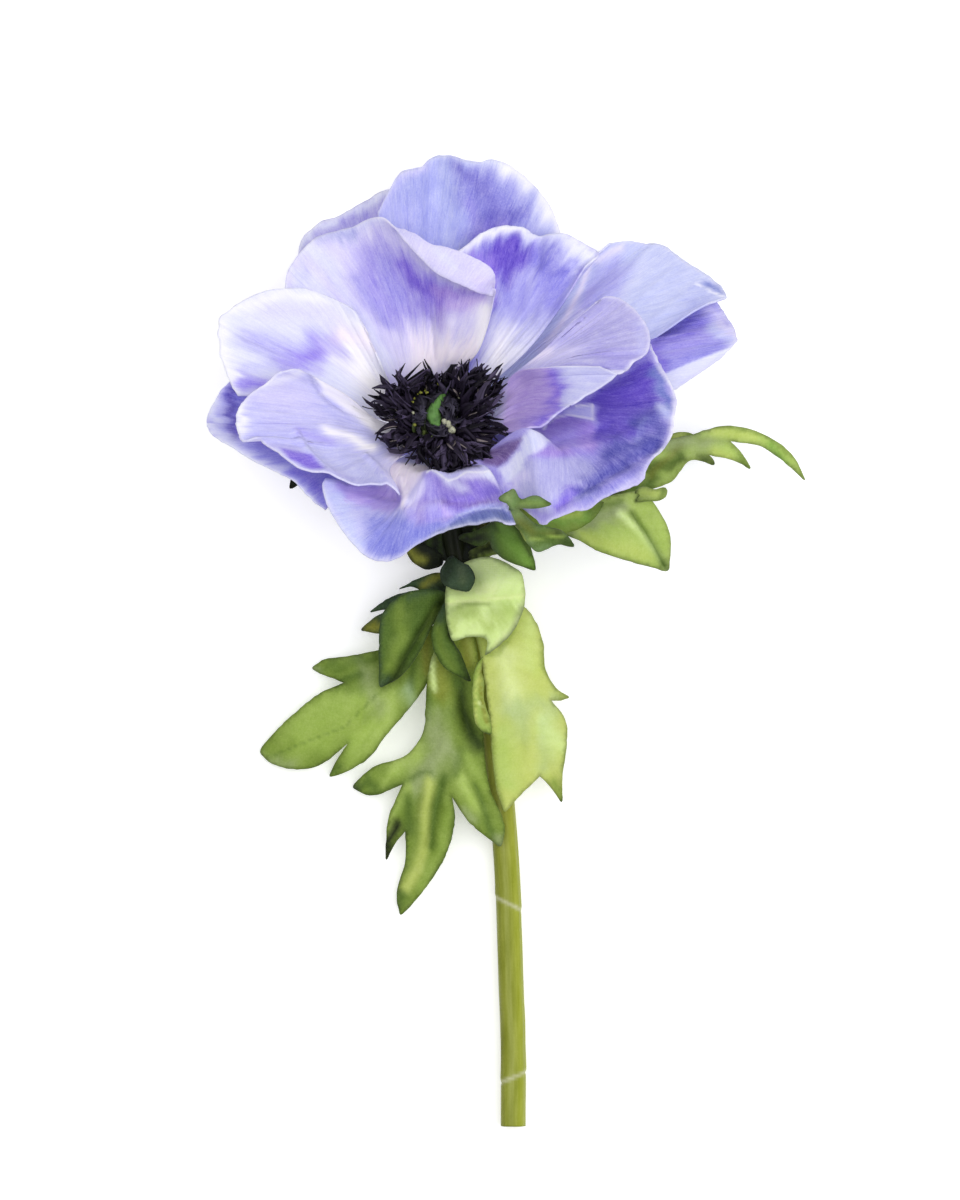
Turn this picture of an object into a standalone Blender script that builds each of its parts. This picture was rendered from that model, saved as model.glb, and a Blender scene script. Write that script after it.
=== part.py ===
"""A cut anemone, laid down on a table: stem, lobed leaves and a wide bowl of petals.

The stem lies along -Y, its neck bends up and the bloom faces up and forward. The object stands
on its cut end and on the tips of its back petals. Every control point is in millimetres from
the heart of the bloom, where the stamens grow.
"""

import math

import bmesh
import bpy
import numpy as np
from mathutils import Vector
from mathutils.geometry import delaunay_2d_cdt

MM = 0.001
HEART = (-12.2 * MM, 37.0 * MM, 20.6 * MM)

BLOOM_NORMAL = Vector((-0.08, 0.62, 0.78)).normalized()
BLOOM_RIGHT = (Vector((1, 0, 0)) - BLOOM_NORMAL * BLOOM_NORMAL.x).normalized()
BLOOM_UP = BLOOM_NORMAL.cross(BLOOM_RIGHT)

TOUCH_GAP = 0.35
PETAL_THICKNESS = 0.6
PETAL_SAMPLES_ALONG = 10
PETAL_SAMPLES_ACROSS = 11
RECEPTACLE_RADIUS = 3.9
RECEPTACLE_DEPTH = 7.0
RECEPTACLE_TOP = 0.7
PETAL_RING_RADIUS = RECEPTACLE_RADIUS + TOUCH_GAP
PETAL_LAYER_DROP = 1.15
BOWL_FLOOR_RADIUS = 9.5
BOWL_FLOOR_RISE = 1.8

LEAF_THICKNESS = 0.5
LEAF_EDGE_STEP = 2.2
LEAF_INNER_STEP = 2.8
LEAF_FOLD = 0.12
VEIN_CORE = 0.6
VEIN_SHARPNESS = 4

STEM_RADIUS = 2.2
STEM_BEVEL_RESOLUTION = 3
STEM_SAMPLES = 44
NECK_DEPTH = 11.0

PISTIL_RADIUS = 3.6
PISTIL_SIDE_HEIGHT = 1.2
PISTIL_DOME_HEIGHT = 3.6
STAMEN_RING_RADIUS = PISTIL_RADIUS + TOUCH_GAP
STAMEN_THICKNESS = 0.5
STAMEN_SPIKES = 24
STAMEN_LEAN = 1.3
SHORT_SPIKE = 0.55

# Each crown of stamens: the height of its foot, then its tips' radius and height.
STAMEN_CROWNS = {
    "stamens_inner": (3.0, 8.0, 7.6),
    "stamens_middle": (2.1, 10.2, 6.0),
    "stamens_outer": (1.2, 11.3, 4.7),
}

VIOLET = (0.30, 0.27, 0.72)
PALE_LILAC = (0.62, 0.60, 0.86)
LEAF_GREEN = (0.22, 0.36, 0.07)
DARK_GREEN = (0.07, 0.17, 0.04)
STEM_GREEN = (0.30, 0.36, 0.08)
STAMEN_BLACK = (0.012, 0.009, 0.025)
PISTIL_GREEN = (0.05, 0.10, 0.04)

# Each petal: its layer on the receptacle (0 is the innermost), the two ends of its base as
# angles round the bloom, its colour, and its ribs from one side to the other. A rib runs from
# the bowl of the bloom to the rim.
PETALS = {
    "petal_top": (3, (106, 68), VIOLET, [
        [(-7, 18, -7), (-10.5, 36.5, -10)],
        [(-5, 22, -9), (-7.5, 43, -12)],
        [(-2, 23.5, -10), (-1, 46.5, -13)],
        [(1.5, 24, -10), (6, 46, -13)],
        [(6, 24, -11), (14, 44, -14)],
        [(10, 21, -10), (19.5, 38, -14)],
        [(11, 15.5, -9), (21.5, 32, -13)],
    ]),
    "petal_back_left": (4, (146, 112), PALE_LILAC, [
        [(-15, 15.5, -8), (-24, 28.5, -13)],
        [(-14, 19, -10), (-23.5, 32.5, -17)],
        [(-12, 21.5, -12), (-19.5, 36, -20)],
        [(-9, 22.5, -13), (-12.5, 39.5, -20)],
        [(-6.5, 22, -12), (-6, 40.5, -18)],
        [(-4.5, 18, -10), (-3.5, 36.5, -15)],
    ]),
    "petal_back_right": (3, (60, 26), VIOLET, [
        [(13.5, 15.5, -8), (26.5, 29.5, -14)],
        [(16.5, 17.5, -10), (32, 32, -19)],
        [(20, 18, -10), (37.5, 32, -20)],
        [(22.5, 17, -9), (43.5, 28.5, -16)],
        [(25, 15, -7), (49.5, 22.5, -9)],
        [(25, 13, -4), (46, 19.5, -4)],
    ]),
    "petal_right": (4, (22, -8), VIOLET, [
        [(24.5, 14, -8), (47, 21, -9)],
        [(26.5, 12.5, -6), (50, 18, -5)],
        [(28, 11, -3), (51, 15, -1)],
        [(28, 8.5, 0), (49.5, 13, 2)],
        [(27, 6, 2), (43, 8.5, 3)],
    ]),
    "petal_upper_right": (2, (84, 52), VIOLET, [
        [(4, 15.5, -3.5), (3, 28, -5)],
        [(5.5, 17.5, -4.5), (6.5, 32, -6)],
        [(8, 18.5, -5), (11, 34, -7)],
        [(10.5, 18.5, -5), (16, 33.5, -8)],
        [(13.5, 18, -5), (21.5, 33.5, -9)],
        [(15.5, 16.5, -4), (27.5, 30, -10)],
        [(16.5, 14, -2), (25.5, 27, -6)],
    ]),
    "petal_upper_left": (1, (138, 100), VIOLET, [
        [(-15.5, 13.5, -2), (-23.5, 20.5, -3), (-26, 23, -3)],
        [(-15, 18, -3), (-21.5, 24, -5.5), (-25, 27.5, -6)],
        [(-12.5, 20.5, -4), (-18, 28, -7), (-21, 32, -8)],
        [(-9, 21.5, -4), (-13, 30, -7), (-15, 34, -8)],
        [(-4.5, 21.5, -3.5), (-8.5, 33, -4), (-9.5, 35.5, -4)],
        [(-1, 20.5, -2), (-3.5, 33, 1), (-4, 31, 4)],
        [(1.5, 18.5, 0), (2.5, 29.5, 5), (0.5, 26.5, 9)],
        [(4, 16, 0.5), (8.5, 26, 7), (7, 23.5, 10.5)],
        [(5, 13, -1), (9.5, 21.5, 6), (9, 20, 8)],
    ]),
    "petal_left": (0, (140, 178), VIOLET, [
        [(-10, 11.5, 1), (-12.5, 17, 1)],
        [(-12.5, 12.5, 0.5), (-18, 21.5, 0)],
        [(-15.5, 12, 0.5), (-26, 23.5, -1)],
        [(-18, 11, 1), (-32.5, 21, 1)],
        [(-20, 9, 2), (-37.5, 17, 4)],
        [(-20.5, 6, 2.5), (-37, 11, 7)],
        [(-20, 4, 3), (-34, 4.5, 9)],
    ]),
    "petal_outer_left": (2, (184, 226), VIOLET, [
        [(-20, 2, 0), (-34.5, 7, 6)],
        [(-20.5, 0, 1), (-38.5, 2.5, 7)],
        [(-20, -2.5, 2), (-38, -2, 9)],
        [(-18.5, -4.5, 3.5), (-30.5, -6, 12)],
        [(-16, -6.5, 5.5), (-23.5, -10, 15)],
        [(-13, -8, 7), (-18.5, -14.5, 18)],
    ]),
    "petal_lower_left": (0, (180, 228), PALE_LILAC, [
        [(-15.5, 5, 6.5), (-23, 9, 14)],
        [(-16.5, 3.5, 6.5), (-29, 6, 17)],
        [(-17, 1, 7), (-33, 3, 19)],
        [(-16.5, -1, 7), (-33.5, -0.5, 20)],
        [(-15.5, -3, 8.5), (-32.5, -3, 20)],
        [(-14, -5, 9.5), (-26, -6, 21)],
        [(-11, -6.5, 10.5), (-16, -9, 23)],
        [(-8, -8, 11.5), (-6, -12.5, 24)],
    ]),
    "petal_front": (1, (232, 282), VIOLET, [
        [(-7.5, -6.5, 6.5), (-11, -10, 16), (-18.5, -9.5, 20)],
        [(-6, -7, 7), (-10, -13.5, 20), (-17.5, -14.5, 25)],
        [(-4.5, -7.5, 7.5), (-7.5, -15, 23), (-14, -20.5, 29)],
        [(-3, -8, 8), (-4, -11.5, 23), (-9.5, -23.5, 31)],
        [(-1, -8, 8.5), (-1.5, -9, 22), (-2, -20, 30)],
        [(1.5, -8, 9), (2, -10, 21), (4.5, -17.5, 28)],
        [(4, -7.5, 9), (5.5, -9, 21), (10, -17, 27)],
        [(6, -7, 9), (9, -8.5, 20.5), (11.5, -16.5, 25.5)],
    ]),
    "petal_lower_right": (2, (286, 350), VIOLET, [
        [(5.5, -6, 7), (8.5, -8, 14), (9.5, -12, 17)],
        [(7.5, -5.5, 7.5), (12.5, -6, 17.5), (13.5, -14, 20.5)],
        [(8.5, -5, 8), (15.5, -1.5, 19), (17, -16.5, 27)],
        [(10.5, -4, 8), (19, -3.5, 17), (20.5, -16.5, 29)],
        [(13.5, -2.5, 6.5), (22, -5.5, 16.5), (27, -13, 28)],
        [(16, -1, 5.5), (26, -4, 15.5), (34.5, -10.5, 26)],
        [(18, 1, 4.5), (29, -0.5, 14), (39, -2.5, 21)],
        [(19, 3.5, 3.5), (30, 3, 12), (40, 3.5, 17)],
        [(19, 6, 2), (29.5, 6.5, 8.5), (38.5, 9.5, 12)],
        [(18, 8, -0.5), (27.5, 10.5, 4.5), (36.5, 13.5, 8)],
    ]),
    "petal_inner_right": (1, (40, 5), PALE_LILAC, [
        [(18.5, 13, 1), (27.5, 21.5, 7)],
        [(20, 12.5, 2), (32.5, 20.5, 9)],
        [(21, 12, 3.5), (35.5, 17, 11)],
        [(21.5, 10.5, 5), (36, 12.5, 13)],
        [(20.5, 9.5, 7), (31.5, 8.5, 14)],
        [(18.5, 8.5, 6), (28, 8.5, 13)],
    ]),
    "petal_inner_small": (0, (8, -34), VIOLET, [
        [(13, 8.5, 4), (19, 9.5, 12), (27.5, 9.5, 18)],
        [(14, 6.5, 3.5), (19.5, 7.5, 12.5), (29.5, 7.5, 19)],
        [(13.5, 4, 4), (20, 4.5, 13), (24, 3.5, 18)],
        [(13.5, 2, 5), (19, 2, 13.5), (21.5, 2, 17)],
        [(12.5, 0, 6.5), (16.5, 0, 14), (18.5, -0.5, 17)],
        [(11.5, -1.5, 8), (13.5, -1.5, 13), (15, -1, 16.5)],
    ]),
}

# Each leaf: its edge as strokes that are smooth inside and meet at tips and notches, and its
# veins, which carry the height of the blade.
LEAVES = {
    "leaf_left_broad": {
        "colour": LEAF_GREEN,
        "edge": [
            [(3, -30.5), (-2, -35), (-9, -38), (-15.5, -39.5), (-19.5, -40), (-22, -41.5)],
            [(-22, -41.5), (-20, -42.5), (-16, -44)],
            [(-16, -44), (-20.5, -46), (-25.5, -50), (-29, -53.5), (-31, -56)],
            [(-31, -56), (-28.5, -58), (-24, -59), (-20, -58), (-15.5, -54.5)],
            [(-15.5, -54.5), (-17.5, -57.5), (-19, -60.5)],
            [(-19, -60.5), (-16, -59.5), (-12, -57), (-8, -52), (-4.5, -48), (-1.5, -43.5),
             (0.5, -38.5), (3.5, -33)],
            [(3.5, -33), (3, -30.5)],
        ],
        "veins": [
            [(3.5, -31.5, -13), (-2, -39, -13), (-11, -47, -14.5), (-20.5, -53, -16.5),
             (-30.5, -56.5, -19)],
            [(-2, -39, -13), (-11, -40.5, -15), (-21.5, -41.5, -17)],
            [(-7.5, -45, -14), (-13, -54, -16.5), (-18.5, -60, -18.5)],
        ],
    },
    "leaf_left_hanging": {
        "colour": LEAF_GREEN,
        "edge": [
            [(3.5, -32), (0.5, -36.5), (-1.5, -41.5), (-2, -47), (-2.5, -52.5), (-5.5, -56.5),
             (-11, -58.5), (-15, -62)],
            [(-15, -62), (-11.5, -63.5), (-6, -61.5)],
            [(-6, -61.5), (-8.5, -67.5), (-9, -75)],
            [(-9, -75), (-7.5, -72), (-5.5, -69.5)],
            [(-5.5, -69.5), (-5.5, -74.5), (-7, -80.5), (-6.5, -84.5)],
            [(-6.5, -84.5), (-2.5, -80), (1.5, -73.5), (3, -67.5), (2.5, -63.5)],
            [(2.5, -63.5), (5.5, -68), (11, -72.5)],
            [(11, -72.5), (11, -68.5), (8, -62), (7.5, -54.5), (7, -45), (6.5, -36.5), (5.5, -32)],
            [(5.5, -32), (3.5, -32)],
        ],
        "veins": [
            [(4.5, -32, -11.5), (3, -42, -11), (2, -52, -12), (-1, -64, -14), (-4.5, -74.5, -17),
             (-6.5, -83.5, -19)],
            [(2, -52, -12), (-4, -58, -15), (-14.5, -62.5, -18.5)],
            [(0.5, -60, -13.5), (-5.5, -66, -16), (-8.5, -74.5, -18.5)],
            [(2, -52, -12), (5, -60.5, -13), (10.5, -72, -14)],
        ],
    },
    "leaf_folded_dark": {
        "colour": DARK_GREEN,
        "edge": [
            [(3, -29), (0, -28), (-3.5, -28), (-7, -29.5), (-9.5, -32.5), (-10, -37.5), (-10, -45)],
            [(-10, -45), (-6, -42.5), (-3, -38.5), (-0.5, -33.5), (3, -30)],
            [(3, -30), (3, -29)],
        ],
        "veins": [
            [(3, -29.5, -12.5), (1.5, -30, -10.5), (-2, -32, -7.5), (-6, -36, -7.5),
             (-9.5, -43.5, -11)],
        ],
    },
    "leaf_left_points": {
        "colour": DARK_GREEN,
        "edge": [
            [(2, -25.5), (0, -25), (-3, -26), (-7, -28)],
            [(-7, -28), (-4.5, -27.5), (-3, -28)],
            [(-3, -28), (-7.5, -29), (-12, -32)],
            [(-12, -32), (-9.5, -31.5), (-6.5, -31)],
            [(-6.5, -31), (-10.5, -32.5), (-13.5, -35)],
            [(-13.5, -35), (-9, -35.5), (-4, -33), (2.5, -27.5)],
            [(2.5, -27.5), (2, -25.5)],
        ],
        "veins": [
            [(2, -26.5, -12), (-1.5, -28.5, -11.5), (-6.5, -31.5, -12.5), (-13, -35, -15)],
            [(-1.5, -28.5, -11.5), (-7, -30, -12.5), (-11.5, -31.5, -14)],
            [(1.5, -26.5, -12), (-2.5, -26.5, -11.5), (-6.5, -28, -12.5)],
        ],
    },
    "leaf_narrow_dark": {
        "colour": DARK_GREEN,
        "edge": [
            [(3, -27.5), (0, -32.5), (-1, -36.5), (1, -41), (6, -44)],
            [(6, -44), (4, -39), (2, -35), (3.5, -28.5)],
            [(3.5, -28.5), (3, -27.5)],
        ],
        "veins": [
            [(3.5, -28, -11.5), (2, -30, -8.5), (0.5, -33.5, -6), (0.5, -38.5, -6),
             (5, -43.5, -8.5)],
        ],
    },
    "leaf_front_pale": {
        "colour": LEAF_GREEN,
        "edge": [
            [(3, -24.5), (5.5, -23), (9.5, -22.5), (14.5, -25)],
            [(14.5, -25), (15, -30), (13, -35), (8, -39.5)],
            [(8, -39.5), (8.5, -36.5), (5.5, -36), (2.5, -37)],
            [(2.5, -37), (1.5, -32.5), (1.5, -27.5), (2.5, -25)],
            [(2.5, -25), (3, -24.5)],
        ],
        "veins": [
            [(3.5, -24.5, -11), (4.5, -26.5, -8), (6, -28.5, -4.5), (8.5, -30, -3),
             (15, -29.5, -4)],
            [(8.5, -30, -3), (8, -35, -4), (8, -39, -6)],
        ],
    },
    "leaf_right_hanging": {
        "colour": LEAF_GREEN,
        "edge": [
            [(6, -30), (10.5, -29), (15.5, -31.5), (18, -36.5), (18.5, -41.5), (20.5, -45),
             (23, -46.5)],
            [(23, -46.5), (21, -47), (19.5, -47)],
            [(19.5, -47), (22, -50.5), (22, -56.5), (21.5, -59.5), (21.5, -65)],
            [(21.5, -65), (19.5, -62), (17.5, -60)],
            [(17.5, -60), (14, -63.5), (11.5, -66.5)],
            [(11.5, -66.5), (10, -61.5), (9, -51), (8, -42.5), (6.5, -35.5), (5.5, -31)],
            [(5.5, -31), (6, -30)],
        ],
        "veins": [
            [(6, -30, -11), (8, -34, -9), (11, -38.5, -8), (13.5, -45, -8), (14.5, -53.5, -10),
             (12.5, -65, -12.5)],
            [(13.5, -45, -8), (18.5, -45, -10), (22.5, -46.5, -12)],
            [(14, -51, -9), (18.5, -57, -12), (21.5, -64, -16)],
        ],
    },
    "leaf_right_broad": {
        "colour": LEAF_GREEN,
        "edge": [
            [(5, -21.5), (10.5, -19), (16.5, -16), (23.5, -14), (30, -12), (35, -11.5),
             (37, -13.5)],
            [(37, -13.5), (39.5, -18.5), (39.5, -25)],
            [(39.5, -25), (34, -23.5), (27.5, -21.5), (22.5, -19), (17.5, -19), (11.5, -21.5),
             (5, -23)],
            [(5, -23), (5, -21.5)],
        ],
        "veins": [
            [(5, -22, -11), (10, -20, -7), (16, -18, -3), (24.5, -16.5, 2), (31.5, -17.5, 4),
             (38.5, -24.5, -2)],
        ],
    },
    "leaf_right_curled": {
        "colour": LEAF_GREEN,
        "edge": [
            [(5.5, -19.5), (14, -17), (22.5, -13.5), (31.5, -7.5), (37.5, -3), (43.5, -1.5),
             (49.5, 0), (56, -1.5), (61, -5), (63.5, -9.5)],
            [(63.5, -9.5), (60, -6.5), (55.5, -3.5), (50, -2.5)],
            [(50, -2.5), (52, -4.5), (54, -7.5)],
            [(54, -7.5), (51, -6), (46.5, -5)],
            [(46.5, -5), (47.5, -6), (47.5, -7)],
            [(47.5, -7), (45, -6), (43, -6), (40, -9.5), (34.5, -11.5), (28, -14.5), (21, -16.5),
             (14, -19), (5.5, -21)],
            [(5.5, -21), (5.5, -19.5)],
        ],
        "veins": [
            [(5, -20.5, -13), (16, -17.5, -12), (28, -12, -10), (38, -6, -7), (47.5, -2.5, -6),
             (56, -2.5, -8), (63, -9, -14)],
            [(47.5, -2.5, -6), (51, -4.5, -8), (53.5, -7.5, -10)],
        ],
    },
    "leaf_under_bloom": {
        "colour": DARK_GREEN,
        "edge": [
            [(3.5, -18.5), (8.5, -16.5), (12, -16), (14.5, -19.5), (17, -24.5)],
            [(17, -24.5), (13, -24), (10, -22.5), (7.5, -20.5), (3.5, -19.5)],
            [(3.5, -19.5), (3.5, -18.5)],
        ],
        "veins": [
            [(3.5, -19, -10.5), (6.5, -19, -5.5), (9.5, -19.5, -2), (12.5, -21, 0),
             (16.5, -24.5, -1)],
        ],
    },
    "leaf_small_blue": {
        "colour": DARK_GREEN,
        "edge": [
            [(2, -22), (0.5, -24.5), (1, -27), (3, -28), (5.5, -28.5)],
            [(5.5, -28.5), (6.5, -26), (5, -23), (3, -21.5)],
            [(3, -21.5), (2, -22)],
        ],
        "veins": [
            [(2.5, -22, -11), (3, -24, -7.5), (3.5, -26, -3.5), (5.5, -28, -1)],
        ],
    },
    "leaf_front_star": {
        "colour": LEAF_GREEN,
        "edge": [
            [(2.5, -17), (6.5, -16.5), (10, -16.5), (12, -15.5), (12, -14), (10, -13)],
            [(10, -13), (11.5, -12), (13, -11)],
            [(13, -11), (14, -13), (16.5, -12.5), (19.5, -14)],
            [(19.5, -14), (17, -14.5), (13.5, -14.5)],
            [(13.5, -14.5), (16.5, -17), (21, -18)],
            [(21, -18), (22.5, -19.5), (23.5, -21)],
            [(23.5, -21), (20.5, -20.5), (17, -22)],
            [(17, -22), (14, -20), (10, -18.5), (3, -18.5)],
            [(3, -18.5), (2.5, -17)],
        ],
        "veins": [
            [(2.5, -17.5, -10), (6, -17.5, -3), (9.5, -17.5, 9), (12.5, -16, 20), (13, -14, 26.5),
             (13, -11.5, 28.5)],
            [(13, -14, 26.5), (15.5, -13.5, 30.5), (19, -14, 33)],
            [(13, -14, 26.5), (10.5, -13.5, 28.5)],
            [(10, -17, 11), (16.5, -18, 18), (23, -20.5, 14)],
        ],
    },
    "leaf_left_tip": {
        "colour": DARK_GREEN,
        "edge": [
            [(0.5, -20.5), (-6.5, -15), (-15, -9), (-20.5, -7), (-24, -8), (-25.5, -11)],
            [(-25.5, -11), (-23.5, -9.5), (-18.5, -10), (-6.5, -18.5), (0.5, -22)],
            [(0.5, -22), (0.5, -20.5)],
        ],
        "veins": [
            [(0.5, -21, -12.5), (-6.5, -16.5, -11), (-15, -10.5, -9), (-21, -8, -9),
             (-25.5, -10.5, -10)],
        ],
    },
    "leaf_brown": {
        "colour": DARK_GREEN,
        "edge": [
            [(1, -22), (-0.5, -21), (-3, -20), (-5.5, -21)],
            [(-5.5, -21), (-4.5, -23), (-2, -24.5), (1, -24)],
            [(1, -24), (1, -22)],
        ],
        "veins": [
            [(1, -23, -11.5), (-1.5, -22.5, -9.5), (-5, -21, -9)],
        ],
    },
}

STEM_ROUTE = [
    (13, -120.5, -18), (13, -107.5, -18), (12.5, -92, -17.5), (12, -78, -17.5), (11, -64, -17),
     (9.5, -51.5, -16), (7.5, -38.5, -15), (5.5, -30, -14), (3.5, -23, -13), (2.3, -16, -12.2),
]


def clear_scene():
    for item in list(bpy.data.objects):
        bpy.data.objects.remove(item, do_unlink=True)


def make_material(name, colour, roughness):
    material = bpy.data.materials.new(name)
    material.use_nodes = True
    shader = material.node_tree.nodes["Principled BSDF"]
    shader.inputs["Base Color"].default_value = (*colour, 1.0)
    shader.inputs["Roughness"].default_value = roughness
    shader.inputs["Metallic"].default_value = 0.0
    material.diffuse_color = (*colour, 1.0)
    return material


def smooth_line(points, count):
    """Points evenly spaced along a centripetal Catmull-Rom curve through the given points."""
    points = np.array(points, float)
    first = 2 * points[0] - points[1]
    last = 2 * points[-1] - points[-2]
    padded = np.vstack([first, points, last])
    fine = []
    for p0, p1, p2, p3 in zip(padded, padded[1:], padded[2:], padded[3:]):
        t1 = math.sqrt(np.linalg.norm(p1 - p0))
        t2 = t1 + math.sqrt(np.linalg.norm(p2 - p1))
        t3 = t2 + math.sqrt(np.linalg.norm(p3 - p2))
        for t in np.linspace(t1, t2, 24, endpoint=False):
            a1 = p0 + (p1 - p0) * t / t1
            a2 = p1 + (p2 - p1) * (t - t1) / (t2 - t1)
            a3 = p2 + (p3 - p2) * (t - t2) / (t3 - t2)
            b1 = a1 + (a2 - a1) * t / t2
            b2 = a2 + (a3 - a2) * (t - t1) / (t3 - t1)
            fine.append(b1 + (b2 - b1) * (t - t1) / (t2 - t1))
    fine.append(points[-1])
    fine = np.array(fine)
    steps = np.linalg.norm(np.diff(fine, axis=0), axis=1)
    travelled = np.concatenate([[0], np.cumsum(steps)])
    wanted = np.linspace(0, travelled[-1], count)
    return np.array([np.interp(wanted, travelled, fine[:, i]) for i in range(fine.shape[1])]).T


def across_ribs(rows, count):
    """Points evenly spaced in rib number on a uniform Catmull-Rom curve through the rows."""
    rows = np.array(rows, float)
    padded = np.vstack([2 * rows[:1] - rows[1:2], rows, 2 * rows[-1:] - rows[-2:-1]])
    line = []
    for place in np.linspace(0, len(rows) - 1, count):
        start = min(int(place), len(rows) - 2)
        t = place - start
        p0, p1, p2, p3 = padded[start:start + 4]
        line.append(
            p1 + 0.5 * t * (p2 - p0 + t * (2 * p0 - 5 * p1 + 4 * p2 - p3
                                           + t * (3 * (p1 - p2) + p3 - p0)))
        )
    return np.array(line)


def on_bloom(angle, radius, height):
    """A point at an angle round the bloom's axis, a radius from it and a height along it."""
    turned = BLOOM_RIGHT * math.cos(angle) + BLOOM_UP * math.sin(angle)
    return np.array(turned * radius + BLOOM_NORMAL * height)


def bloom_angle(point, near):
    """The angle of a point round the bloom's axis, within half a turn of another angle."""
    point = Vector(point)
    angle = math.atan2(point.dot(BLOOM_UP), point.dot(BLOOM_RIGHT))
    return angle + math.tau * round((near - angle) / math.tau)


def petal_grid(layer, base_angles, ribs):
    """Rows of points from the petal's base to its rim, each row running across the petal."""
    lines = []
    starts = np.radians(np.linspace(*base_angles, len(ribs)))
    for start, rib in zip(starts, ribs):
        base = on_bloom(start, PETAL_RING_RADIUS, -PETAL_LAYER_DROP * layer)
        turn = 0.5 * (start + bloom_angle(rib[0], start))
        rise = BOWL_FLOOR_RISE - PETAL_LAYER_DROP * layer
        floor = on_bloom(turn, BOWL_FLOOR_RADIUS, rise)
        lines.append(smooth_line([base, floor, *rib], PETAL_SAMPLES_ALONG))
    return [across_ribs(row, PETAL_SAMPLES_ACROSS) for row in np.array(lines).transpose(1, 0, 2)]


def new_object(name, mesh, material, parent, collection):
    for face in mesh.polygons:
        face.use_smooth = True
    item = bpy.data.objects.new(name, mesh)
    mesh.materials.append(material)
    item.parent = parent
    collection.objects.link(item)
    return item


def thicken(item, thickness):
    shell = item.modifiers.new("thickness", "SOLIDIFY")
    shell.thickness = thickness * MM
    shell.offset = 0.0


def make_petal(name, layer, base_angles, colour, ribs, parent, collection):
    rows = petal_grid(layer, base_angles, ribs)
    work = bmesh.new()
    verts = [[work.verts.new(point * MM) for point in row] for row in rows]
    for lower, upper in zip(verts, verts[1:]):
        for a, b, c, d in zip(lower, lower[1:], upper[1:], upper):
            work.faces.new((a, b, c, d))
    mesh = bpy.data.meshes.new(name)
    work.to_mesh(mesh)
    work.free()
    petal = new_object(name, mesh, make_material(name, colour, 0.6), parent, collection)
    thicken(petal, PETAL_THICKNESS)


def leaf_outline(strokes):
    outline = []
    for stroke in strokes:
        length = sum(math.dist(a, b) for a, b in zip(stroke, stroke[1:]))
        count = max(2, round(length / LEAF_EDGE_STEP) + 1)
        outline.extend(smooth_line(stroke, count)[:-1])
    return np.array(outline)


def inside(point, outline):
    x, y = point
    crossings = 0
    for (x0, y0), (x1, y1) in zip(outline, np.roll(outline, -1, axis=0)):
        if (y0 > y) != (y1 > y) and x < x0 + (y - y0) * (x1 - x0) / (y1 - y0):
            crossings += 1
    return crossings % 2 == 1


def inner_points(outline):
    """A staggered grid of points inside the outline, clear of its edge."""
    low, high = outline.min(axis=0), outline.max(axis=0)
    found = []
    row_step = LEAF_INNER_STEP * math.sqrt(0.75)
    for number, y in enumerate(np.arange(low[1], high[1], row_step)):
        shift = 0.5 * LEAF_INNER_STEP * (number % 2)
        for x in np.arange(low[0] + shift, high[0], LEAF_INNER_STEP):
            clear = np.linalg.norm(outline - (x, y), axis=1).min() > 0.6 * LEAF_INNER_STEP
            if clear and inside((x, y), outline):
                found.append((x, y))
    return found


def blade_height(point, veins):
    """Height of a leaf's blade: that of the nearest veins, with a fold along each of them."""
    total = 0.0
    weights = 0.0
    nearest = math.inf
    for vein in veins:
        for a, b in zip(vein, vein[1:]):
            run = b[:2] - a[:2]
            along = np.clip(np.dot(point - a[:2], run) / np.dot(run, run), 0, 1)
            away = np.linalg.norm(a[:2] + along * run - point)
            weight = 1 / (away + VEIN_CORE) ** VEIN_SHARPNESS
            total += weight * (a[2] + along * (b[2] - a[2]))
            weights += weight
            nearest = min(nearest, away)
    return total / weights + LEAF_FOLD * nearest


def make_leaf(name, colour, strokes, veins, parent, collection):
    outline = leaf_outline(strokes)
    veins = [smooth_line(vein, 4 * len(vein)) for vein in veins]
    flat = [Vector(point) for point in [*outline, *inner_points(outline)]]
    face = list(range(len(outline)))
    points, _, triangles, *_ = delaunay_2d_cdt(flat, [], [face], 1, 1e-5)
    work = bmesh.new()
    verts = [
        work.verts.new(Vector((p.x, p.y, blade_height(np.array(p), veins))) * MM) for p in points
    ]
    for triangle in triangles:
        work.faces.new([verts[i] for i in triangle])
    bmesh.ops.recalc_face_normals(work, faces=work.faces[:])
    mesh = bpy.data.meshes.new(name)
    work.to_mesh(mesh)
    work.free()
    leaf = new_object(name, mesh, make_material(name, colour, 0.6), parent, collection)
    thicken(leaf, LEAF_THICKNESS)


def make_stem(parent, collection):
    curve = bpy.data.curves.new("stem", "CURVE")
    curve.dimensions = "3D"
    curve.bevel_depth = STEM_RADIUS * MM
    curve.bevel_resolution = STEM_BEVEL_RESOLUTION
    curve.use_fill_caps = True
    neck = [BLOOM_NORMAL * -depth for depth in (NECK_DEPTH, RECEPTACLE_DEPTH + TOUCH_GAP)]
    route = smooth_line([*STEM_ROUTE, *neck], STEM_SAMPLES)
    spline = curve.splines.new("POLY")
    spline.points.add(len(route) - 1)
    for point, place in zip(spline.points, route):
        point.co = (*(place * MM), 1.0)
    curve.materials.append(make_material("stem", STEM_GREEN, 0.5))
    stem = bpy.data.objects.new("stem", curve)
    stem.parent = parent
    collection.objects.link(stem)


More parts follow.
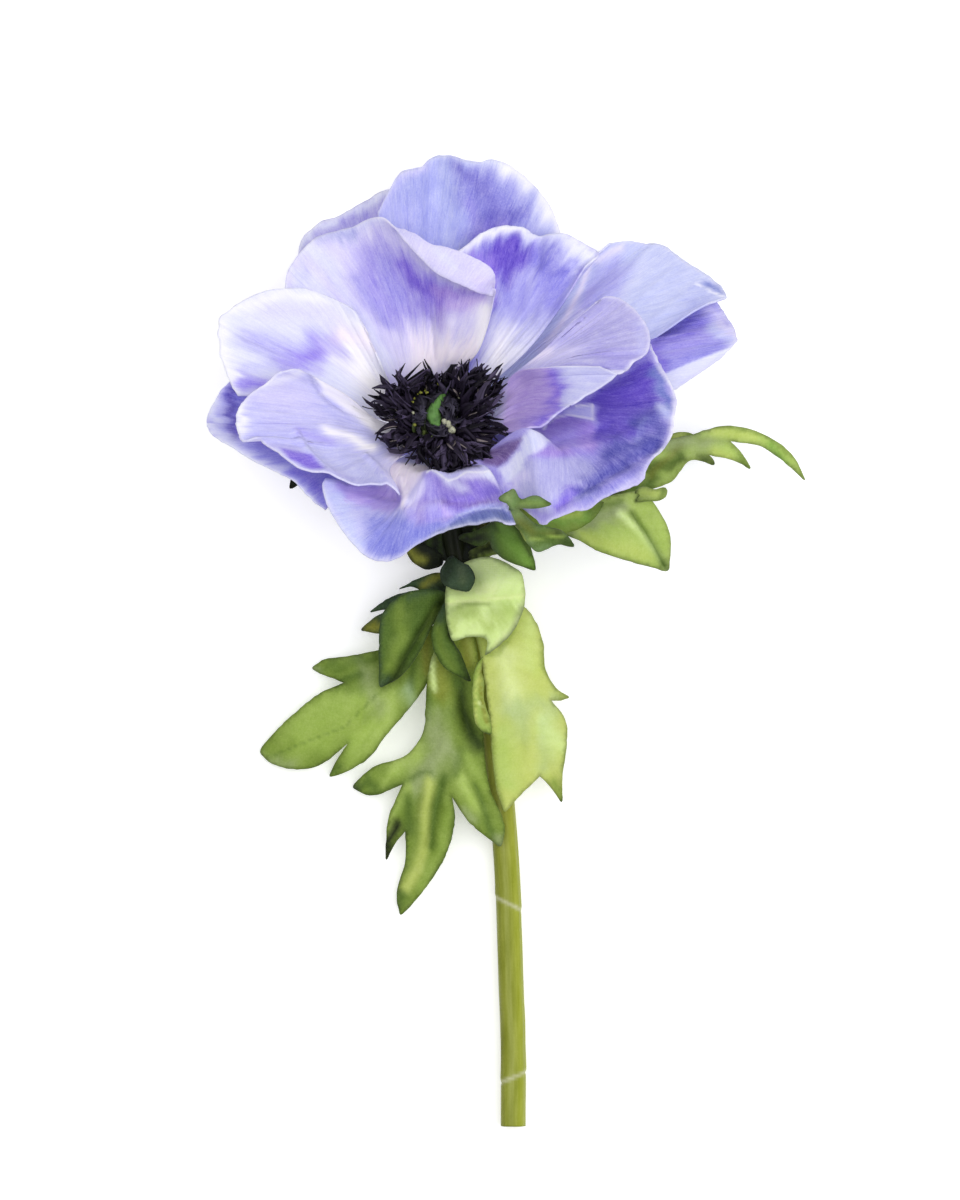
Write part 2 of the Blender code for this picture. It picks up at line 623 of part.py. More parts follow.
def turned_on_bloom(name, profile, colour, steps, parent, collection):
    """A solid turned about the bloom's axis from a profile of (radius, height) points."""
    mesh = bpy.data.meshes.new(name)
    points = [(radius * MM, 0.0, height * MM) for radius, height in profile]
    mesh.from_pydata(points, [(i, i + 1) for i in range(len(points) - 1)], [])
    item = new_object(name, mesh, make_material(name, colour, 0.55), parent, collection)
    item.rotation_mode = "QUATERNION"
    item.rotation_quaternion = BLOOM_NORMAL.to_track_quat("Z", "Y")
    screw = item.modifiers.new("turn", "SCREW")
    screw.steps = steps
    screw.render_steps = steps
    screw.use_merge_vertices = True
    screw.merge_threshold = 0.00001
    screw.use_smooth_shade = True


def make_receptacle(parent, collection):
    r = RECEPTACLE_RADIUS
    profile = [
        (0, RECEPTACLE_TOP), (0.6 * r, 0.6), (0.93 * r, 0.2), (r, -0.8), (r, -4.0),
        (0.95 * r, 1.9 - RECEPTACLE_DEPTH), (0.75 * r, 0.7 - RECEPTACLE_DEPTH),
        (0.6 * r, -RECEPTACLE_DEPTH), (0, -RECEPTACLE_DEPTH),
    ]
    turned_on_bloom("receptacle", profile, STEM_GREEN, 20, parent, collection)


def make_pistil(parent, collection):
    bottom = RECEPTACLE_TOP + TOUCH_GAP
    shoulder = bottom + PISTIL_SIDE_HEIGHT
    dome = [
        (PISTIL_RADIUS * math.cos(a), shoulder + PISTIL_DOME_HEIGHT * math.sin(a))
        for a in np.radians(np.linspace(90, 0, 7))
    ]
    dome[0] = (0, dome[0][1])
    profile = [*dome, (PISTIL_RADIUS * 0.95, bottom), (0, bottom)]
    turned_on_bloom("pistil", profile, PISTIL_GREEN, 20, parent, collection)


def make_stamens(name, foot_height, tip_radius, tip_height, parent, collection):
    """A crown of spikes round the pistil, steeper at the back and spread wider at the front."""
    work = bmesh.new()
    rings = []
    for share in (0.0, 0.3, 1.0):
        ring = []
        for i in range(2 * STAMEN_SPIKES):
            angle = math.pi * i / STAMEN_SPIKES
            reach = share if i % 2 else share * SHORT_SPIKE
            radius = STAMEN_RING_RADIUS + reach * (tip_radius - STAMEN_RING_RADIUS)
            radius -= reach * STAMEN_LEAN * math.sin(angle)
            height = foot_height + reach * (tip_height - foot_height)
            height += reach * STAMEN_LEAN * math.sin(angle)
            place = on_bloom(angle, radius, height)
            ring.append(work.verts.new(place * MM))
        rings.append(ring)
    for lower, upper in zip(rings, rings[1:]):
        for i in range(len(lower)):
            j = (i + 1) % len(lower)
            work.faces.new((lower[i], lower[j], upper[j], upper[i]))
    mesh = bpy.data.meshes.new(name)
    work.to_mesh(mesh)
    work.free()
    crown = new_object(name, mesh, make_material(name, STAMEN_BLACK, 0.5), parent, collection)
    thicken(crown, STAMEN_THICKNESS)


def main():
    clear_scene()
    collection = bpy.data.collections.new("anemone flower")
    bpy.context.scene.collection.children.link(collection)
    heart = bpy.data.objects.new("heart", None)
    heart.location = HEART
    collection.objects.link(heart)
    make_stem(heart, collection)
    make_receptacle(heart, collection)
    make_pistil(heart, collection)
    for name, crown in STAMEN_CROWNS.items():
        make_stamens(name, *crown, heart, collection)
    for name, (layer, base_angles, colour, ribs) in PETALS.items():
        make_petal(name, layer, base_angles, colour, ribs, heart, collection)
    for name, leaf in LEAVES.items():
        make_leaf(name, leaf["colour"], leaf["edge"], leaf["veins"], heart, collection)


main()
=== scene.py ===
"""The looks of a cut anemone of dyed cloth: petals, stamens, leaves and stem round the CAD frame.

Places are in millimetres from the heart of the bloom, where the stamens grow, with +Y along the
stem towards the bloom and +Z up, and "in plan" means seen from above. Petals, leaves and stem
have the CAD's control points, apart from a few ribs and outlines.
"""

import math
from collections import namedtuple

import bpy
import numpy as np
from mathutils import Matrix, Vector
from mathutils.geometry import delaunay_2d_cdt


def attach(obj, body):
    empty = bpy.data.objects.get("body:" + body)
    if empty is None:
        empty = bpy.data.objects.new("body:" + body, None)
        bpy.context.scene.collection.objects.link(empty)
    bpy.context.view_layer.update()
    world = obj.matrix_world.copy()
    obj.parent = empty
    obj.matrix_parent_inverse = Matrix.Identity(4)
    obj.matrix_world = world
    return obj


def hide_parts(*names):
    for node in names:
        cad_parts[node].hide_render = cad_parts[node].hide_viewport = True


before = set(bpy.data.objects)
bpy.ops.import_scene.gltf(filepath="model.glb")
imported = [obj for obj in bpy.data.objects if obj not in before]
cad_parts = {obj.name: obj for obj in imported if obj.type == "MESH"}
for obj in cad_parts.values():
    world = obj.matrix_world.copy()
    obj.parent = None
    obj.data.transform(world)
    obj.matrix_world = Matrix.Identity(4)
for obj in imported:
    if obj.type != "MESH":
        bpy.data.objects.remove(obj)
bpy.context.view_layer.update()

MM = 0.001
# Steps between two control points of a smooth line.
CURVE_STEPS = 24

# The bloom: its heart in the frame of the part, and the directions it faces.
HEART = np.array([-12.2, 37.0, 20.6])
BLOOM_NORMAL = Vector((-0.08, 0.62, 0.78)).normalized()
BLOOM_RIGHT = (Vector((1, 0, 0)) - BLOOM_NORMAL * BLOOM_NORMAL.x).normalized()
BLOOM_UP = BLOOM_NORMAL.cross(BLOOM_RIGHT)
BLOOM_AXIS = np.array(BLOOM_NORMAL)

# Camera, floor and light.
CAMERA_DISTANCE = 1200.0
CAMERA_OVER = (7.31, -29.75)
FRAME_HEIGHT = 204.0
SENSOR = 36.0
WORLD_STRENGTH = 0.52
FLOOR_SIDE = 8.0
FLOOR_GLOW = 0.30
# Each lamp: its place in metres, the width of its disk and its power.
LAMPS = {
    "key": ((0.50, 0.10, 1.00), 0.8, 4.6),
    "front": ((0.05, -0.10, 1.30), 0.6, 2.7),
    "fill": ((-0.35, 0.45, 1.10), 0.8, 3.0),
}

# Petals: where they stand, their cloth, and the threads and pale rims of their dye.
PETAL_RING_RADIUS = 4.25
PETAL_LAYER_DROP = 1.15
BOWL_FLOOR_RADIUS = 9.5
BOWL_FLOOR_RISE = 1.8
PETAL_THICKNESS = 0.32
PETAL_ALONG = 72
PETAL_ACROSS = 84
RIM_FADE_COLUMNS = 6
RIM_MOVE_START = 0.35
PLEAT_HEIGHT = 0.16
PLEAT_WIDTH = 1.3
CREASE_HEIGHT = 0.07
CREASE_WIDTH = 0.6
WAVE_HEIGHT = 0.30
WAVE_WIDTH = 8
WAVE_LENGTH = 9
RIM_WAVE_HEIGHT = 0.28
RIM_WAVE_WIDTH = 3.2
FRAY_DEPTH = 0.14
FRAY_WIDTH = 0.7
PLEATS_ALONG = 2.5
CREASES_ALONG = 4
RIM_WAVES_ALONG = 3
RIM_PALENESS = 0.36
SIDE_PALENESS = 0.4
SIDE_PALE_START = 0.4
SIDE_PALE_END = 0.7
SIDE_PALE_OFF = 8
BASE_WIDTH_SHARE = 0.25
PALE_REACH = 0.5
THREAD_STRENGTH = 0.16
THREAD_WIDTH = 0.8
THREADS_ALONG = 1.5

# The threads of the weave of petals and leaves, and the scale at which Blender's wave texture has
# its bands one unit apart.
WEAVE_PITCH = 0.3
WAVE_SCALE = 0.314

# Leaves: their cut edges, main and side veins, and the bumps of their cloth.
LEAF_THICKNESS = 0.3
LEAF_STEP = 0.62
LEAF_EDGE_GAP = 0.6 * LEAF_STEP
LEAF_SWAY = 0.10
LEAF_SWAY_PACE = 0.9
TIP_ROUNDS = 2
LEAF_FOLD = 0.12
VEIN_CORE = 0.6
VEIN_SHARPNESS = 4
VEIN_DEPTH = 0.22
VEIN_REACH = 0.45
SIDE_VEIN_SPACING = 2.6
SIDE_VEIN_SLANT = 0.9
SIDE_VEIN_REACH = 0.14
SIDE_VEIN_DEPTH = 0.05
SIDE_VEIN_SHADE = 0.05
SIDE_VEIN_START = 0.2
SIDE_VEIN_FULL = 1.0
BUCKLE_START = 0.3
BUCKLE_FULL = 3
BUCKLE_HEIGHT = 0.35
BUCKLE_SIZE = 4.5
GRAIN_HEIGHT = 0.10
GRAIN_SIZE = 1.3
EDGE_CURL_HEIGHT = 0.35
EDGE_CURL_SIZE = 2.4
EDGE_CURL_REACH = 1.2
EDGE_SHADE = 0.35
EDGE_SHADE_REACH = 0.35

# Stem, with its neck painted dark as shadow, its brown stretch and mould marks, and receptacle.
STEM_RADIUS = 2.2
STEM_RINGS = 260
STEM_SEGMENTS = 48
STEM_BUMP_HEIGHT = 0.05
STEM_BUMP_LENGTH = 6
STEM_BUMPS_ROUND = 3.2
NECK_DEPTH = 11.0
NECK_SHADE_START = 84
NECK_SHADE_END = 98
BROWN_PLACE = 70
BROWN_REACH = 14
SCAR_REACH = 0.35
SCAR_DEPTH = 0.12
SCAR_STEP = 0.16
SCAR_STEP_LENGTH = 2.0
RECEPTACLE_RADIUS = 3.9
RECEPTACLE_DEPTH = 7.0
RECEPTACLE_RIBS = 12
RECEPTACLE_RIB_HEIGHT = 0.03
RECEPTACLE_RINGS = 40
RECEPTACLE_SEGMENTS = 72

# Pistil: its dome, the curls round it, the tongue and the grains. Ranges are for random draws,
# and shades multiply a colour. The tops of the dome and its bumps, and the raised middle of the
# tongue, are painted lighter as highlights.
PISTIL_FOOT = 0.75
DOME_MIDDLE = 2.6
DOME_SHIFT = np.array([-0.3, -0.8, 0.0])
DOME_RADIUS = 4.1
DOME_CORE_RADIUS = DOME_RADIUS - 0.15
DOME_RINGS = 26
DOME_SEGMENTS = 56
DOME_BUMP_HEIGHT = 0.16
DOME_BUMP_PACE = 5
DOME_BUMP_HIGHLIGHT = 2.5
DOME_TOP_HIGHLIGHT = 1.4
PISTIL_SEED = 31
CURL_COUNT = 78
CURL_STEPS = 7
CURL_STEP = 0.42
CURL_WIDTHS = (0.8, 1.6)
CURL_FOLDS = (0.2, 1.0)
CURL_TILTS = (-0.9, 0.9)
CURL_PLACES = (0.05, 0.98)
CURL_HEADINGS = (1.0, 2.0)
CURL_BENDS = (-0.5, 0.5)
CURL_SHADES = (0.4, 2.4)
CURL_LIFT = 0.1
CURL_ARCH = 0.5
CURL_SQUASH = 0.95
OLIVE_REACH = 1.6
OLIVE_CHANCE = 0.6
TONGUE_RINGS = 22
TONGUE_WIDTHS = (0.85, 1.1)
TONGUE_SHADES = (0.6, 1.3)
GRAIN_LIFT = 0.85
GRAIN_RADIUS_SHARE = 0.62
GRAIN_SHIFTS = (-0.35, 0.35)
GRAIN_SHADES = (0.75, 1.25)
BEAD_RINGS = 4
BEAD_SEGMENTS = 8
BEAD_SQUASHES = (0.7, 1.25)
BEAD_BUMPS = (0.88, 1.12)
BEAD_SHADES = (0.8, 1.2)

# Stamens: strips of cloth from their feet to their tips; some are painted lighter as highlights,
# and some carry a pale line of painted sheen.
FOOT_TURNS = (-0.3, 0.3)
FOOT_SHARES = (0.8, 1.1)
FOOT_SINK = 0.4
TIP_HEIGHT = 1.8
TIP_CLIMB = 0.55
TIP_CLIMB_POWER = 0.9
TIP_SLANT = 0.42
TIP_LIFT = 0.8
TIP_SPREAD = 0.5
MIDDLE_SHARES = (0.35, 0.65)
MIDDLE_BULGES = (0.0, 1.5)
MIDDLE_SPREAD = 0.7
NEAR_SIDE_BULGE = 0.3
LENGTH_SHARES = (0.80, 1.0)
END_SPREAD = 0.25
END_CURL = 0.12
BUNCH_SHARE = 0.85
STRIP_POINTS = 10
STRIP_WIDTHS = (0.8, 1.7)
STRIP_FOLDS = (-0.6, 1.4)
STRIP_TILTS = (-1.6, 1.6)
STRIP_SHADES = (0.2, 1.6)
STRIP_CREST = 0.05
STRIP_KEEL = 0.13
# Painted light on each strip: lighter at its two edges, darker along its middle and underside.
STRIP_CORNER_LIGHT_AND_SHADE = (1.5, 0.75, 1.5, 0.6)
# Some strips are painted lighter as highlights, and some carry a pale line of painted sheen.
HIGHLIGHT_BELOW = 0.3
HIGHLIGHT_SHADES = (0.5, 1.4)
SHEEN_ABOVE = 0.86
SHEEN_SHADES = (0.4, 1.2)
SHEEN_PART = slice(4, 8)
SHEEN_WIDTHS = (0.25, 0.45)
SHEEN_LIFT = 0.28
STRIP_CLEARANCE = 0.5
CLEARING_ROUNDS = 4
CLEARING_MOST = 2
BOWL_REACH = 19.0
# Each crown of stamens: the height of its feet, their radius and a seed.
STAMEN_CROWNS = {
    "stamens_inner": (1.4, 4.6, 11),
    "stamens_middle": (1.2, 4.5, 22),
    "stamens_outer": (1.0, 4.5, 23),
}

# How the outlines of the painted strokes, dye and painted shade alike, wander: everywhere, and along
# the threads that run out of the heart, which are counted round the bloom in coarse and fine bundles.
WANDER_WIDTH = 3
WANDER_SHARE = 0.4
WANDER_MOST = 1.8
FEATHER_DEPTH = 0.8
FEATHER_START = 6
FEATHER_END = 16
COARSE_THREADS = 22
FINE_THREADS = 60

# The petals given the pale slot's name, and the leaves given the dark one's.
PALE_PETALS = {"petal_back_left", "petal_back_right", "petal_left", "petal_lower_left",
               "petal_inner_right", "petal_inner_small"}
DARK_LEAVES = {"leaf_folded_dark", "leaf_left_points", "leaf_narrow_dark", "leaf_under_bloom",
               "leaf_small_blue", "leaf_left_tip", "leaf_brown", "scrap_shade_left",
               "scrap_shade_right"}

# Colours of dye and of painted shade, shadow and highlight, in linear light.
COLOURS = {
    "bright_white": (1.00, 0.97, 1.00),
    "white": (0.90, 0.89, 0.98),
    "rose_white": (0.99, 0.90, 1.00),
    "pink_white": (0.84, 0.79, 0.95),
    "mist": (0.76, 0.77, 0.95),
    "pale_lilac": (0.70, 0.66, 0.93),
    "lavender": (0.57, 0.56, 0.90),
    "pale_blue": (0.58, 0.62, 0.92),
    "grey_mist": (0.58, 0.58, 0.87),
    "grey_lilac": (0.50, 0.47, 0.80),
    "grey_blue": (0.40, 0.41, 0.74),
    "pink_lilac": (0.58, 0.44, 0.85),
    "lilac": (0.40, 0.35, 0.80),
    "bright_lilac": (0.38, 0.31, 0.86),
    "orchid": (0.38, 0.26, 0.72),
    "orchid_pale": (0.48, 0.35, 0.77),
    "orchid_shade": (0.27, 0.19, 0.60),
    "mauve": (0.34, 0.26, 0.58),
    "mauve_shade": (0.18, 0.11, 0.32),
    # Painted shadow inside the bowl under the stamens.
    "bowl_shadow": (0.05, 0.03, 0.09),
    "periwinkle": (0.33, 0.31, 0.77),
    "sky_violet": (0.41, 0.43, 0.81),
    "slate_violet": (0.24, 0.22, 0.66),
    "slate_blue": (0.24, 0.25, 0.70),
    "violet": (0.25, 0.17, 0.72),
    "bright_violet": (0.30, 0.20, 0.76),
    "deep_violet": (0.15, 0.09, 0.57),
    "deep_shade": (0.15, 0.10, 0.54),
    "violet_shade": (0.25, 0.18, 0.61),
    "shade_violet": (0.17, 0.15, 0.53),
    "lilac_grey": (0.47, 0.46, 0.78),
    "haze": (0.57, 0.60, 0.88),
    "blue_shade": (0.20, 0.22, 0.64),
    # Painted shade on the rolled rim of the front petal's lip.
    "lip_shade_blue": (0.12, 0.15, 0.40),
    "steel_violet": (0.13, 0.10, 0.46),
    "steel_blue": (0.17, 0.21, 0.57),
    "steel_shade": (0.10, 0.10, 0.42),
    "grain": (0.26, 0.27, 0.05),
    "cream": (0.42, 0.43, 0.30),
    "olive": (0.07, 0.09, 0.02),
    "leaf_white": (0.74, 0.84, 0.38),
    "leaf_pale": (0.70, 0.87, 0.34),
    "leaf_mint": (0.40, 0.54, 0.28),
    "leaf_yellow": (0.53, 0.61, 0.15),
    "leaf_lime": (0.52, 0.62, 0.13),
    "leaf_bright": (0.42, 0.56, 0.13),
    "leaf_light": (0.32, 0.45, 0.085),
    "leaf_green": (0.21, 0.40, 0.06),
    "leaf_sage": (0.17, 0.28, 0.09),
    "leaf_mid": (0.19, 0.28, 0.040),
    "leaf_grey": (0.32, 0.39, 0.17),
    "leaf_shade": (0.078, 0.14, 0.018),
    "leaf_dark": (0.028, 0.052, 0.006),
    # Near-black painted shadow, for leaves and parts of leaves in shade.
    "leaf_black_shade": (0.006, 0.009, 0.003),
    "leaf_olive": (0.24, 0.25, 0.03),
    "leaf_blue": (0.045, 0.085, 0.035),
    # Stem: painted light on one side and in its grooves, painted shade on the other side, and painted
    # shadow at the neck.
    "stem_lit_side": (0.32, 0.36, 0.035),
    "stem_shaded_side": (0.19, 0.21, 0.028),
    "stem_groove_highlight": (0.30, 0.33, 0.075),
    "stem_scar": (0.62, 0.62, 0.42),
    "stem_brown": (0.30, 0.28, 0.07),
    "stem_neck_shadow": (0.003, 0.005, 0.002),
    "pith_edge": (0.42, 0.46, 0.16),
    "pith": (0.52, 0.54, 0.26),
    "pith_core": (0.30, 0.30, 0.14),
    "pith_centre": (0.16, 0.15, 0.08),
    "receptacle": (0.16, 0.21, 0.05),
    "dome": (0.010, 0.009, 0.012),
    "curl": (0.024, 0.021, 0.034),
    "olive_curl": (0.030, 0.042, 0.012),
    "tongue": (0.085, 0.19, 0.045),
    "strip": (0.013, 0.009, 0.020),
    # Painted highlights on the stamens: lighter strips, and pale lines of sheen.
    "strip_highlight": (0.062, 0.048, 0.092),
    "sheen_line": (0.26, 0.22, 0.22),
}

# Each petal: its layer on the receptacle, the two ends of its base as angles round the bloom in
# degrees, and its ribs from one side to the other, each from the bowl to the rim.
PETALS = {
    "petal_top": (3, (106, 68), [
        [(-7, 18, -7), (-10.5, 36.5, -10)],
        [(-5, 22, -9), (-7.5, 43, -12)],
        [(-2, 23.5, -10), (-1, 46.5, -13)],
        [(1.5, 24, -10), (6, 46, -13)],
        [(6, 24, -11), (14, 44, -14)],
        [(10, 21, -10), (19.5, 38, -14)],
        [(11, 15.5, -9), (21.5, 32, -13)],
    ]),
    "petal_back_left": (4, (146, 112), [
        [(-15, 15.5, -8), (-24, 28.5, -13)],
        [(-14, 19, -10), (-23.5, 32.5, -17)],
        [(-12, 21.5, -12), (-19.5, 36, -20)],
        [(-9, 22.5, -13), (-12.5, 39.5, -20)],
        [(-6.5, 22, -12), (-6, 40.5, -18)],
        [(-4.5, 18, -10), (-3.5, 36.5, -15)],
    ]),
    "petal_back_right": (3, (60, 26), [
        [(13.5, 15.5, -8), (26.5, 29.5, -14)],
        [(16.5, 17.5, -10), (32, 32, -19)],
        [(20, 18, -10), (37.5, 32, -20)],
        [(22.5, 17, -9), (43.5, 28.5, -16)],
        [(25, 15, -7), (49.5, 22.5, -9)],
        [(25.5, 9, -4), (46.5, 20.5, -4)],
    ]),
    "petal_right": (4, (22, -8), [
        [(24.5, 14, -8), (47, 21, -9)],
        [(26.5, 12.5, -6), (50, 18, -5)],
        [(28, 11, -3), (51, 15.5, -1)],
        [(28, 8.5, 0), (49, 12, 2)],
        [(27.5, 4.5, 2), (40.5, 6, 3)],
    ]),
    "petal_upper_right": (2, (84, 52), [
        [(4, 15.5, -3.5), (3, 28, -5)],
        [(5.5, 17.5, -4.5), (6.5, 32, -6)],
        [(8, 18.5, -5), (11, 34, -7)],
        [(10.5, 18.5, -5), (16, 33.5, -8)],
        [(13.5, 18, -5), (21.5, 33.5, -9)],
        [(15.5, 16.5, -4), (27.5, 30, -10)],
        [(16.5, 14, -2), (25.5, 27, -6)],
    ]),
    "petal_upper_left": (1, (138, 100), [
        [(-15.5, 13.5, -2), (-23.5, 20.5, -3), (-26, 23, -3)],
        [(-15, 18, -3), (-21.5, 24, -5.5), (-25, 27.5, -6)],
        [(-12.5, 20.5, -4), (-18, 28, -7), (-21, 32, -8)],
        [(-9, 21.5, -4), (-13, 30, -7), (-15, 34, -8)],
        [(-4.5, 21.5, -3.5), (-8.5, 33, -4), (-9.5, 35.5, -4)],
        [(-1, 20.5, -2), (-4, 32.5, 1.5), (-5, 30.5, 3)],
        [(1.5, 18.5, 0), (2.5, 29.5, 6), (0, 25.5, 7.5)],
        [(5.5, 16, 0.5), (9, 26, 8), (6, 22.5, 9)],
        [(7, 12.5, -1), (10, 23, 6.5), (9.5, 21.5, 7)],
    ]),
    "petal_left": (0, (140, 178), [
        [(-10, 11.5, 1), (-12.5, 17, 1)],
        [(-12.5, 12.5, 0.5), (-18, 21.5, 0)],
        [(-15.5, 12, 0.5), (-26, 23.5, -1)],
        [(-18, 11, 1), (-32.5, 21, 1)],
        [(-20, 9, 2), (-37.5, 17, 4)],
        [(-20.5, 6, 2.5), (-37, 11, 7)],
        [(-20, 4, 3), (-34, 4.5, 9)],
    ]),
    "petal_outer_left": (2, (184, 226), [
        [(-20, 2, 0), (-34.5, 7, 6)],
        [(-20.5, 0, 1), (-38.5, 2.5, 7)],
        [(-20, -2.5, 2), (-38, -2, 9)],
        [(-18.5, -4.5, 3.5), (-30.5, -6, 12)],
        [(-16, -6.5, 5.5), (-23.5, -10, 15)],
        [(-13, -8, 7), (-18.5, -14.5, 18)],
    ]),
    "petal_lower_left": (0, (180, 228), [
        [(-15.5, 5, 6.5), (-23, 9, 14)],
        [(-16.5, 3.5, 6.5), (-29, 6, 17)],
        [(-17, 1, 7), (-33, 3, 19)],
        [(-16.5, -1, 7), (-33.5, -0.5, 20)],
        [(-15.5, -3, 8.5), (-32.5, -3, 20)],
        [(-14, -5, 9.5), (-26, -6, 21)],
        [(-11, -6.5, 10.5), (-16, -9, 23)],
        [(-8, -8, 11.5), (-6, -12.5, 24)],
    ]),
    "petal_front": (1, (232, 282), [
        [(-7.5, -6.5, 6.5), (-11, -10, 16), (-18.5, -9.5, 20)],
        [(-6, -7, 7), (-10, -13.5, 20), (-17.5, -14.5, 25)],
        [(-4.5, -7.5, 7.5), (-7.5, -15, 23), (-14, -20.5, 29)],
        [(-3, -8, 8), (-4, -11.5, 23), (-9.5, -23.5, 31)],
        [(-1, -8, 8.5), (-1.5, -9, 22), (-2, -20, 30)],
        [(1.5, -8, 9), (2, -10, 21), (4.5, -17.5, 28)],
        [(4, -7.5, 9), (5.5, -9, 21), (10, -17, 27)],
        [(6, -7, 9), (9, -8.5, 20.5), (13, -17, 25)],
    ]),
    "petal_lower_right": (2, (286, 350), [
        [(4, -6.5, 7), (7.5, -8.5, 14), (9, -12, 17)],
        [(7.5, -5.5, 7.5), (12.5, -6, 17.5), (13.5, -14, 20.5)],
        [(8.5, -5, 8), (15.5, -1.5, 19), (17, -16.5, 27)],
        [(10.5, -4, 8), (19, -3.5, 17), (20.5, -16.5, 29)],
        [(13.5, -2.5, 6.5), (22, -5.5, 16.5), (27, -13, 28)],
        [(16, -1, 5.5), (26, -4, 15.5), (34.5, -10.5, 26)],
        [(18, 1, 4.5), (29, -0.5, 14), (39, -2.5, 21)],
        [(19, 3.5, 3.5), (30, 3, 12), (40, 3.5, 17)],
        [(19, 6, 2), (29.5, 6.5, 8.5), (38.5, 9.5, 12)],
        [(18, 8, -0.5), (27.5, 10.5, 4.5), (36.5, 13.5, 8)],
    ]),
    "petal_inner_right": (1, (40, 5), [
        [(18.5, 13, 1), (27.5, 21.5, 7)],
        [(20, 12.5, 2), (32.5, 20.5, 9)],
        [(21, 12, 3.5), (35.5, 17, 11)],
        [(21.5, 10.5, 5), (36, 12.5, 13)],
        [(20.5, 9.5, 7), (31.5, 8.5, 14)],
        [(18.5, 8.5, 6), (28, 8.5, 13)],
    ]),
    "petal_inner_small": (0, (8, -34), [
        [(13, 8.5, 4), (19, 9.5, 12), (27.5, 9.5, 18)],
        [(14, 6.5, 3.5), (19.5, 7.5, 12.5), (29.5, 7.5, 19)],
        [(13.5, 4, 4), (20, 4.5, 13), (24, 3.5, 18)],
        [(13.5, 2, 5), (19, 2, 13.5), (21.5, 2, 17)],
        [(12.5, 0, 6.5), (16.5, 0, 14), (18.5, -0.5, 17)],
        [(11.5, -1.5, 8), (13.5, -1.5, 13), (15, -1, 16.5)],
    ]),
}

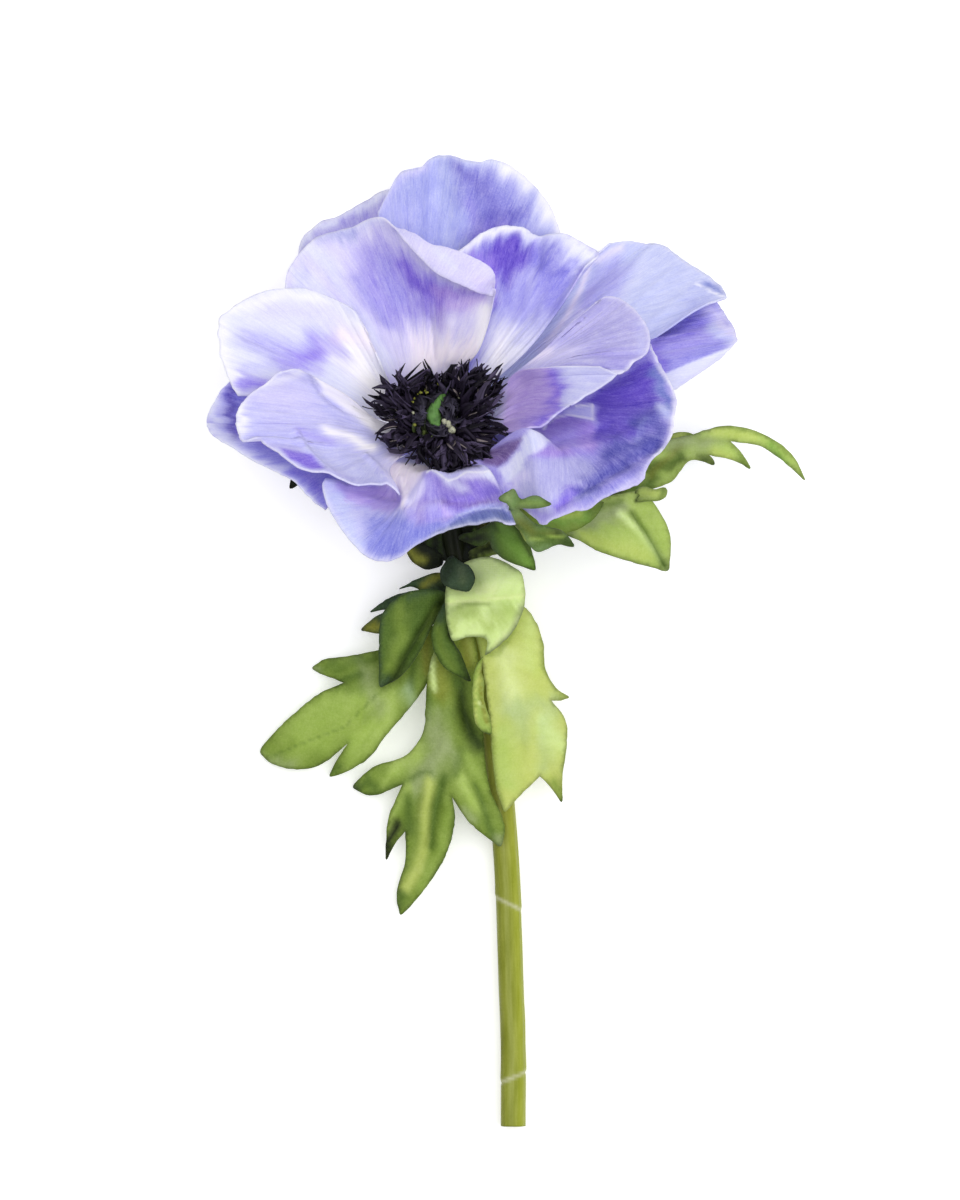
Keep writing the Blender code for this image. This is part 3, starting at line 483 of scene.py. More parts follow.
# The petals' rims where they are ruffled: a place in plan, and a lift off the plain rim.
RIMS = {
    "petal_top": [
        (-10.25, 36.5, 0), (-8.5, 40.25, 0.4), (-6.5, 43.5, 0), (-4.5, 44.25, 0.8), (-2.5, 44.75, 0.4),
        (-1, 46.25, -0.6), (0.5, 46.75, -0.8), (3, 46.5, 0), (5, 45.75, 0.8), (7.25, 45.5, 1),
        (9.25, 46, 0.2), (11.5, 45.5, -0.4), (14.25, 43.75, 0), (16.75, 41.5, 0.3), (19.25, 38.25, 0),
        (20.75, 34.75, -0.3),
    ],
    "petal_back_left": [
        (-24, 29.25, 0), (-23.5, 32.25, 0.3), (-22, 34, 0), (-20, 35.75, -0.4), (-18.75, 36, 0.3),
        (-16.5, 37.25, 0), (-13.25, 39, -0.3), (-10.5, 40.5, 0), (-8.75, 41.25, 0),
    ],
    "petal_left": [
        (-11.25, 14, 0), (-13, 17.75, 0), (-14.5, 19.75, 0.4), (-16.75, 21, 0), (-20, 22.5, -0.5),
        (-22.75, 23.25, 0), (-25.75, 23.25, 0.5), (-28.5, 23, 0), (-31, 22, -0.4), (-33.25, 20.75, 0),
        (-35.5, 19.25, 0.6), (-37, 18, 0), (-37, 16.75, -0.3), (-37.25, 15.5, 0), (-36.75, 14, 0.2),
        (-36.75, 12, -0.1), (-36, 10, 0), (-35, 7.5, 0.6), (-33.5, 4.75, 0),
    ],
    "petal_outer_left": [
        (-35, 7, 0), (-36.25, 6, 0), (-37.25, 4.25, 0.3), (-38.25, 2.25, 0), (-38.75, 0.75, -0.3),
        (-38.5, -1, 0), (-37.75, -2, 0.3), (-35.25, -3.5, 0), (-32.25, -5.25, -0.3), (-29.25, -6.75, 0),
        (-26.25, -8.25, 0.3), (-24, -9.5, 0), (-22.25, -11, 0), (-20.5, -12.75, 0),
    ],
    "petal_lower_left": [
        (-23, 9, 0), (-24.75, 8.75, 0.4), (-26.75, 8, 0), (-29, 6.25, -0.4), (-30.75, 5, 0),
        (-32.25, 3.5, 0.5), (-33.25, 1.75, 0), (-33.5, -0.5, -0.6), (-33.25, -1.75, 0), (-32.25, -3, 0.5),
        (-31, -2.75, 1.2), (-30, -2.5, 0.6), (-29, -3.5, -0.6), (-27.5, -4.5, -0.4), (-25, -6.25, 0),
        (-22.75, -7.5, 0), (-20.5, -8.25, 0), (-18, -8.5, 0.4), (-14.75, -10, 0), (-11.75, -10.5, -0.6),
        (-8.25, -10.75, -0.3), (-6.75, -11.25, 0), (-5.75, -12.5, 0),
    ],
    "petal_front": [
        (-18.5, -9.25, 0), (-19, -10.5, 0.8), (-18.5, -13.25, 0), (-17.25, -16, -0.4), (-15.75, -18.25, 0),
        (-13.5, -20.75, 0.4), (-11.5, -22.5, 0), (-9.5, -23.25, -0.4), (-7.75, -23.25, 0),
        (-5.5, -22.25, 0.5), (-3.75, -21, 0), (-1.25, -19.5, -0.5), (1.5, -18.25, 0), (4.25, -17.5, 0.4),
        (7.25, -17.25, 0), (9.75, -16.75, 0), (11.75, -17, 0), (13.75, -17, 0),
    ],
    "petal_lower_right": [
        (16.5, -16.25, 0), (17.5, -17.25, 0.4), (19.5, -16.25, 0), (22.25, -15.25, -0.4), (25, -14.75, 0),
        (27.25, -13.25, 0.4), (30, -11.75, 0), (32.5, -11, -0.4), (34, -10.25, 0), (35, -8.25, 0.8),
        (36, -6.5, 0.4), (37.75, -5, -0.6), (38.75, -3.25, -0.3), (39.5, -1, 0.3), (40, 2, 0),
        (40.25, 4, -0.4), (39.75, 5.75, 0), (39, 7.5, 0.4), (37.75, 9.75, 0), (36.75, 12, 0),
    ],
    "petal_inner_right": [
        (26, 20.25, 0), (28, 21.5, 0.3), (30.5, 21.25, 0), (33, 19.75, -0.4), (34.75, 17.5, 0),
        (35.75, 15.25, 0.4), (35.75, 12.75, 0), (35, 11, -0.6), (33.25, 10, 0.6), (31.75, 8.5, -0.5),
        (30.25, 8, 0.3),
    ],
    "petal_inner_small": [
        (27.5, 9.25, 0), (29.25, 8.5, 0.2), (30.25, 8, 0), (27.5, 5.75, 0), (24.75, 4, 0), (23.5, 3, 0.3),
    ],
    "petal_upper_right": [
        (3.5, 29.75, 0), (5.5, 31.25, 0.3), (7.25, 32.75, 0.5), (9.25, 33.75, 0.2), (11.75, 34.25, 0),
        (14.5, 34, -0.5), (16.5, 33, -0.9), (18, 32.75, -0.9), (20.25, 33, 0), (21.75, 33, 0.4),
        (24.5, 31.75, 0), (27.25, 30.25, 0),
    ],
    "petal_back_right": [
        (28, 30.25, 0), (30.25, 31.75, 0.3), (33.25, 32.25, 0), (36.25, 32, -0.3), (39, 31.5, 0),
        (41.75, 29.5, 0.4), (44.5, 27.5, 0), (46.75, 26, -0.4), (48.75, 24, 0), (49.5, 22.25, 0.6),
    ],
    "petal_right": [
        (48, 21, 0), (49.25, 19, 0), (50.75, 16, 0.3), (51, 14.5, 0),
    ],
}

# Folds pressed into petals and leaves: a line in plan, the fold's reach and its height.
FOLDS = {
    "petal_top": [
        ([(5.5, 39), (7, 28.5)], 2.4, 0.7),
        ([(0.5, 40.5), (1.5, 30.5)], 2, -0.5),
        ([(13.5, 40.5), (11.5, 30.5)], 2.4, -0.7),
    ],
    "petal_upper_left": [
        ([(-21.5, 26.5), (-16.5, 21.5), (-12.5, 16.5)], 1.2, -0.8),
        ([(-18.5, 29), (-10.5, 19.5)], 1.4, 0.5),
        ([(-1, 18), (-0.5, 11)], 0.5, -0.35),
        ([(2.5, 17), (2, 11)], 0.5, 0.3),
    ],
    "petal_left": [
        ([(-32, 16), (-23.5, 12.5), (-15, 10)], 1.7, -0.7),
    ],
    "petal_lower_left": [
        ([(-21, 8.5), (-20, 6.5), (-19, 4.5), (-15.5, 2), (-12, 1)], 0.3, -0.5),
        ([(-24, -2), (-22.5, -3.5), (-21.5, -5), (-20.5, -6), (-18, -8)], 0.4, 0.6),
        ([(-12, -5.5), (-9.5, -8.5), (-8, -11)], 0.5, 0.5),
        ([(-18.5, -5.5), (-13, -9.5)], 1.5, -0.8),
        ([(-29.5, 0.5), (-18, -0.5)], 2, 0.8),
    ],
    "petal_front": [
        ([(-5, -15), (-6, -9.5)], 0.6, 0.7),
        ([(-14.5, -10.5), (-7, -12)], 1.4, -0.8),
        ([(-4, -16.5), (0.5, -14), (5.5, -13)], 1, 0.6),
        ([(0.5, -15.5), (9, -14)], 0.9, -0.7),
    ],
    "petal_lower_right": [
        ([(20, -14), (27.5, -9.5), (36.5, -4.5)], 0.7, -0.9),
        ([(23, -14.5), (31.5, -9.5), (37.5, -6.5)], 0.7, 0.5),
        ([(20.5, -5.5), (31, -3), (37.5, 1.5)], 0.9, 0.5),
        ([(20.5, -3), (29, -0.5)], 0.7, -0.4),
    ],
    "petal_upper_right": [
        ([(16.5, 32.5), (17, 28)], 1.2, -0.9),
        ([(11.5, 30), (10.5, 20)], 1.5, 0.5),
        ([(21, 28), (17.5, 18)], 1, 0.5),
    ],
    "petal_back_right": [
        ([(36.5, 30.5), (28, 21.5)], 0.5, 0.25),
        ([(41, 28), (31.5, 18.5)], 0.5, 0.25),
        ([(33, 31), (26, 23.5)], 0.5, -0.2),
        ([(45, 25), (35, 16.5)], 0.7, 0.3),
    ],
    "petal_inner_right": [
        ([(34.5, 16), (26, 12.5)], 1.7, -0.3),
    ],
    "leaf_left_broad": [
        ([(-23.5, -53), (-17, -49), (-9, -45)], 2.7, 1.3),
        ([(-18.5, -54.5), (-11, -50.5)], 1.7, -0.6),
        ([(-15, -57.5), (-10, -53.5)], 1.4, 0.7),
        ([(-20.5, -41.5), (-11.5, -40)], 1.2, 0.8),
    ],
    "leaf_left_hanging": [
        ([(-1.5, -61.5), (-2.5, -69.5), (-4.5, -77), (-6, -81.5)], 1, 1.3),
        ([(0.5, -61.5), (-0.5, -66.5), (-1.5, -72)], 0.8, -0.8),
        ([(2, -66), (0.5, -72.5)], 1, 0.6),
        ([(-7.5, -66.5), (-8, -71)], 0.7, 0.5),
        ([(-12.5, -61), (-7.5, -59.5)], 1.2, 0.9),
        ([(6.5, -61.5), (8.5, -66.5)], 0.7, -0.7),
        ([(4, -61.5), (7.5, -66)], 0.9, 0.7),
        ([(2, -47), (1.5, -53)], 1.5, 0.8),
        ([(4, -45), (5.5, -53)], 0.9, -0.8),
    ],
    "leaf_folded_dark": [
        ([(0.5, -30), (-2.5, -34.5), (-5.5, -39.5), (-8.5, -44)], 0.7, -1.6),
        ([(-5.5, -32), (-7, -38.5)], 1.4, 1),
    ],
    "leaf_narrow_dark": [
        ([(2, -30), (1, -36.5), (4, -41.5)], 0.7, 0.8),
    ],
    "leaf_front_pale": [
        ([(1.5, -30.5), (5.5, -30), (15, -29)], 0.5, -0.7),
        ([(4, -33.5), (11.5, -32.5)], 1.5, 0.9),
        ([(14.5, -31), (13, -35), (10.5, -37.5), (8, -39.5)], 0.7, -0.8),
        ([(5.5, -26.5), (13.5, -26.5)], 1.4, 0.5),
    ],
    "leaf_right_hanging": [
        ([(12, -38.5), (13, -47)], 2.4, 1),
        ([(10, -47.5), (19.5, -47)], 1.2, -0.35),
        ([(16, -53), (18.5, -57)], 2, 0.9),
        ([(11.5, -53.5), (12, -62.5)], 1.4, 0.5),
    ],
    "leaf_right_broad": [
        ([(33, -15), (35.5, -19), (38.5, -24)], 0.5, -1.1),
        ([(31, -15), (36, -21.5)], 1, 0.7),
        ([(27.5, -18), (34.5, -22)], 2, 0.9),
        ([(37, -15.5), (38.5, -20.5)], 1, 0.5),
    ],
    "leaf_right_curled": [
        ([(45, -1.5), (52, -1.5), (58, -3.5), (61, -7.5)], 0.7, 0.8),
        ([(37.5, -7.5), (43, -3)], 0.9, 0.5),
        ([(39.5, -8.5), (43, -4.5)], 0.7, -0.4),
    ],
    "leaf_under_bloom": [
        ([(10.5, -18), (14, -23)], 1.5, 0.9),
    ],
    "leaf_front_star": [
        ([(13, -14.5), (19, -13.5)], 0.7, 0.5),
        ([(18, -16.5), (23, -16.5)], 1, 0.5),
    ],
}

# The colours on each petal and leaf: the ground colour, then strokes of another colour, each a line
# in plan with its reach and its strength. A line that ends where it began is a filled patch.
# Besides dye, the strokes paint shade and shadow where parts overlap, in creases and under the
# bloom, and highlights along crests and rolled rims.
DYES_AND_SHADING = {
    "petal_top": ("sky_violet", [
        ([(1, 43.5), (1.5, 39), (2, 32.5)], 1.9, "pale_blue", 0.55),
        ([(-9, 38.5), (-5.5, 36.5)], 2.4, "lavender", 0.35),
        ([(2.5, 46), (6, 45.5), (10.5, 42.5), (14, 39), (17, 34.5), (16, 32.5), (11.5, 34), (7.5, 32),
          (5, 36.5), (3.5, 41.5), (2.5, 46)], 1.9, "slate_violet", 0.75),
        ([(7, 35), (13, 36.5)], 1.5, "shade_violet", 0.7),
        ([(3.5, 45), (7, 41.5), (10.5, 37)], 1.2, "steel_violet", 0.3),
        ([(5.5, 38), (6.5, 33)], 1, "lilac", 0.5),
        ([(11.5, 43), (14.5, 39.5)], 1, "periwinkle", 0.5),
        ([(5.5, 32.5), (11.5, 34.5)], 1.2, "violet", 0.45),
        ([(10.5, 46), (14.5, 43.5), (18, 40), (20, 34)], 2.6, "white", 0.5),
        ([(10.5, 46), (15, 43.5), (18.5, 40.5), (20.5, 34)], 1.5, "white", 0.95),
        ([(-1, 46.5), (3, 46.5), (10.5, 45.5)], 0.8, "pale_blue", 0.7),
        ([(-6.5, 43.5), (-2.5, 44.5)], 0.8, "pale_lilac", 0.6),
        ([(-10, 37), (-8, 40.5), (-6, 43)], 0.7, "lavender", 0.6),
    ]),
    "petal_back_left": ("grey_lilac", [
        # Painted shade where the upper left petal lies over it.
        ([(-18.5, 33), (-9, 38)], 1.5, "lilac", 0.45),
        ([(-23.5, 30.5), (-22, 33.5), (-18.5, 35.5), (-13, 38.5), (-8.5, 41)], 0.9, "mist", 0.85),
    ]),
    "petal_upper_left": ("pale_lilac", [
        ([(-24.5, 28), (-21.5, 31), (-17.5, 28), (-15, 23), (-10.5, 16.5), (-7.5, 10), (-11, 10),
          (-14.5, 18.5), (-19, 21.5), (-25.5, 22.5), (-24.5, 28)], 1.5, "mist", 0.85),
        ([(-23.5, 28), (-23, 24)], 1.2, "grey_mist", 0.5),
        # Painted shade on the rolled upper corner.
        ([(-19.5, 32), (-14.5, 32.5)], 1.4, "grey_blue", 0.9),
        ([(-22.5, 28), (-18.5, 24.5), (-16.5, 21.5)], 1, "pale_lilac", 0.8),
        ([(-14.5, 34.5), (-9.5, 35)], 1, "grey_mist", 0.8),
        ([(-13, 30), (-9.5, 32.5), (-6, 30), (-1.5, 26.5), (3, 24), (7, 23), (5, 21.5), (2, 20), (0, 17.5),
          (-2, 16.5), (-6, 17), (-8.5, 16.5), (-12, 21), (-14, 26), (-13, 30)], 2.6, "lilac", 0.95),
        ([(-14, 25), (-11, 20.5), (-8, 17)], 0.9, "periwinkle", 0.5),
        ([(-9, 28), (-7, 21.5)], 1.5, "periwinkle", 0.5),
        ([(-5.5, 27.5), (-3.5, 25.5), (-1.5, 23.5), (0, 21.5)], 1.9, "violet", 0.95),
        ([(-4, 25), (-1, 23)], 1.2, "deep_violet", 0.4),
        ([(-2, 20.5), (-1, 18.5)], 1, "violet", 0.4),
        ([(0.5, 22.5), (6.5, 23)], 1.2, "orchid", 0.85),
        ([(2, 20.5), (7.5, 21.5)], 1.5, "pink_lilac", 0.75),
        ([(0.5, 20), (1, 17)], 1, "orchid", 0.4),
        ([(-2.5, 12), (7.5, 12.5)], 3.1, "rose_white", 1),
        ([(-9, 15), (-6.5, 12.5)], 1.4, "pale_lilac", 0.6),
        ([(-13, 16.5), (-8.5, 10)], 1.4, "mist", 0.7),
        ([(8, 19.5), (7.5, 13.5)], 1.2, "bright_white", 0.9),
        # Painted shade along the edge of the rolled flap.
        ([(-6, 29.5), (-3, 26.5), (0, 24.5), (4, 22.5), (8, 22)], 0.5, "lilac", 0.45),
        ([(-7, 34.5), (-4.5, 34), (-1, 31.5), (3, 29.5), (7.5, 27.5), (10, 24.5), (9, 20.5), (8, 23),
          (5.5, 23), (2, 24.5), (-1, 26), (-4.5, 29.5), (-6, 32.5), (-7, 34.5)], 0.6, "pale_lilac", 0.95),
        ([(0, 29), (3, 27)], 1, "mist", 0.9),
        ([(-6.5, 33.5), (-3.5, 32)], 0.9, "lavender", 0.7),
        # Painted shade along the edge of the rolled flap.
        ([(-4.5, 30), (-1, 26.5), (2, 24.5), (5.5, 23.5), (8.5, 23.5)], 0.5, "grey_lilac", 0.55),
        ([(7, 24.5), (9.5, 23.5)], 0.9, "pink_lilac", 0.35),
        ([(-10, 34.5), (-6.5, 33)], 1, "grey_lilac", 0.4),
    ]),
    "petal_left": ("mist", [
        ([(-29.5, 20), (-16.5, 18)], 2.4, "pale_lilac", 0.55),
        ([(-21, 12.5), (-16.5, 13.5)], 1.7, "lilac", 0.85),
        ([(-17, 12.5), (-14.5, 10)], 1.5, "pale_lilac", 0.5),
        ([(-34.5, 15), (-31, 16), (-24.5, 15), (-18, 16), (-15.5, 15), (-17, 11.5), (-20, 9.5),
          (-23.5, 9.5), (-27, 10.5), (-32, 12.5), (-34.5, 15)], 1.7, "lavender", 0.85),
        ([(-32.5, 14), (-26, 12.5)], 1.2, "lilac", 0.35),
        ([(-24, 11.5), (-19, 12.5)], 2, "bright_lilac", 0.95),
        ([(-22, 12), (-20, 12.5)], 1, "violet", 0.35),
        ([(-17.5, 15), (-15.5, 15.5)], 1.2, "pink_lilac", 0.5),
        ([(-26, 10), (-20, 9)], 1.2, "bright_lilac", 0.5),
        ([(-33, 7), (-29.5, 6.5)], 1.4, "bright_lilac", 1),
        ([(-32, 9.5), (-27.5, 10)], 1, "lavender", 0.6),
        ([(-36.5, 17), (-36.5, 12), (-34, 5)], 1.3, "white", 0.95),
        ([(-35, 19.5), (-26, 22.5), (-17.5, 20.5), (-12.5, 16)], 1, "white", 0.8),
        ([(-15, 12.5), (-9, 5)], 2.7, "bright_white", 0.95),
        ([(-15.5, 16), (-11, 13.5)], 1.4, "rose_white", 0.8),
    ]),
    "petal_outer_left": ("periwinkle", [
        ([(-34.5, 5.5), (-35, 1.5), (-34.5, -2.5)], 1.2, "steel_violet", 0.8),
        # A painted contact shadow under the edge of the lower left petal.
        ([(-33.5, -1.5), (-29.5, -3), (-23, -5.5)], 0.6, "deep_violet", 0.7),
        ([(-23, -8), (-19.5, -11)], 1, "violet", 0.4),
        ([(-37.5, 4), (-38, 0.5), (-37.5, -2.5), (-32.5, -5), (-26.5, -8.5), (-21, -13)], 1.2, "mist",
          0.9),
        ([(-36.5, 3), (-36.5, -1)], 0.9, "lavender", 0.6),
    ]),
    "petal_lower_left": ("lavender", [
        ([(-25.5, 9), (-29.5, 5), (-29.5, -0.5), (-23, -1), (-18, -0.5), (-20, 4), (-22, 7), (-25.5, 9)],
          1.4, "pale_lilac", 0.5),
        ([(-32, 4), (-23, 4.5)], 1.5, "pale_lilac", 0.5),
        ([(-29, 1), (-19.5, 0)], 1.2, "lavender", 0.5),
        # A thin line of painted shade along the small fold.
        ([(-22, 9), (-21, 7), (-20, 5), (-18, 3), (-14.5, 1.5)], 0.2, "lilac_grey", 0.9),
        ([(-20.5, 8), (-19.5, 5), (-17, 3.5), (-14, 1.5), (-11, -1), (-6, -4), (-3, -7.5), (1.5, -8),
          (-3, -0.5), (-8.5, 4.5), (-17, 10), (-20.5, 8)], 0.7, "bright_white", 0.9),
        ([(-18, 6.5), (-11, 3)], 1.4, "pale_lilac", 0.25),
        ([(-23, -1.5), (-18, -3)], 0.8, "bright_lilac", 0.5),
        ([(-33, 2.5), (-33, -1.5)], 1.2, "white", 0.95),
        ([(-29.5, 6), (-23, 8.5)], 0.8, "white", 0.6),
        ([(-18, -1), (-11, -4)], 1, "bright_white", 0.9),
        ([(-28.5, -4), (-23, -5)], 0.9, "grey_lilac", 0.6),
        ([(-26, -4.5), (-21, -5.5), (-18.5, -8), (-21, -8), (-24.5, -6.5), (-26, -4.5)], 0.4, "violet",
          0.95),
        # Painted shade on the part of the rim that curls down.
        ([(-22, -4), (-18.5, -4), (-15, -4.5), (-12, -6), (-9.5, -9), (-8, -11), (-11.5, -10.5),
          (-14.5, -9.5), (-18, -8), (-20, -6), (-22, -4)], 0.5, "grey_mist", 0.9),
        ([(-15.5, -9.5), (-9, -10.5)], 0.7, "grey_blue", 0.5),
        ([(-18, -8), (-14.5, -9.5), (-9, -11)], 0.5, "grey_lilac", 0.5),
        ([(-8.5, -7.5), (-7, -11)], 1, "pale_lilac", 0.8),
        ([(-6, -5.5), (-2, -6.5)], 1.7, "rose_white", 0.9),
        ([(-7.5, -4.5), (-4, -6)], 0.8, "mauve", 0.8),
    ]),
    "petal_front": ("lavender", [
        ([(-17, -12), (-15, -17), (-12.5, -21)], 1.4, "pale_blue", 0.8),
        ([(-17.5, -9), (-14, -10), (-11, -11), (-8.5, -10.5), (-6.5, -11.5), (-5, -13), (-6.5, -14.5),
          (-8.5, -15.5), (-12, -14.5), (-15, -13), (-17.5, -9)], 0.7, "orchid_pale", 0.7),
        ([(-14.5, -12.5), (-10.5, -12.5), (-7, -13)], 0.9, "pink_lilac", 0.7),
        ([(-15, -10.5), (-10.5, -11)], 0.4, "orchid", 0.5),
        ([(-9, -21.5), (-5.5, -20.5), (-1.5, -18)], 2.2, "blue_shade", 0.95),
        ([(-11.5, -16.5), (-7, -15.5), (-0.5, -16.5), (2.5, -17), (-1, -19), (-4.5, -21), (-7.5, -23),
          (-11, -22.5), (-11.5, -16.5)], 1.2, "slate_blue", 0.9),
        ([(-5.5, -15), (-2.5, -13.5), (1.5, -13.5), (5.5, -14.5), (3.5, -15.5), (2, -17), (-1, -17),
          (-4.5, -16.5), (-5.5, -15)], 0.4, "lilac", 0.85),
        ([(-5, -14.5), (-2.5, -13.5), (0, -13.5)], 0.4, "mauve", 0.7),
        ([(-2.5, -14.5), (-2.5, -16.5)], 0.9, "mauve", 0.5),
        ([(1, -14.5), (2, -16)], 0.7, "pink_lilac", 0.6),
        ([(-8.5, -6.5), (-1.5, -7), (-1, -8.5), (-4, -11.5), (-5.5, -14.5), (-6, -14.5), (-5.5, -13),
          (-6.5, -11), (-8.5, -10.5), (-8.5, -6.5)], 0.4, "rose_white", 0.95),
        ([(-2, -8.5), (-1, -8), (0, -9), (2, -10), (4.5, -9), (6.5, -8.5), (10, -8.5), (12.5, -9.5),
          (13.5, -13), (10.5, -14), (8, -14), (5.5, -14.5), (3, -15), (0.5, -13.5), (-1.5, -13.5),
          (-3.5, -14), (-4, -12.5), (-3, -10.5), (-2, -8.5)], 0.7, "violet_shade", 0.9),
        ([(-4, -13.5), (-2.5, -10.5)], 1, "pale_lilac", 0.85),
        ([(-1.5, -9), (-0.5, -13)], 1, "lilac", 0.65),
        ([(2, -10), (3.5, -10.5), (4.5, -11.5)], 0.8, "mist", 0.5),
        ([(5, -9), (7.5, -9)], 0.9, "pale_lilac", 0.85),
        ([(8.5, -9), (11, -9.5)], 0.9, "mist", 0.95),
        ([(11.5, -10.5), (12.5, -12.5)], 1, "lavender", 0.85),
        ([(2.5, -13), (5.5, -13)], 0.9, "violet", 0.6),
        ([(6.5, -10.5), (7.5, -12.5)], 0.9, "violet", 0.5),
        ([(8.5, -12), (10.5, -11.5)], 0.8, "deep_shade", 0.7),
        ([(1, -13.5), (5, -14), (9, -13.5)], 0.4, "mauve_shade", 0.5),
        # Painted shadow on the inner wall of the bowl under the stamens.
        ([(-1.5, -7), (2, -8.5), (7.5, -7.5), (5.5, -6), (0.5, -5.5), (-1.5, -7)], 0.5, "bowl_shadow", 0.95),
        # A painted highlight along the crest where the petal bends outwards.
        ([(-1.5, -8.5), (-1, -8), (0, -8.5), (2, -10), (3.5, -9.5), (5, -8.5), (8, -8.5), (10.5, -8)], 0.2,
          "white", 0.8),
        # The rolled rim of the lip: painted shade over it, its blue over the upper part, and a painted
        # highlight along its top edge.
        ([(-1, -19), (2, -17.5), (3.5, -16), (6, -15), (8.5, -14.5), (11, -14.5), (12.5, -15), (13.5, -17),
          (10, -17), (6, -17.5), (2.5, -18.5), (-1, -19)], 0.4, "lip_shade_blue", 0.97),
        ([(1.5, -17.5), (3.5, -16), (6, -15), (8.5, -14.5), (11, -14.5), (12.5, -15.5)], 0.5, "slate_blue",
          0.75),
        ([(3.5, -16), (6, -15), (8.5, -14.5), (11, -14.5), (12.5, -15), (13.5, -16.5)], 0.2, "pale_blue",
          0.7),
    ]),
    "petal_lower_right": ("lilac", [
        ([(14, -6.5), (18, -5.5), (26, -6.5), (28, -8.5), (24.5, -10.5), (20.5, -13.5), (18, -15),
          (15.5, -13.5), (12.5, -12), (13, -9), (14, -6.5)], 1.2, "lilac_grey", 0.9),
        ([(12.5, -10.5), (15, -9.5)], 1.2, "pale_lilac", 0.8),
        ([(17.5, -14), (20, -12.5)], 1, "lavender", 0.6),
        ([(17.5, -1), (20.5, 1), (26, 0.5), (27.5, -3), (26, -5.5), (19.5, -6), (15.5, -5), (18.5, -3.5),
          (17.5, -1)], 0.7, "orchid", 0.85),
        ([(20, -4.5), (26, -4)], 0.4, "pink_lilac", 0.5),
        ([(19.5, 0), (24, 0.5)], 0.7, "orchid_shade", 0.8),
        ([(24.5, 3.5), (31.5, 8), (35.5, 10.5), (37, 8.5), (37.5, 4.5), (37, 1), (34, -2), (29.5, -4),
          (26, -3), (27, 0), (27, 3), (24.5, 3.5)], 0.7, "deep_shade", 0.97),
        ([(33, 8.5), (35.5, 6.5)], 1.4, "deep_violet", 0.7),
        ([(27.5, 4), (34, 5)], 1.9, "deep_violet", 0.8),
        ([(19.5, -3), (23, -2)], 1.2, "lilac", 0.6),
        ([(28, -6), (33.5, -3.5)], 1.9, "steel_shade", 0.95),
        ([(23, -4.5), (26, -6.5)], 1, "periwinkle", 0.5),
        ([(34, 0), (36.5, 0.5), (37, -2), (35, -4.5)], 1.7, "steel_shade", 0.9),
        ([(20, -14.5), (24, -11.5)], 0.7, "violet", 0.7),
        ([(25, -13.5), (29, -11.5), (34, -8.5)], 0.9, "periwinkle", 0.85),
        ([(23.5, -13), (26, -11.5)], 0.7, "sky_violet", 0.5),
        ([(24.5, -11.5), (28, -9), (34, -6), (37, -4)], 1.4, "steel_shade", 0.95),
        ([(22.5, -11.5), (20.5, -13.5)], 0.9, "violet", 0.5),
        ([(37, 8.5), (38.5, 5.5), (38.5, 2.5)], 1, "steel_blue", 0.9),
        ([(37, 2.5), (39, 1)], 0.8, "pale_blue", 0.7),
        ([(35, 0.5), (34, -1.5), (33.5, -3)], 0.5, "sky_violet", 0.35),
        ([(31, -11), (35, -8.5)], 0.6, "pale_lilac", 0.6),
        ([(36.5, 12.5), (37.5, 9.5), (40, 5.5), (40, 3), (39.5, -0.5), (39, -4), (36.5, -6), (35.5, -8.5)],
          0.3, "white", 0.75),
        ([(10.5, -8), (12.5, -6.5), (14, -4.5), (14.5, -2.5), (16, -1), (17.5, -1.5), (19, -3),
          (17.5, -4.5), (15.5, -5.5), (14.5, -8), (13, -9.5), (11.5, -10), (10.5, -8)], 0.5, "mist", 0.85),
        ([(15, -4), (16, -3)], 1, "pale_blue", 0.4),
        ([(21.5, 2), (24, 3), (26.5, 3), (26.5, 1), (23.5, 1), (21.5, 2)], 0.3, "lavender", 0.95),
        ([(18, -1), (18.5, 0), (20, 1), (22.5, 1.5), (26.5, 0.5)], 0.2, "white", 0.85),
        ([(23.5, 3), (26.5, 3), (26.5, 0.5)], 0.2, "white", 0.85),
        ([(20, 0.5), (22.5, 1)], 0.4, "orchid", 0.6),
        ([(7, -5.5), (11.5, -3.5), (14.5, -2.5), (13.5, -4.5), (12, -6.5), (10.5, -7.5), (8, -7),
          (7, -5.5)], 0.4, "mauve_shade", 0.95),
    ]),
    "petal_inner_right": ("grey_lilac", [
        ([(15.5, 11), (22.5, 12.5)], 1.7, "pale_lilac", 0.9),
        ([(16, 11.5), (19, 12.5)], 0.9, "rose_white", 0.5),
        ([(27.5, 12), (32.5, 10)], 1.4, "lilac", 0.6),
        ([(34.5, 16.5), (34.5, 12)], 1, "lavender", 0.7),
        ([(23.5, 16), (29.5, 19)], 1.5, "pale_lilac", 0.35),
        ([(33, 10), (31.5, 8.5), (29.5, 8.5)], 0.5, "white", 0.7),
    ]),
    "petal_inner_small": ("grey_mist", [
        ([(12.5, 9.5), (19, 9.5), (20, 7.5), (21, 4), (20, 1.5), (18, -1), (15.5, -1.5), (11, -2), (12, 4),
          (12.5, 9.5)], 0.4, "orchid_pale", 0.95),
        ([(19, 8.5), (20, 5.5), (19.5, 2), (18, -0.5)], 1.2, "violet", 0.85),
        ([(13, 8.5), (11.5, 0)], 1.4, "pink_lilac", 0.7),
        ([(15, 0), (17.5, 1)], 1, "violet", 0.4),
        ([(25, 7.5), (29, 8.5)], 1, "lavender", 0.3),
        ([(14, 9.5), (21, 9.5), (27.5, 9.5)], 0.2, "white", 0.7),
    ]),
    "petal_upper_right": ("periwinkle", [
        ([(7.5, 30.5), (10, 32.5), (13.5, 32.5), (16, 31), (15.5, 28), (13.5, 24.5), (10, 25.5), (8.5, 28),
          (7.5, 30.5)], 1.5, "deep_violet", 0.95),
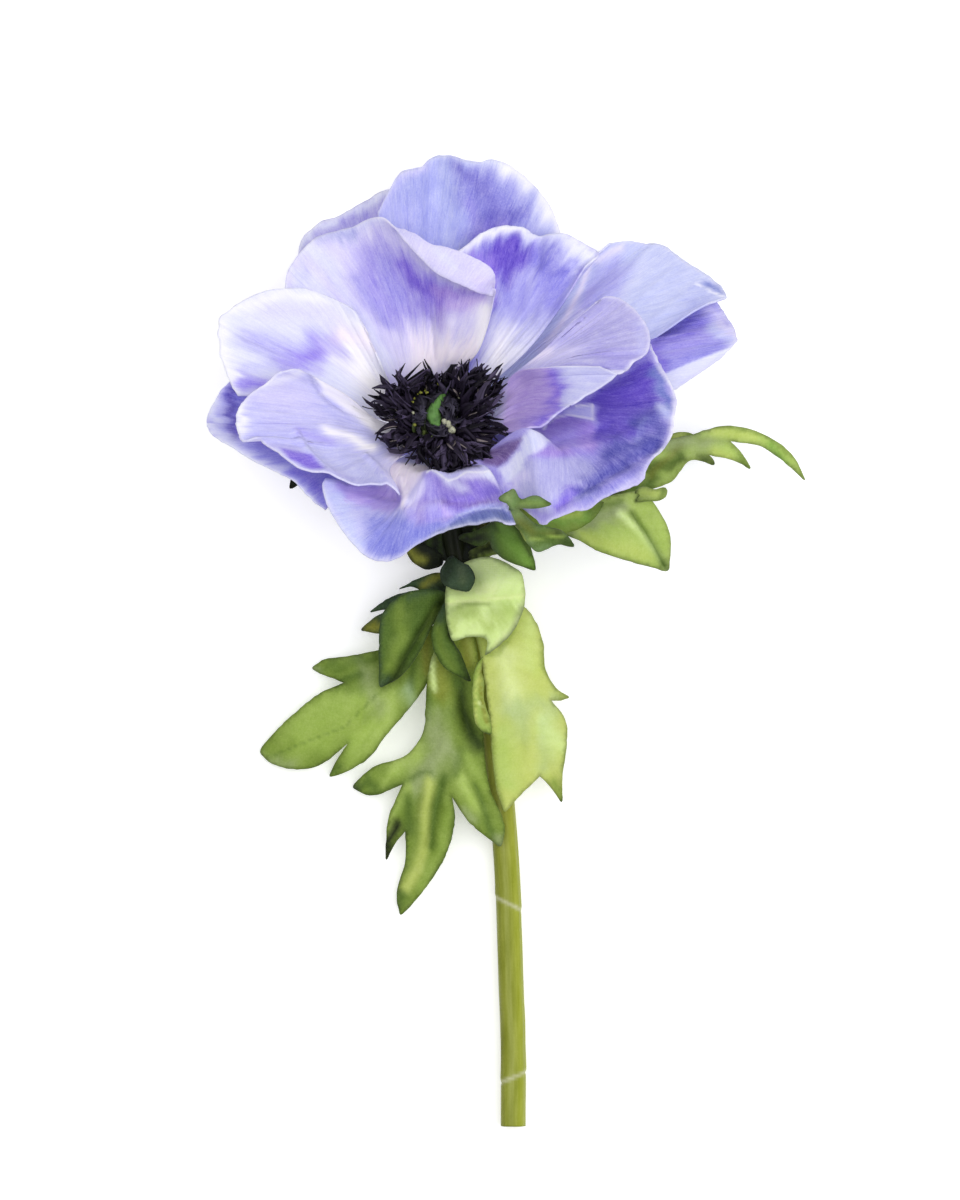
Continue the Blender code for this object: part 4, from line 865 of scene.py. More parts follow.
        ([(5.5, 29), (9, 28), (9.5, 21.5)], 1.2, "bright_violet", 0.7),
        ([(18.5, 29.5), (22, 27)], 2, "slate_violet", 0.75),
        ([(17.5, 21.5), (18.5, 17)], 1, "lavender", 0.3),
        ([(14.5, 26), (13.5, 20)], 1.4, "lavender", 0.45),
        ([(16.5, 26), (16, 16.5)], 0.9, "lavender", 0.5),
        ([(10.5, 24), (11, 20)], 0.9, "lavender", 0.4),
        ([(8, 19.5), (18.5, 18.5), (16, 9), (7, 9), (8, 19.5)], 2.4, "mist", 0.5),
        ([(9, 16.5), (13.5, 16.5), (17.5, 15), (17, 13), (11.5, 9), (7, 10), (9, 16.5)], 2.2, "white",
          0.9),
        ([(10.5, 13), (10.5, 9)], 1.5, "bright_white", 0.8),
        ([(14, 14.5), (16.5, 14)], 1, "grey_mist", 0.5),
        ([(3.5, 29), (7.5, 32.5), (12, 34), (16, 33)], 0.9, "white", 0.9),
        ([(17.5, 32.5), (21.5, 32.5), (26, 29.5)], 1.9, "mist", 0.85),
        ([(23, 31.5), (27, 29)], 1.4, "white", 0.6),
        ([(24.5, 29.5), (26, 27.5)], 1.4, "mist", 0.6),
        ([(23, 27.5), (24, 25.5), (22.5, 22)], 0.9, "lavender", 0.85),
        ([(24.5, 26.5), (23, 23), (20.5, 18), (18.5, 14.5)], 0.2, "lilac", 0.8),
    ]),
    "petal_back_right": ("haze", [
        ([(23.5, 18.5), (26, 23.5), (28, 28), (31, 29.5), (32.5, 27), (31.5, 23), (28, 20.5),
          (23.5, 18.5)], 2.4, "lilac", 0.6),
        ([(24, 19.5), (26.5, 23)], 1.2, "orchid", 0.25),
        ([(31.5, 21.5), (35.5, 28)], 1, "mist", 0.35),
        ([(36.5, 14), (45, 20.5)], 1.4, "sky_violet", 0.45),
        ([(26, 28), (24.5, 23.5), (22, 18.5), (19, 14.5)], 0.5, "rose_white", 0.8),
        ([(27.5, 29), (31.5, 31)], 0.9, "pink_white", 0.8),
        ([(43.5, 21.5), (46.5, 22)], 1.7, "sky_violet", 0.4),
        ([(17.5, 13), (24.5, 19.5)], 0.9, "pale_lilac", 0.7),
        ([(46, 24.5), (49, 22.5)], 0.6, "steel_blue", 0.75),
        ([(44.5, 24.5), (47, 23), (49, 22)], 0.2, "white", 0.8),
    ]),
    "petal_right": ("periwinkle", [
        ([(37, 13), (45, 17)], 1.4, "violet", 0.5),
        ([(40, 12), (46, 15.5)], 1.5, "lilac", 0.8),
        ([(37, 14), (47, 20)], 0.7, "steel_violet", 0.75),
        ([(37, 12.5), (38.5, 9)], 0.9, "violet", 0.6),
        ([(47, 19.5), (50.5, 14.5)], 1.5, "pale_lilac", 0.9),
        ([(47, 16.5), (49.5, 14.5)], 0.9, "pale_blue", 0.6),
        ([(38.5, 8.5), (43, 10.5), (47, 12), (51, 13.5), (53, 12.5), (47.5, 8.5), (43.5, 6), (40.5, 4.5),
          (38.5, 8.5)], 0.2, "mist", 0.97),
        ([(41.5, 7), (45.5, 9.5), (50.5, 13)], 0.3, "lavender", 0.6),
    ]),
    "leaf_left_broad": ("leaf_mid", [
        ([(-14, -51.5), (-11, -49.5)], 2, "leaf_lime", 0.5),
        ([(-26.5, -53), (-22, -47), (-16, -45), (-9, -45), (-6.5, -48), (-9, -53), (-15, -58),
          (-17, -54.5), (-23.5, -57.5), (-26.5, -53)], 2, "leaf_light", 0.85),
        ([(-12.5, -40.5), (-10, -48)], 1.7, "leaf_grey", 0.6),
        ([(-7.5, -46), (-9, -50.5), (-12.5, -54.5)], 1.5, "leaf_bright", 0.5),
        ([(-17, -43.5), (-13, -42.5)], 0.9, "leaf_shade", 0.8),
        ([(-4, -40), (-4.5, -45)], 1, "leaf_shade", 0.85),
        ([(-2, -36.5), (-1.5, -42)], 0.8, "leaf_olive", 0.8),
        ([(-30, -56.5), (-25.5, -57.5)], 1.2, "leaf_grey", 0.5),
        ([(-19, -60), (-17, -58.5)], 0.7, "leaf_shade", 0.8),
        ([(-21.5, -41.5), (-16, -40.5), (-10, -39)], 1.2, "leaf_shade", 0.6),
        ([(-22.5, -41.5), (-20.5, -41.5)], 0.7, "leaf_grey", 0.4),
        ([(-10, -45.5), (-16, -51.5), (-23.5, -54.5), (-29, -57)], 0.2, "leaf_shade", 0.45),
        # A painted shadow cast by the folded dark leaf that lies over it.
        ([(-9.5, -38.5), (-9, -45), (-6, -42)], 0.7, "leaf_dark", 0.35),
        ([(-5, -45), (-3.5, -49)], 1.2, "leaf_mint", 0.6),
        ([(-17.5, -45), (-13, -45)], 1.2, "leaf_shade", 0.25),
    ]),
    "leaf_left_hanging": ("leaf_mid", [
        ([(1.5, -38.5), (0.5, -45)], 2, "leaf_olive", 0.6),
        ([(-1, -38.5), (-0.5, -45)], 0.5, "leaf_pale", 0.8),
        ([(-1.5, -45.5), (-1.5, -50.5)], 0.7, "leaf_shade", 0.7),
        ([(4, -45), (4, -48.5), (5.5, -51.5), (7, -54.5)], 1.4, "leaf_dark", 0.97),
        ([(2.5, -39), (3.5, -45)], 1, "leaf_shade", 0.8),
        ([(5, -37.5), (5, -41)], 1.4, "leaf_olive", 0.9),
        ([(5.5, -37), (6.5, -40.5)], 0.7, "leaf_yellow", 0.6),
        ([(-0.5, -53), (1.5, -57), (-3, -59.5)], 2.2, "leaf_grey", 0.8),
        ([(0.5, -49.5), (0.5, -52)], 1.5, "leaf_grey", 0.4),
        ([(-3.5, -56.5), (-8.5, -59.5)], 1.4, "leaf_bright", 0.7),
        ([(-15, -62), (-11, -61)], 1.4, "leaf_shade", 0.8),
        ([(-12.5, -63.5), (-6, -61.5)], 0.5, "leaf_shade", 0.7),
        ([(-15, -62), (-14, -62)], 0.7, "leaf_dark", 0.7),
        ([(-5.5, -61), (-3, -59.5), (-1, -59.5)], 0.5, "leaf_shade", 0.6),
        ([(-5, -61.5), (-7.5, -66.5), (-8.5, -70.5)], 0.7, "leaf_bright", 0.5),
        ([(-7, -68.5), (-8.5, -72), (-8.5, -75)], 0.9, "leaf_black_shade", 0.97),
        ([(-5, -64), (-5, -68.5)], 1.2, "leaf_shade", 0.8),
        ([(-1.5, -61.5), (-2, -69.5), (-3.5, -76), (-5.5, -80)], 1, "leaf_yellow", 0.75),
        ([(1, -60.5), (-0.5, -65), (-1, -71.5)], 0.9, "leaf_shade", 0.9),
        ([(1.5, -66.5), (0.5, -72.5), (-2.5, -79)], 1, "leaf_light", 0.5),
        ([(3, -66), (2.5, -71.5), (-1, -78)], 0.4, "leaf_shade", 0.7),
        ([(-7, -83.5), (-6, -81.5)], 1, "leaf_shade", 0.85),
        ([(-7, -80.5), (-6, -74.5), (-5.5, -70)], 0.4, "leaf_shade", 0.5),
        ([(4, -61), (6.5, -65)], 1.2, "leaf_bright", 0.8),
        ([(6.5, -61.5), (8, -66), (10, -71.5)], 0.7, "leaf_shade", 0.75),
        ([(5, -56), (8, -61.5)], 1, "leaf_light", 0.6),
        ([(4.5, -66), (6, -67.5)], 0.9, "leaf_grey", 0.6),
        ([(4, -55), (3, -59.5)], 0.9, "leaf_shade", 0.5),
        ([(10.5, -71), (11, -72.5)], 0.9, "leaf_grey", 0.7),
    ]),
    "leaf_folded_dark": ("leaf_shade", [
        ([(-6, -32), (-6.5, -36.5), (-8, -41)], 1.4, "leaf_mid", 0.8),
        # Painted shade in the crease of the fold.
        ([(1, -30), (-2, -34), (-5, -39), (-8, -44)], 0.8, "leaf_dark", 0.9),
        ([(-0.5, -31.5), (-2.5, -36.5)], 0.5, "leaf_mid", 0.4),
        ([(-7, -29.5), (-9.5, -32.5), (-10, -37.5), (-9.5, -45)], 0.4, "leaf_blue", 0.8),
        ([(-9.5, -45), (-8.5, -43)], 0.7, "leaf_blue", 0.8),
        ([(-4.5, -29), (2, -28)], 0.8, "leaf_blue", 0.7),
    ]),
    "leaf_left_points": ("leaf_blue", [
        ([(-12, -34.5), (-10, -33.5)], 1, "leaf_olive", 1),
        ([(-2.5, -27.5), (1, -25.5)], 0.7, "leaf_olive", 0.9),
        ([(-13.5, -35), (-13, -34.5)], 0.5, "leaf_black_shade", 0.8),
        ([(0.5, -28), (2.5, -26.5)], 1.2, "leaf_black_shade", 0.8),
    ]),
    "leaf_narrow_dark": ("leaf_shade", [
        ([(0, -33.5), (0.5, -37.5), (3, -41.5)], 0.7, "leaf_mid", 0.55),
        ([(2, -28.5), (0.5, -33)], 0.8, "leaf_blue", 0.9),
        ([(3.5, -29), (2, -35), (3.5, -39), (5.5, -43.5)], 0.5, "leaf_dark", 0.8),
        ([(5, -43), (6, -44)], 0.7, "leaf_dark", 0.7),
    ]),
    "leaf_front_pale": ("leaf_pale", [
        ([(3, -33), (10.5, -32), (13.5, -33)], 1.9, "leaf_bright", 0.75),
        ([(1.5, -30.5), (5.5, -30), (10, -29.5), (15, -29)], 0.4, "leaf_white", 0.95),
        ([(2, -32), (5, -30.5), (9, -30.5)], 0.3, "leaf_mid", 0.4),
        ([(14.5, -31), (13, -35), (10.5, -37.5), (8, -39.5)], 0.6, "leaf_grey", 0.9),
        ([(14, -32), (12, -35), (9, -38)], 0.2, "leaf_white", 0.6),
        ([(1.5, -28.5), (1.5, -33), (2.5, -37)], 0.3, "leaf_shade", 0.7),
        ([(2.5, -23), (9, -22), (14, -24.5)], 0.9, "leaf_mid", 0.35),
        ([(3, -36.5), (8, -36)], 0.3, "leaf_shade", 0.4),
        ([(4, -28), (9.5, -28)], 1, "leaf_white", 0.6),
    ]),
    "leaf_right_hanging": ("leaf_yellow", [
        ([(15.5, -33), (16, -41)], 1.4, "leaf_pale", 0.4),
        ([(12, -40), (13, -46)], 2, "leaf_white", 0.65),
        ([(16, -36.5), (17, -41.5)], 1.2, "leaf_lime", 0.5),
        ([(18, -36.5), (18, -41), (20.5, -45)], 0.4, "leaf_mid", 0.6),
        ([(20.5, -46), (23, -46.5)], 0.7, "leaf_mid", 0.6),
        ([(11, -53), (12, -61.5)], 2.2, "leaf_bright", 0.8),
        ([(18.5, -51.5), (20.5, -55)], 1.7, "leaf_pale", 0.6),
        ([(16, -57.5), (18.5, -59.5)], 1, "leaf_lime", 0.4),
        ([(12, -48), (14.5, -49), (17, -48)], 1.7, "leaf_mint", 0.35),
        ([(13, -48), (14.5, -52)], 2, "leaf_mint", 0.3),
        ([(19.5, -46.5), (18, -57.5)], 1.5, "leaf_mint", 0.35),
        ([(22.5, -52), (22.5, -54.5), (21.5, -59)], 0.5, "leaf_mid", 0.7),
        ([(20, -61), (21.5, -65)], 1, "leaf_mid", 0.8),
        ([(9.5, -53), (10, -60.5), (11.5, -66)], 0.4, "leaf_mid", 0.6),
        ([(6.5, -35.5), (7.5, -39), (10.5, -39), (13, -35)], 0.5, "leaf_mid", 0.5),
        ([(21, -64.5), (21.5, -65)], 0.5, "leaf_shade", 0.8),
    ]),
    "leaf_right_broad": ("leaf_bright", [
        ([(23, -17.5), (27.5, -15.5), (32, -14)], 1.5, "leaf_grey", 0.8),
        ([(26, -15), (28.5, -13.5), (31.5, -13)], 0.7, "leaf_shade", 0.6),
        ([(26, -19.5), (34.5, -22)], 1.5, "leaf_lime", 0.5),
        ([(31, -15), (34, -18), (37, -21.5), (39, -24.5)], 0.6, "leaf_pale", 0.9),
        ([(33, -15), (35.5, -19), (38.5, -23.5)], 0.6, "leaf_shade", 0.75),
        ([(37, -15.5), (38.5, -20.5)], 0.9, "leaf_bright", 0.7),
        ([(38, -23), (39.5, -25)], 0.7, "leaf_shade", 0.7),
        ([(24, -20), (29.5, -22), (38, -24.5)], 0.3, "leaf_mid", 0.7),
        ([(34, -12), (31, -12.5)], 0.7, "leaf_mid", 0.3),
        ([(34, -13), (34.5, -10.5)], 0.4, "leaf_dark", 0.95),
        # Painted shadow under the bloom.
        ([(5, -22), (14, -19.5)], 2, "leaf_black_shade", 0.97),
        ([(15, -19.5), (19, -19), (22, -19.5)], 1.2, "leaf_shade", 0.9),
        ([(18.5, -20.5), (21, -19.5)], 1, "leaf_dark", 0.5),
    ]),
    "leaf_right_curled": ("leaf_bright", [
        # Painted shadow under the bloom.
        ([(5.5, -20.5), (21, -15), (31.5, -10)], 2.4, "leaf_black_shade", 0.9),
        ([(34.5, -10.5), (37.5, -7.5), (41, -5)], 1.9, "leaf_shade", 0.9),
        ([(36.5, -8.5), (39.5, -5), (41.5, -3.5)], 0.6, "leaf_olive", 0.5),
        ([(40, -7.5), (42, -5.5)], 0.7, "leaf_dark", 0.5),
        ([(40, -2.5), (46, -3)], 1.4, "leaf_grey", 0.8),
        ([(47.5, -1), (54, -2)], 0.9, "leaf_lime", 0.6),
        ([(46.5, -3), (48.5, -3)], 0.9, "leaf_grey", 0.5),
        ([(57.5, -3.5), (59.5, -6)], 1, "leaf_green", 0.8),
        ([(61, -7.5), (63, -9.5)], 0.9, "leaf_mid", 0.6),
        ([(45, -0.5), (48.5, 0), (56, -1.5), (60.5, -5)], 0.3, "leaf_mid", 0.7),
        ([(47.5, -4.5), (50, -5.5)], 0.7, "leaf_lime", 0.6),
        ([(52, -6), (53.5, -7.5)], 0.9, "leaf_shade", 0.7),
        ([(50, -3), (52, -5), (53.5, -7.5)], 0.3, "leaf_mid", 0.6),
        ([(45.5, -5.5), (46.5, -5.5), (47.5, -6.5)], 0.9, "leaf_dark", 0.85),
    ]),
    "leaf_under_bloom": ("leaf_shade", [
        # Painted shadow under the bloom.
        ([(3.5, -19), (7, -18.5)], 1.4, "leaf_black_shade", 0.97),
        ([(9.5, -17), (9.5, -19.5), (10.5, -22.5)], 0.6, "leaf_blue", 0.5),
        ([(11.5, -18.5), (13, -20.5), (15.5, -23.5)], 1.5, "leaf_green", 0.7),
        ([(10, -16), (13.5, -16.5)], 0.7, "leaf_dark", 0.7),
        ([(13, -16.5), (15, -20.5), (17, -24.5)], 0.3, "leaf_dark", 0.7),
        ([(16.5, -24.5), (11.5, -24)], 0.3, "leaf_dark", 0.6),
    ]),
    "leaf_small_blue": ("leaf_blue", [
        # Painted shadow under the bloom.
        ([(2, -22), (1.5, -26.5)], 1, "leaf_black_shade", 0.6),
        ([(4, -24.5), (4.5, -26.5)], 0.7, "leaf_grey", 0.18),
    ]),
    "leaf_front_star": ("leaf_sage", [
        ([(9, -13), (10.5, -13.5)], 0.8, "leaf_black_shade", 0.9),
        ([(11, -13), (12.5, -11.5)], 0.9, "leaf_grey", 0.45),
        ([(11.5, -15), (14, -14.5)], 0.7, "leaf_light", 0.4),
        ([(14, -14), (18, -14)], 0.7, "leaf_light", 0.5),
        ([(18.5, -13.5), (20, -14)], 0.7, "leaf_shade", 0.8),
        # Painted shadow under the bloom.
        ([(2.5, -16.5), (9, -16.5)], 1.5, "leaf_black_shade", 0.97),
        ([(14, -16.5), (16.5, -19), (20, -18.5)], 1, "leaf_olive", 0.6),
        ([(18, -17), (22.5, -16)], 1, "leaf_green", 0.5),
        ([(17.5, -19.5), (23, -20.5)], 1.2, "leaf_shade", 0.9),
        ([(20, -18.5), (22.5, -20.5)], 0.7, "leaf_dark", 0.7),
        ([(15.5, -19.5), (17.5, -19.5), (19.5, -19), (21, -19)], 0.2, "leaf_light", 0.8),
        ([(16.5, -20.5), (20.5, -20)], 0.6, "leaf_shade", 0.8),
        ([(13, -17), (14, -18.5), (15, -20)], 0.2, "leaf_lime", 0.8),
        ([(10.5, -13.5), (12.5, -15)], 1, "leaf_sage", 0.7),
    ]),
    # The next two leaves lie under the bloom and are painted near-black as shadow.
    "leaf_left_tip": ("leaf_black_shade", [
    ]),
    "leaf_brown": ("leaf_black_shade", [
        ([(-5.5, -21), (-2.5, -23)], 0.8, "leaf_olive", 0.8),
        ([(-1.5, -21), (1, -22)], 1, "leaf_black_shade", 0.9),
    ]),
    "scrap_stem_curl": ("leaf_light", [
        ([(8, -39.5), (6.5, -45), (6.5, -51)], 0.3, "leaf_yellow", 0.8),
        ([(7.5, -42), (7.5, -45), (8, -49), (8.5, -50.5)], 0.4, "leaf_olive", 0.95),
        ([(7.5, -42.5), (8, -47), (9, -51.5)], 0.2, "leaf_lime", 0.7),
        ([(7, -47), (8, -49.5)], 0.1, "leaf_white", 0.9),
        ([(8, -52.5), (9.5, -53)], 0.5, "leaf_dark", 0.9),
    ]),
    # Two dark sheets with no CAD node that stand for the shadow under the bloom.
    "scrap_shade_left": ("leaf_black_shade", [
        ([(-1.5, -17.5), (-1.5, -21.5)], 0.5, "leaf_dark", 0.8),
        ([(0.5, -18), (0.5, -22)], 0.3, "leaf_dark", 0.7),
    ]),
    "scrap_shade_right": ("leaf_black_shade", [
        ([(8, -17), (8.5, -19.5)], 0.9, "leaf_olive", 0.3),
        ([(6.5, -16.5), (6.5, -19), (7.5, -21.5)], 0.2, "leaf_shade", 0.8),
        ([(7.5, -22), (9, -22)], 0.5, "leaf_light", 0.6),
    ]),
    "scrap_broad_curl": ("leaf_bright", [
        ([(33.5, -11), (34, -13.5)], 0.5, "leaf_dark", 0.95),
        ([(38.5, -11), (37.5, -12.5)], 0.5, "leaf_shade", 0.7),
        ([(35, -11.5), (37, -11.5)], 0.7, "leaf_lime", 0.5),
        ([(34.5, -13), (37, -13)], 0.3, "leaf_shade", 0.6),
    ]),
    "scrap_curled_edge": ("leaf_light", [
        ([(40.5, -2), (42, -1.5)], 0.7, "leaf_lime", 0.8),
        ([(42.5, -1.5), (44.5, -2)], 0.4, "leaf_shade", 0.7),
    ]),
    "scrap_star_back": ("leaf_mid", [
        ([(13, -15.5), (15, -18)], 1.5, "leaf_olive", 0.7),
        ([(18, -16.5), (25, -15)], 1.4, "leaf_green", 0.8),
        ([(21, -15.5), (24, -15)], 0.7, "leaf_lime", 0.5),
        ([(13, -16.5), (14, -19)], 0.2, "leaf_white", 0.5),
        ([(26, -14.5), (28, -13.5)], 0.9, "leaf_shade", 0.6),
    ]),
}

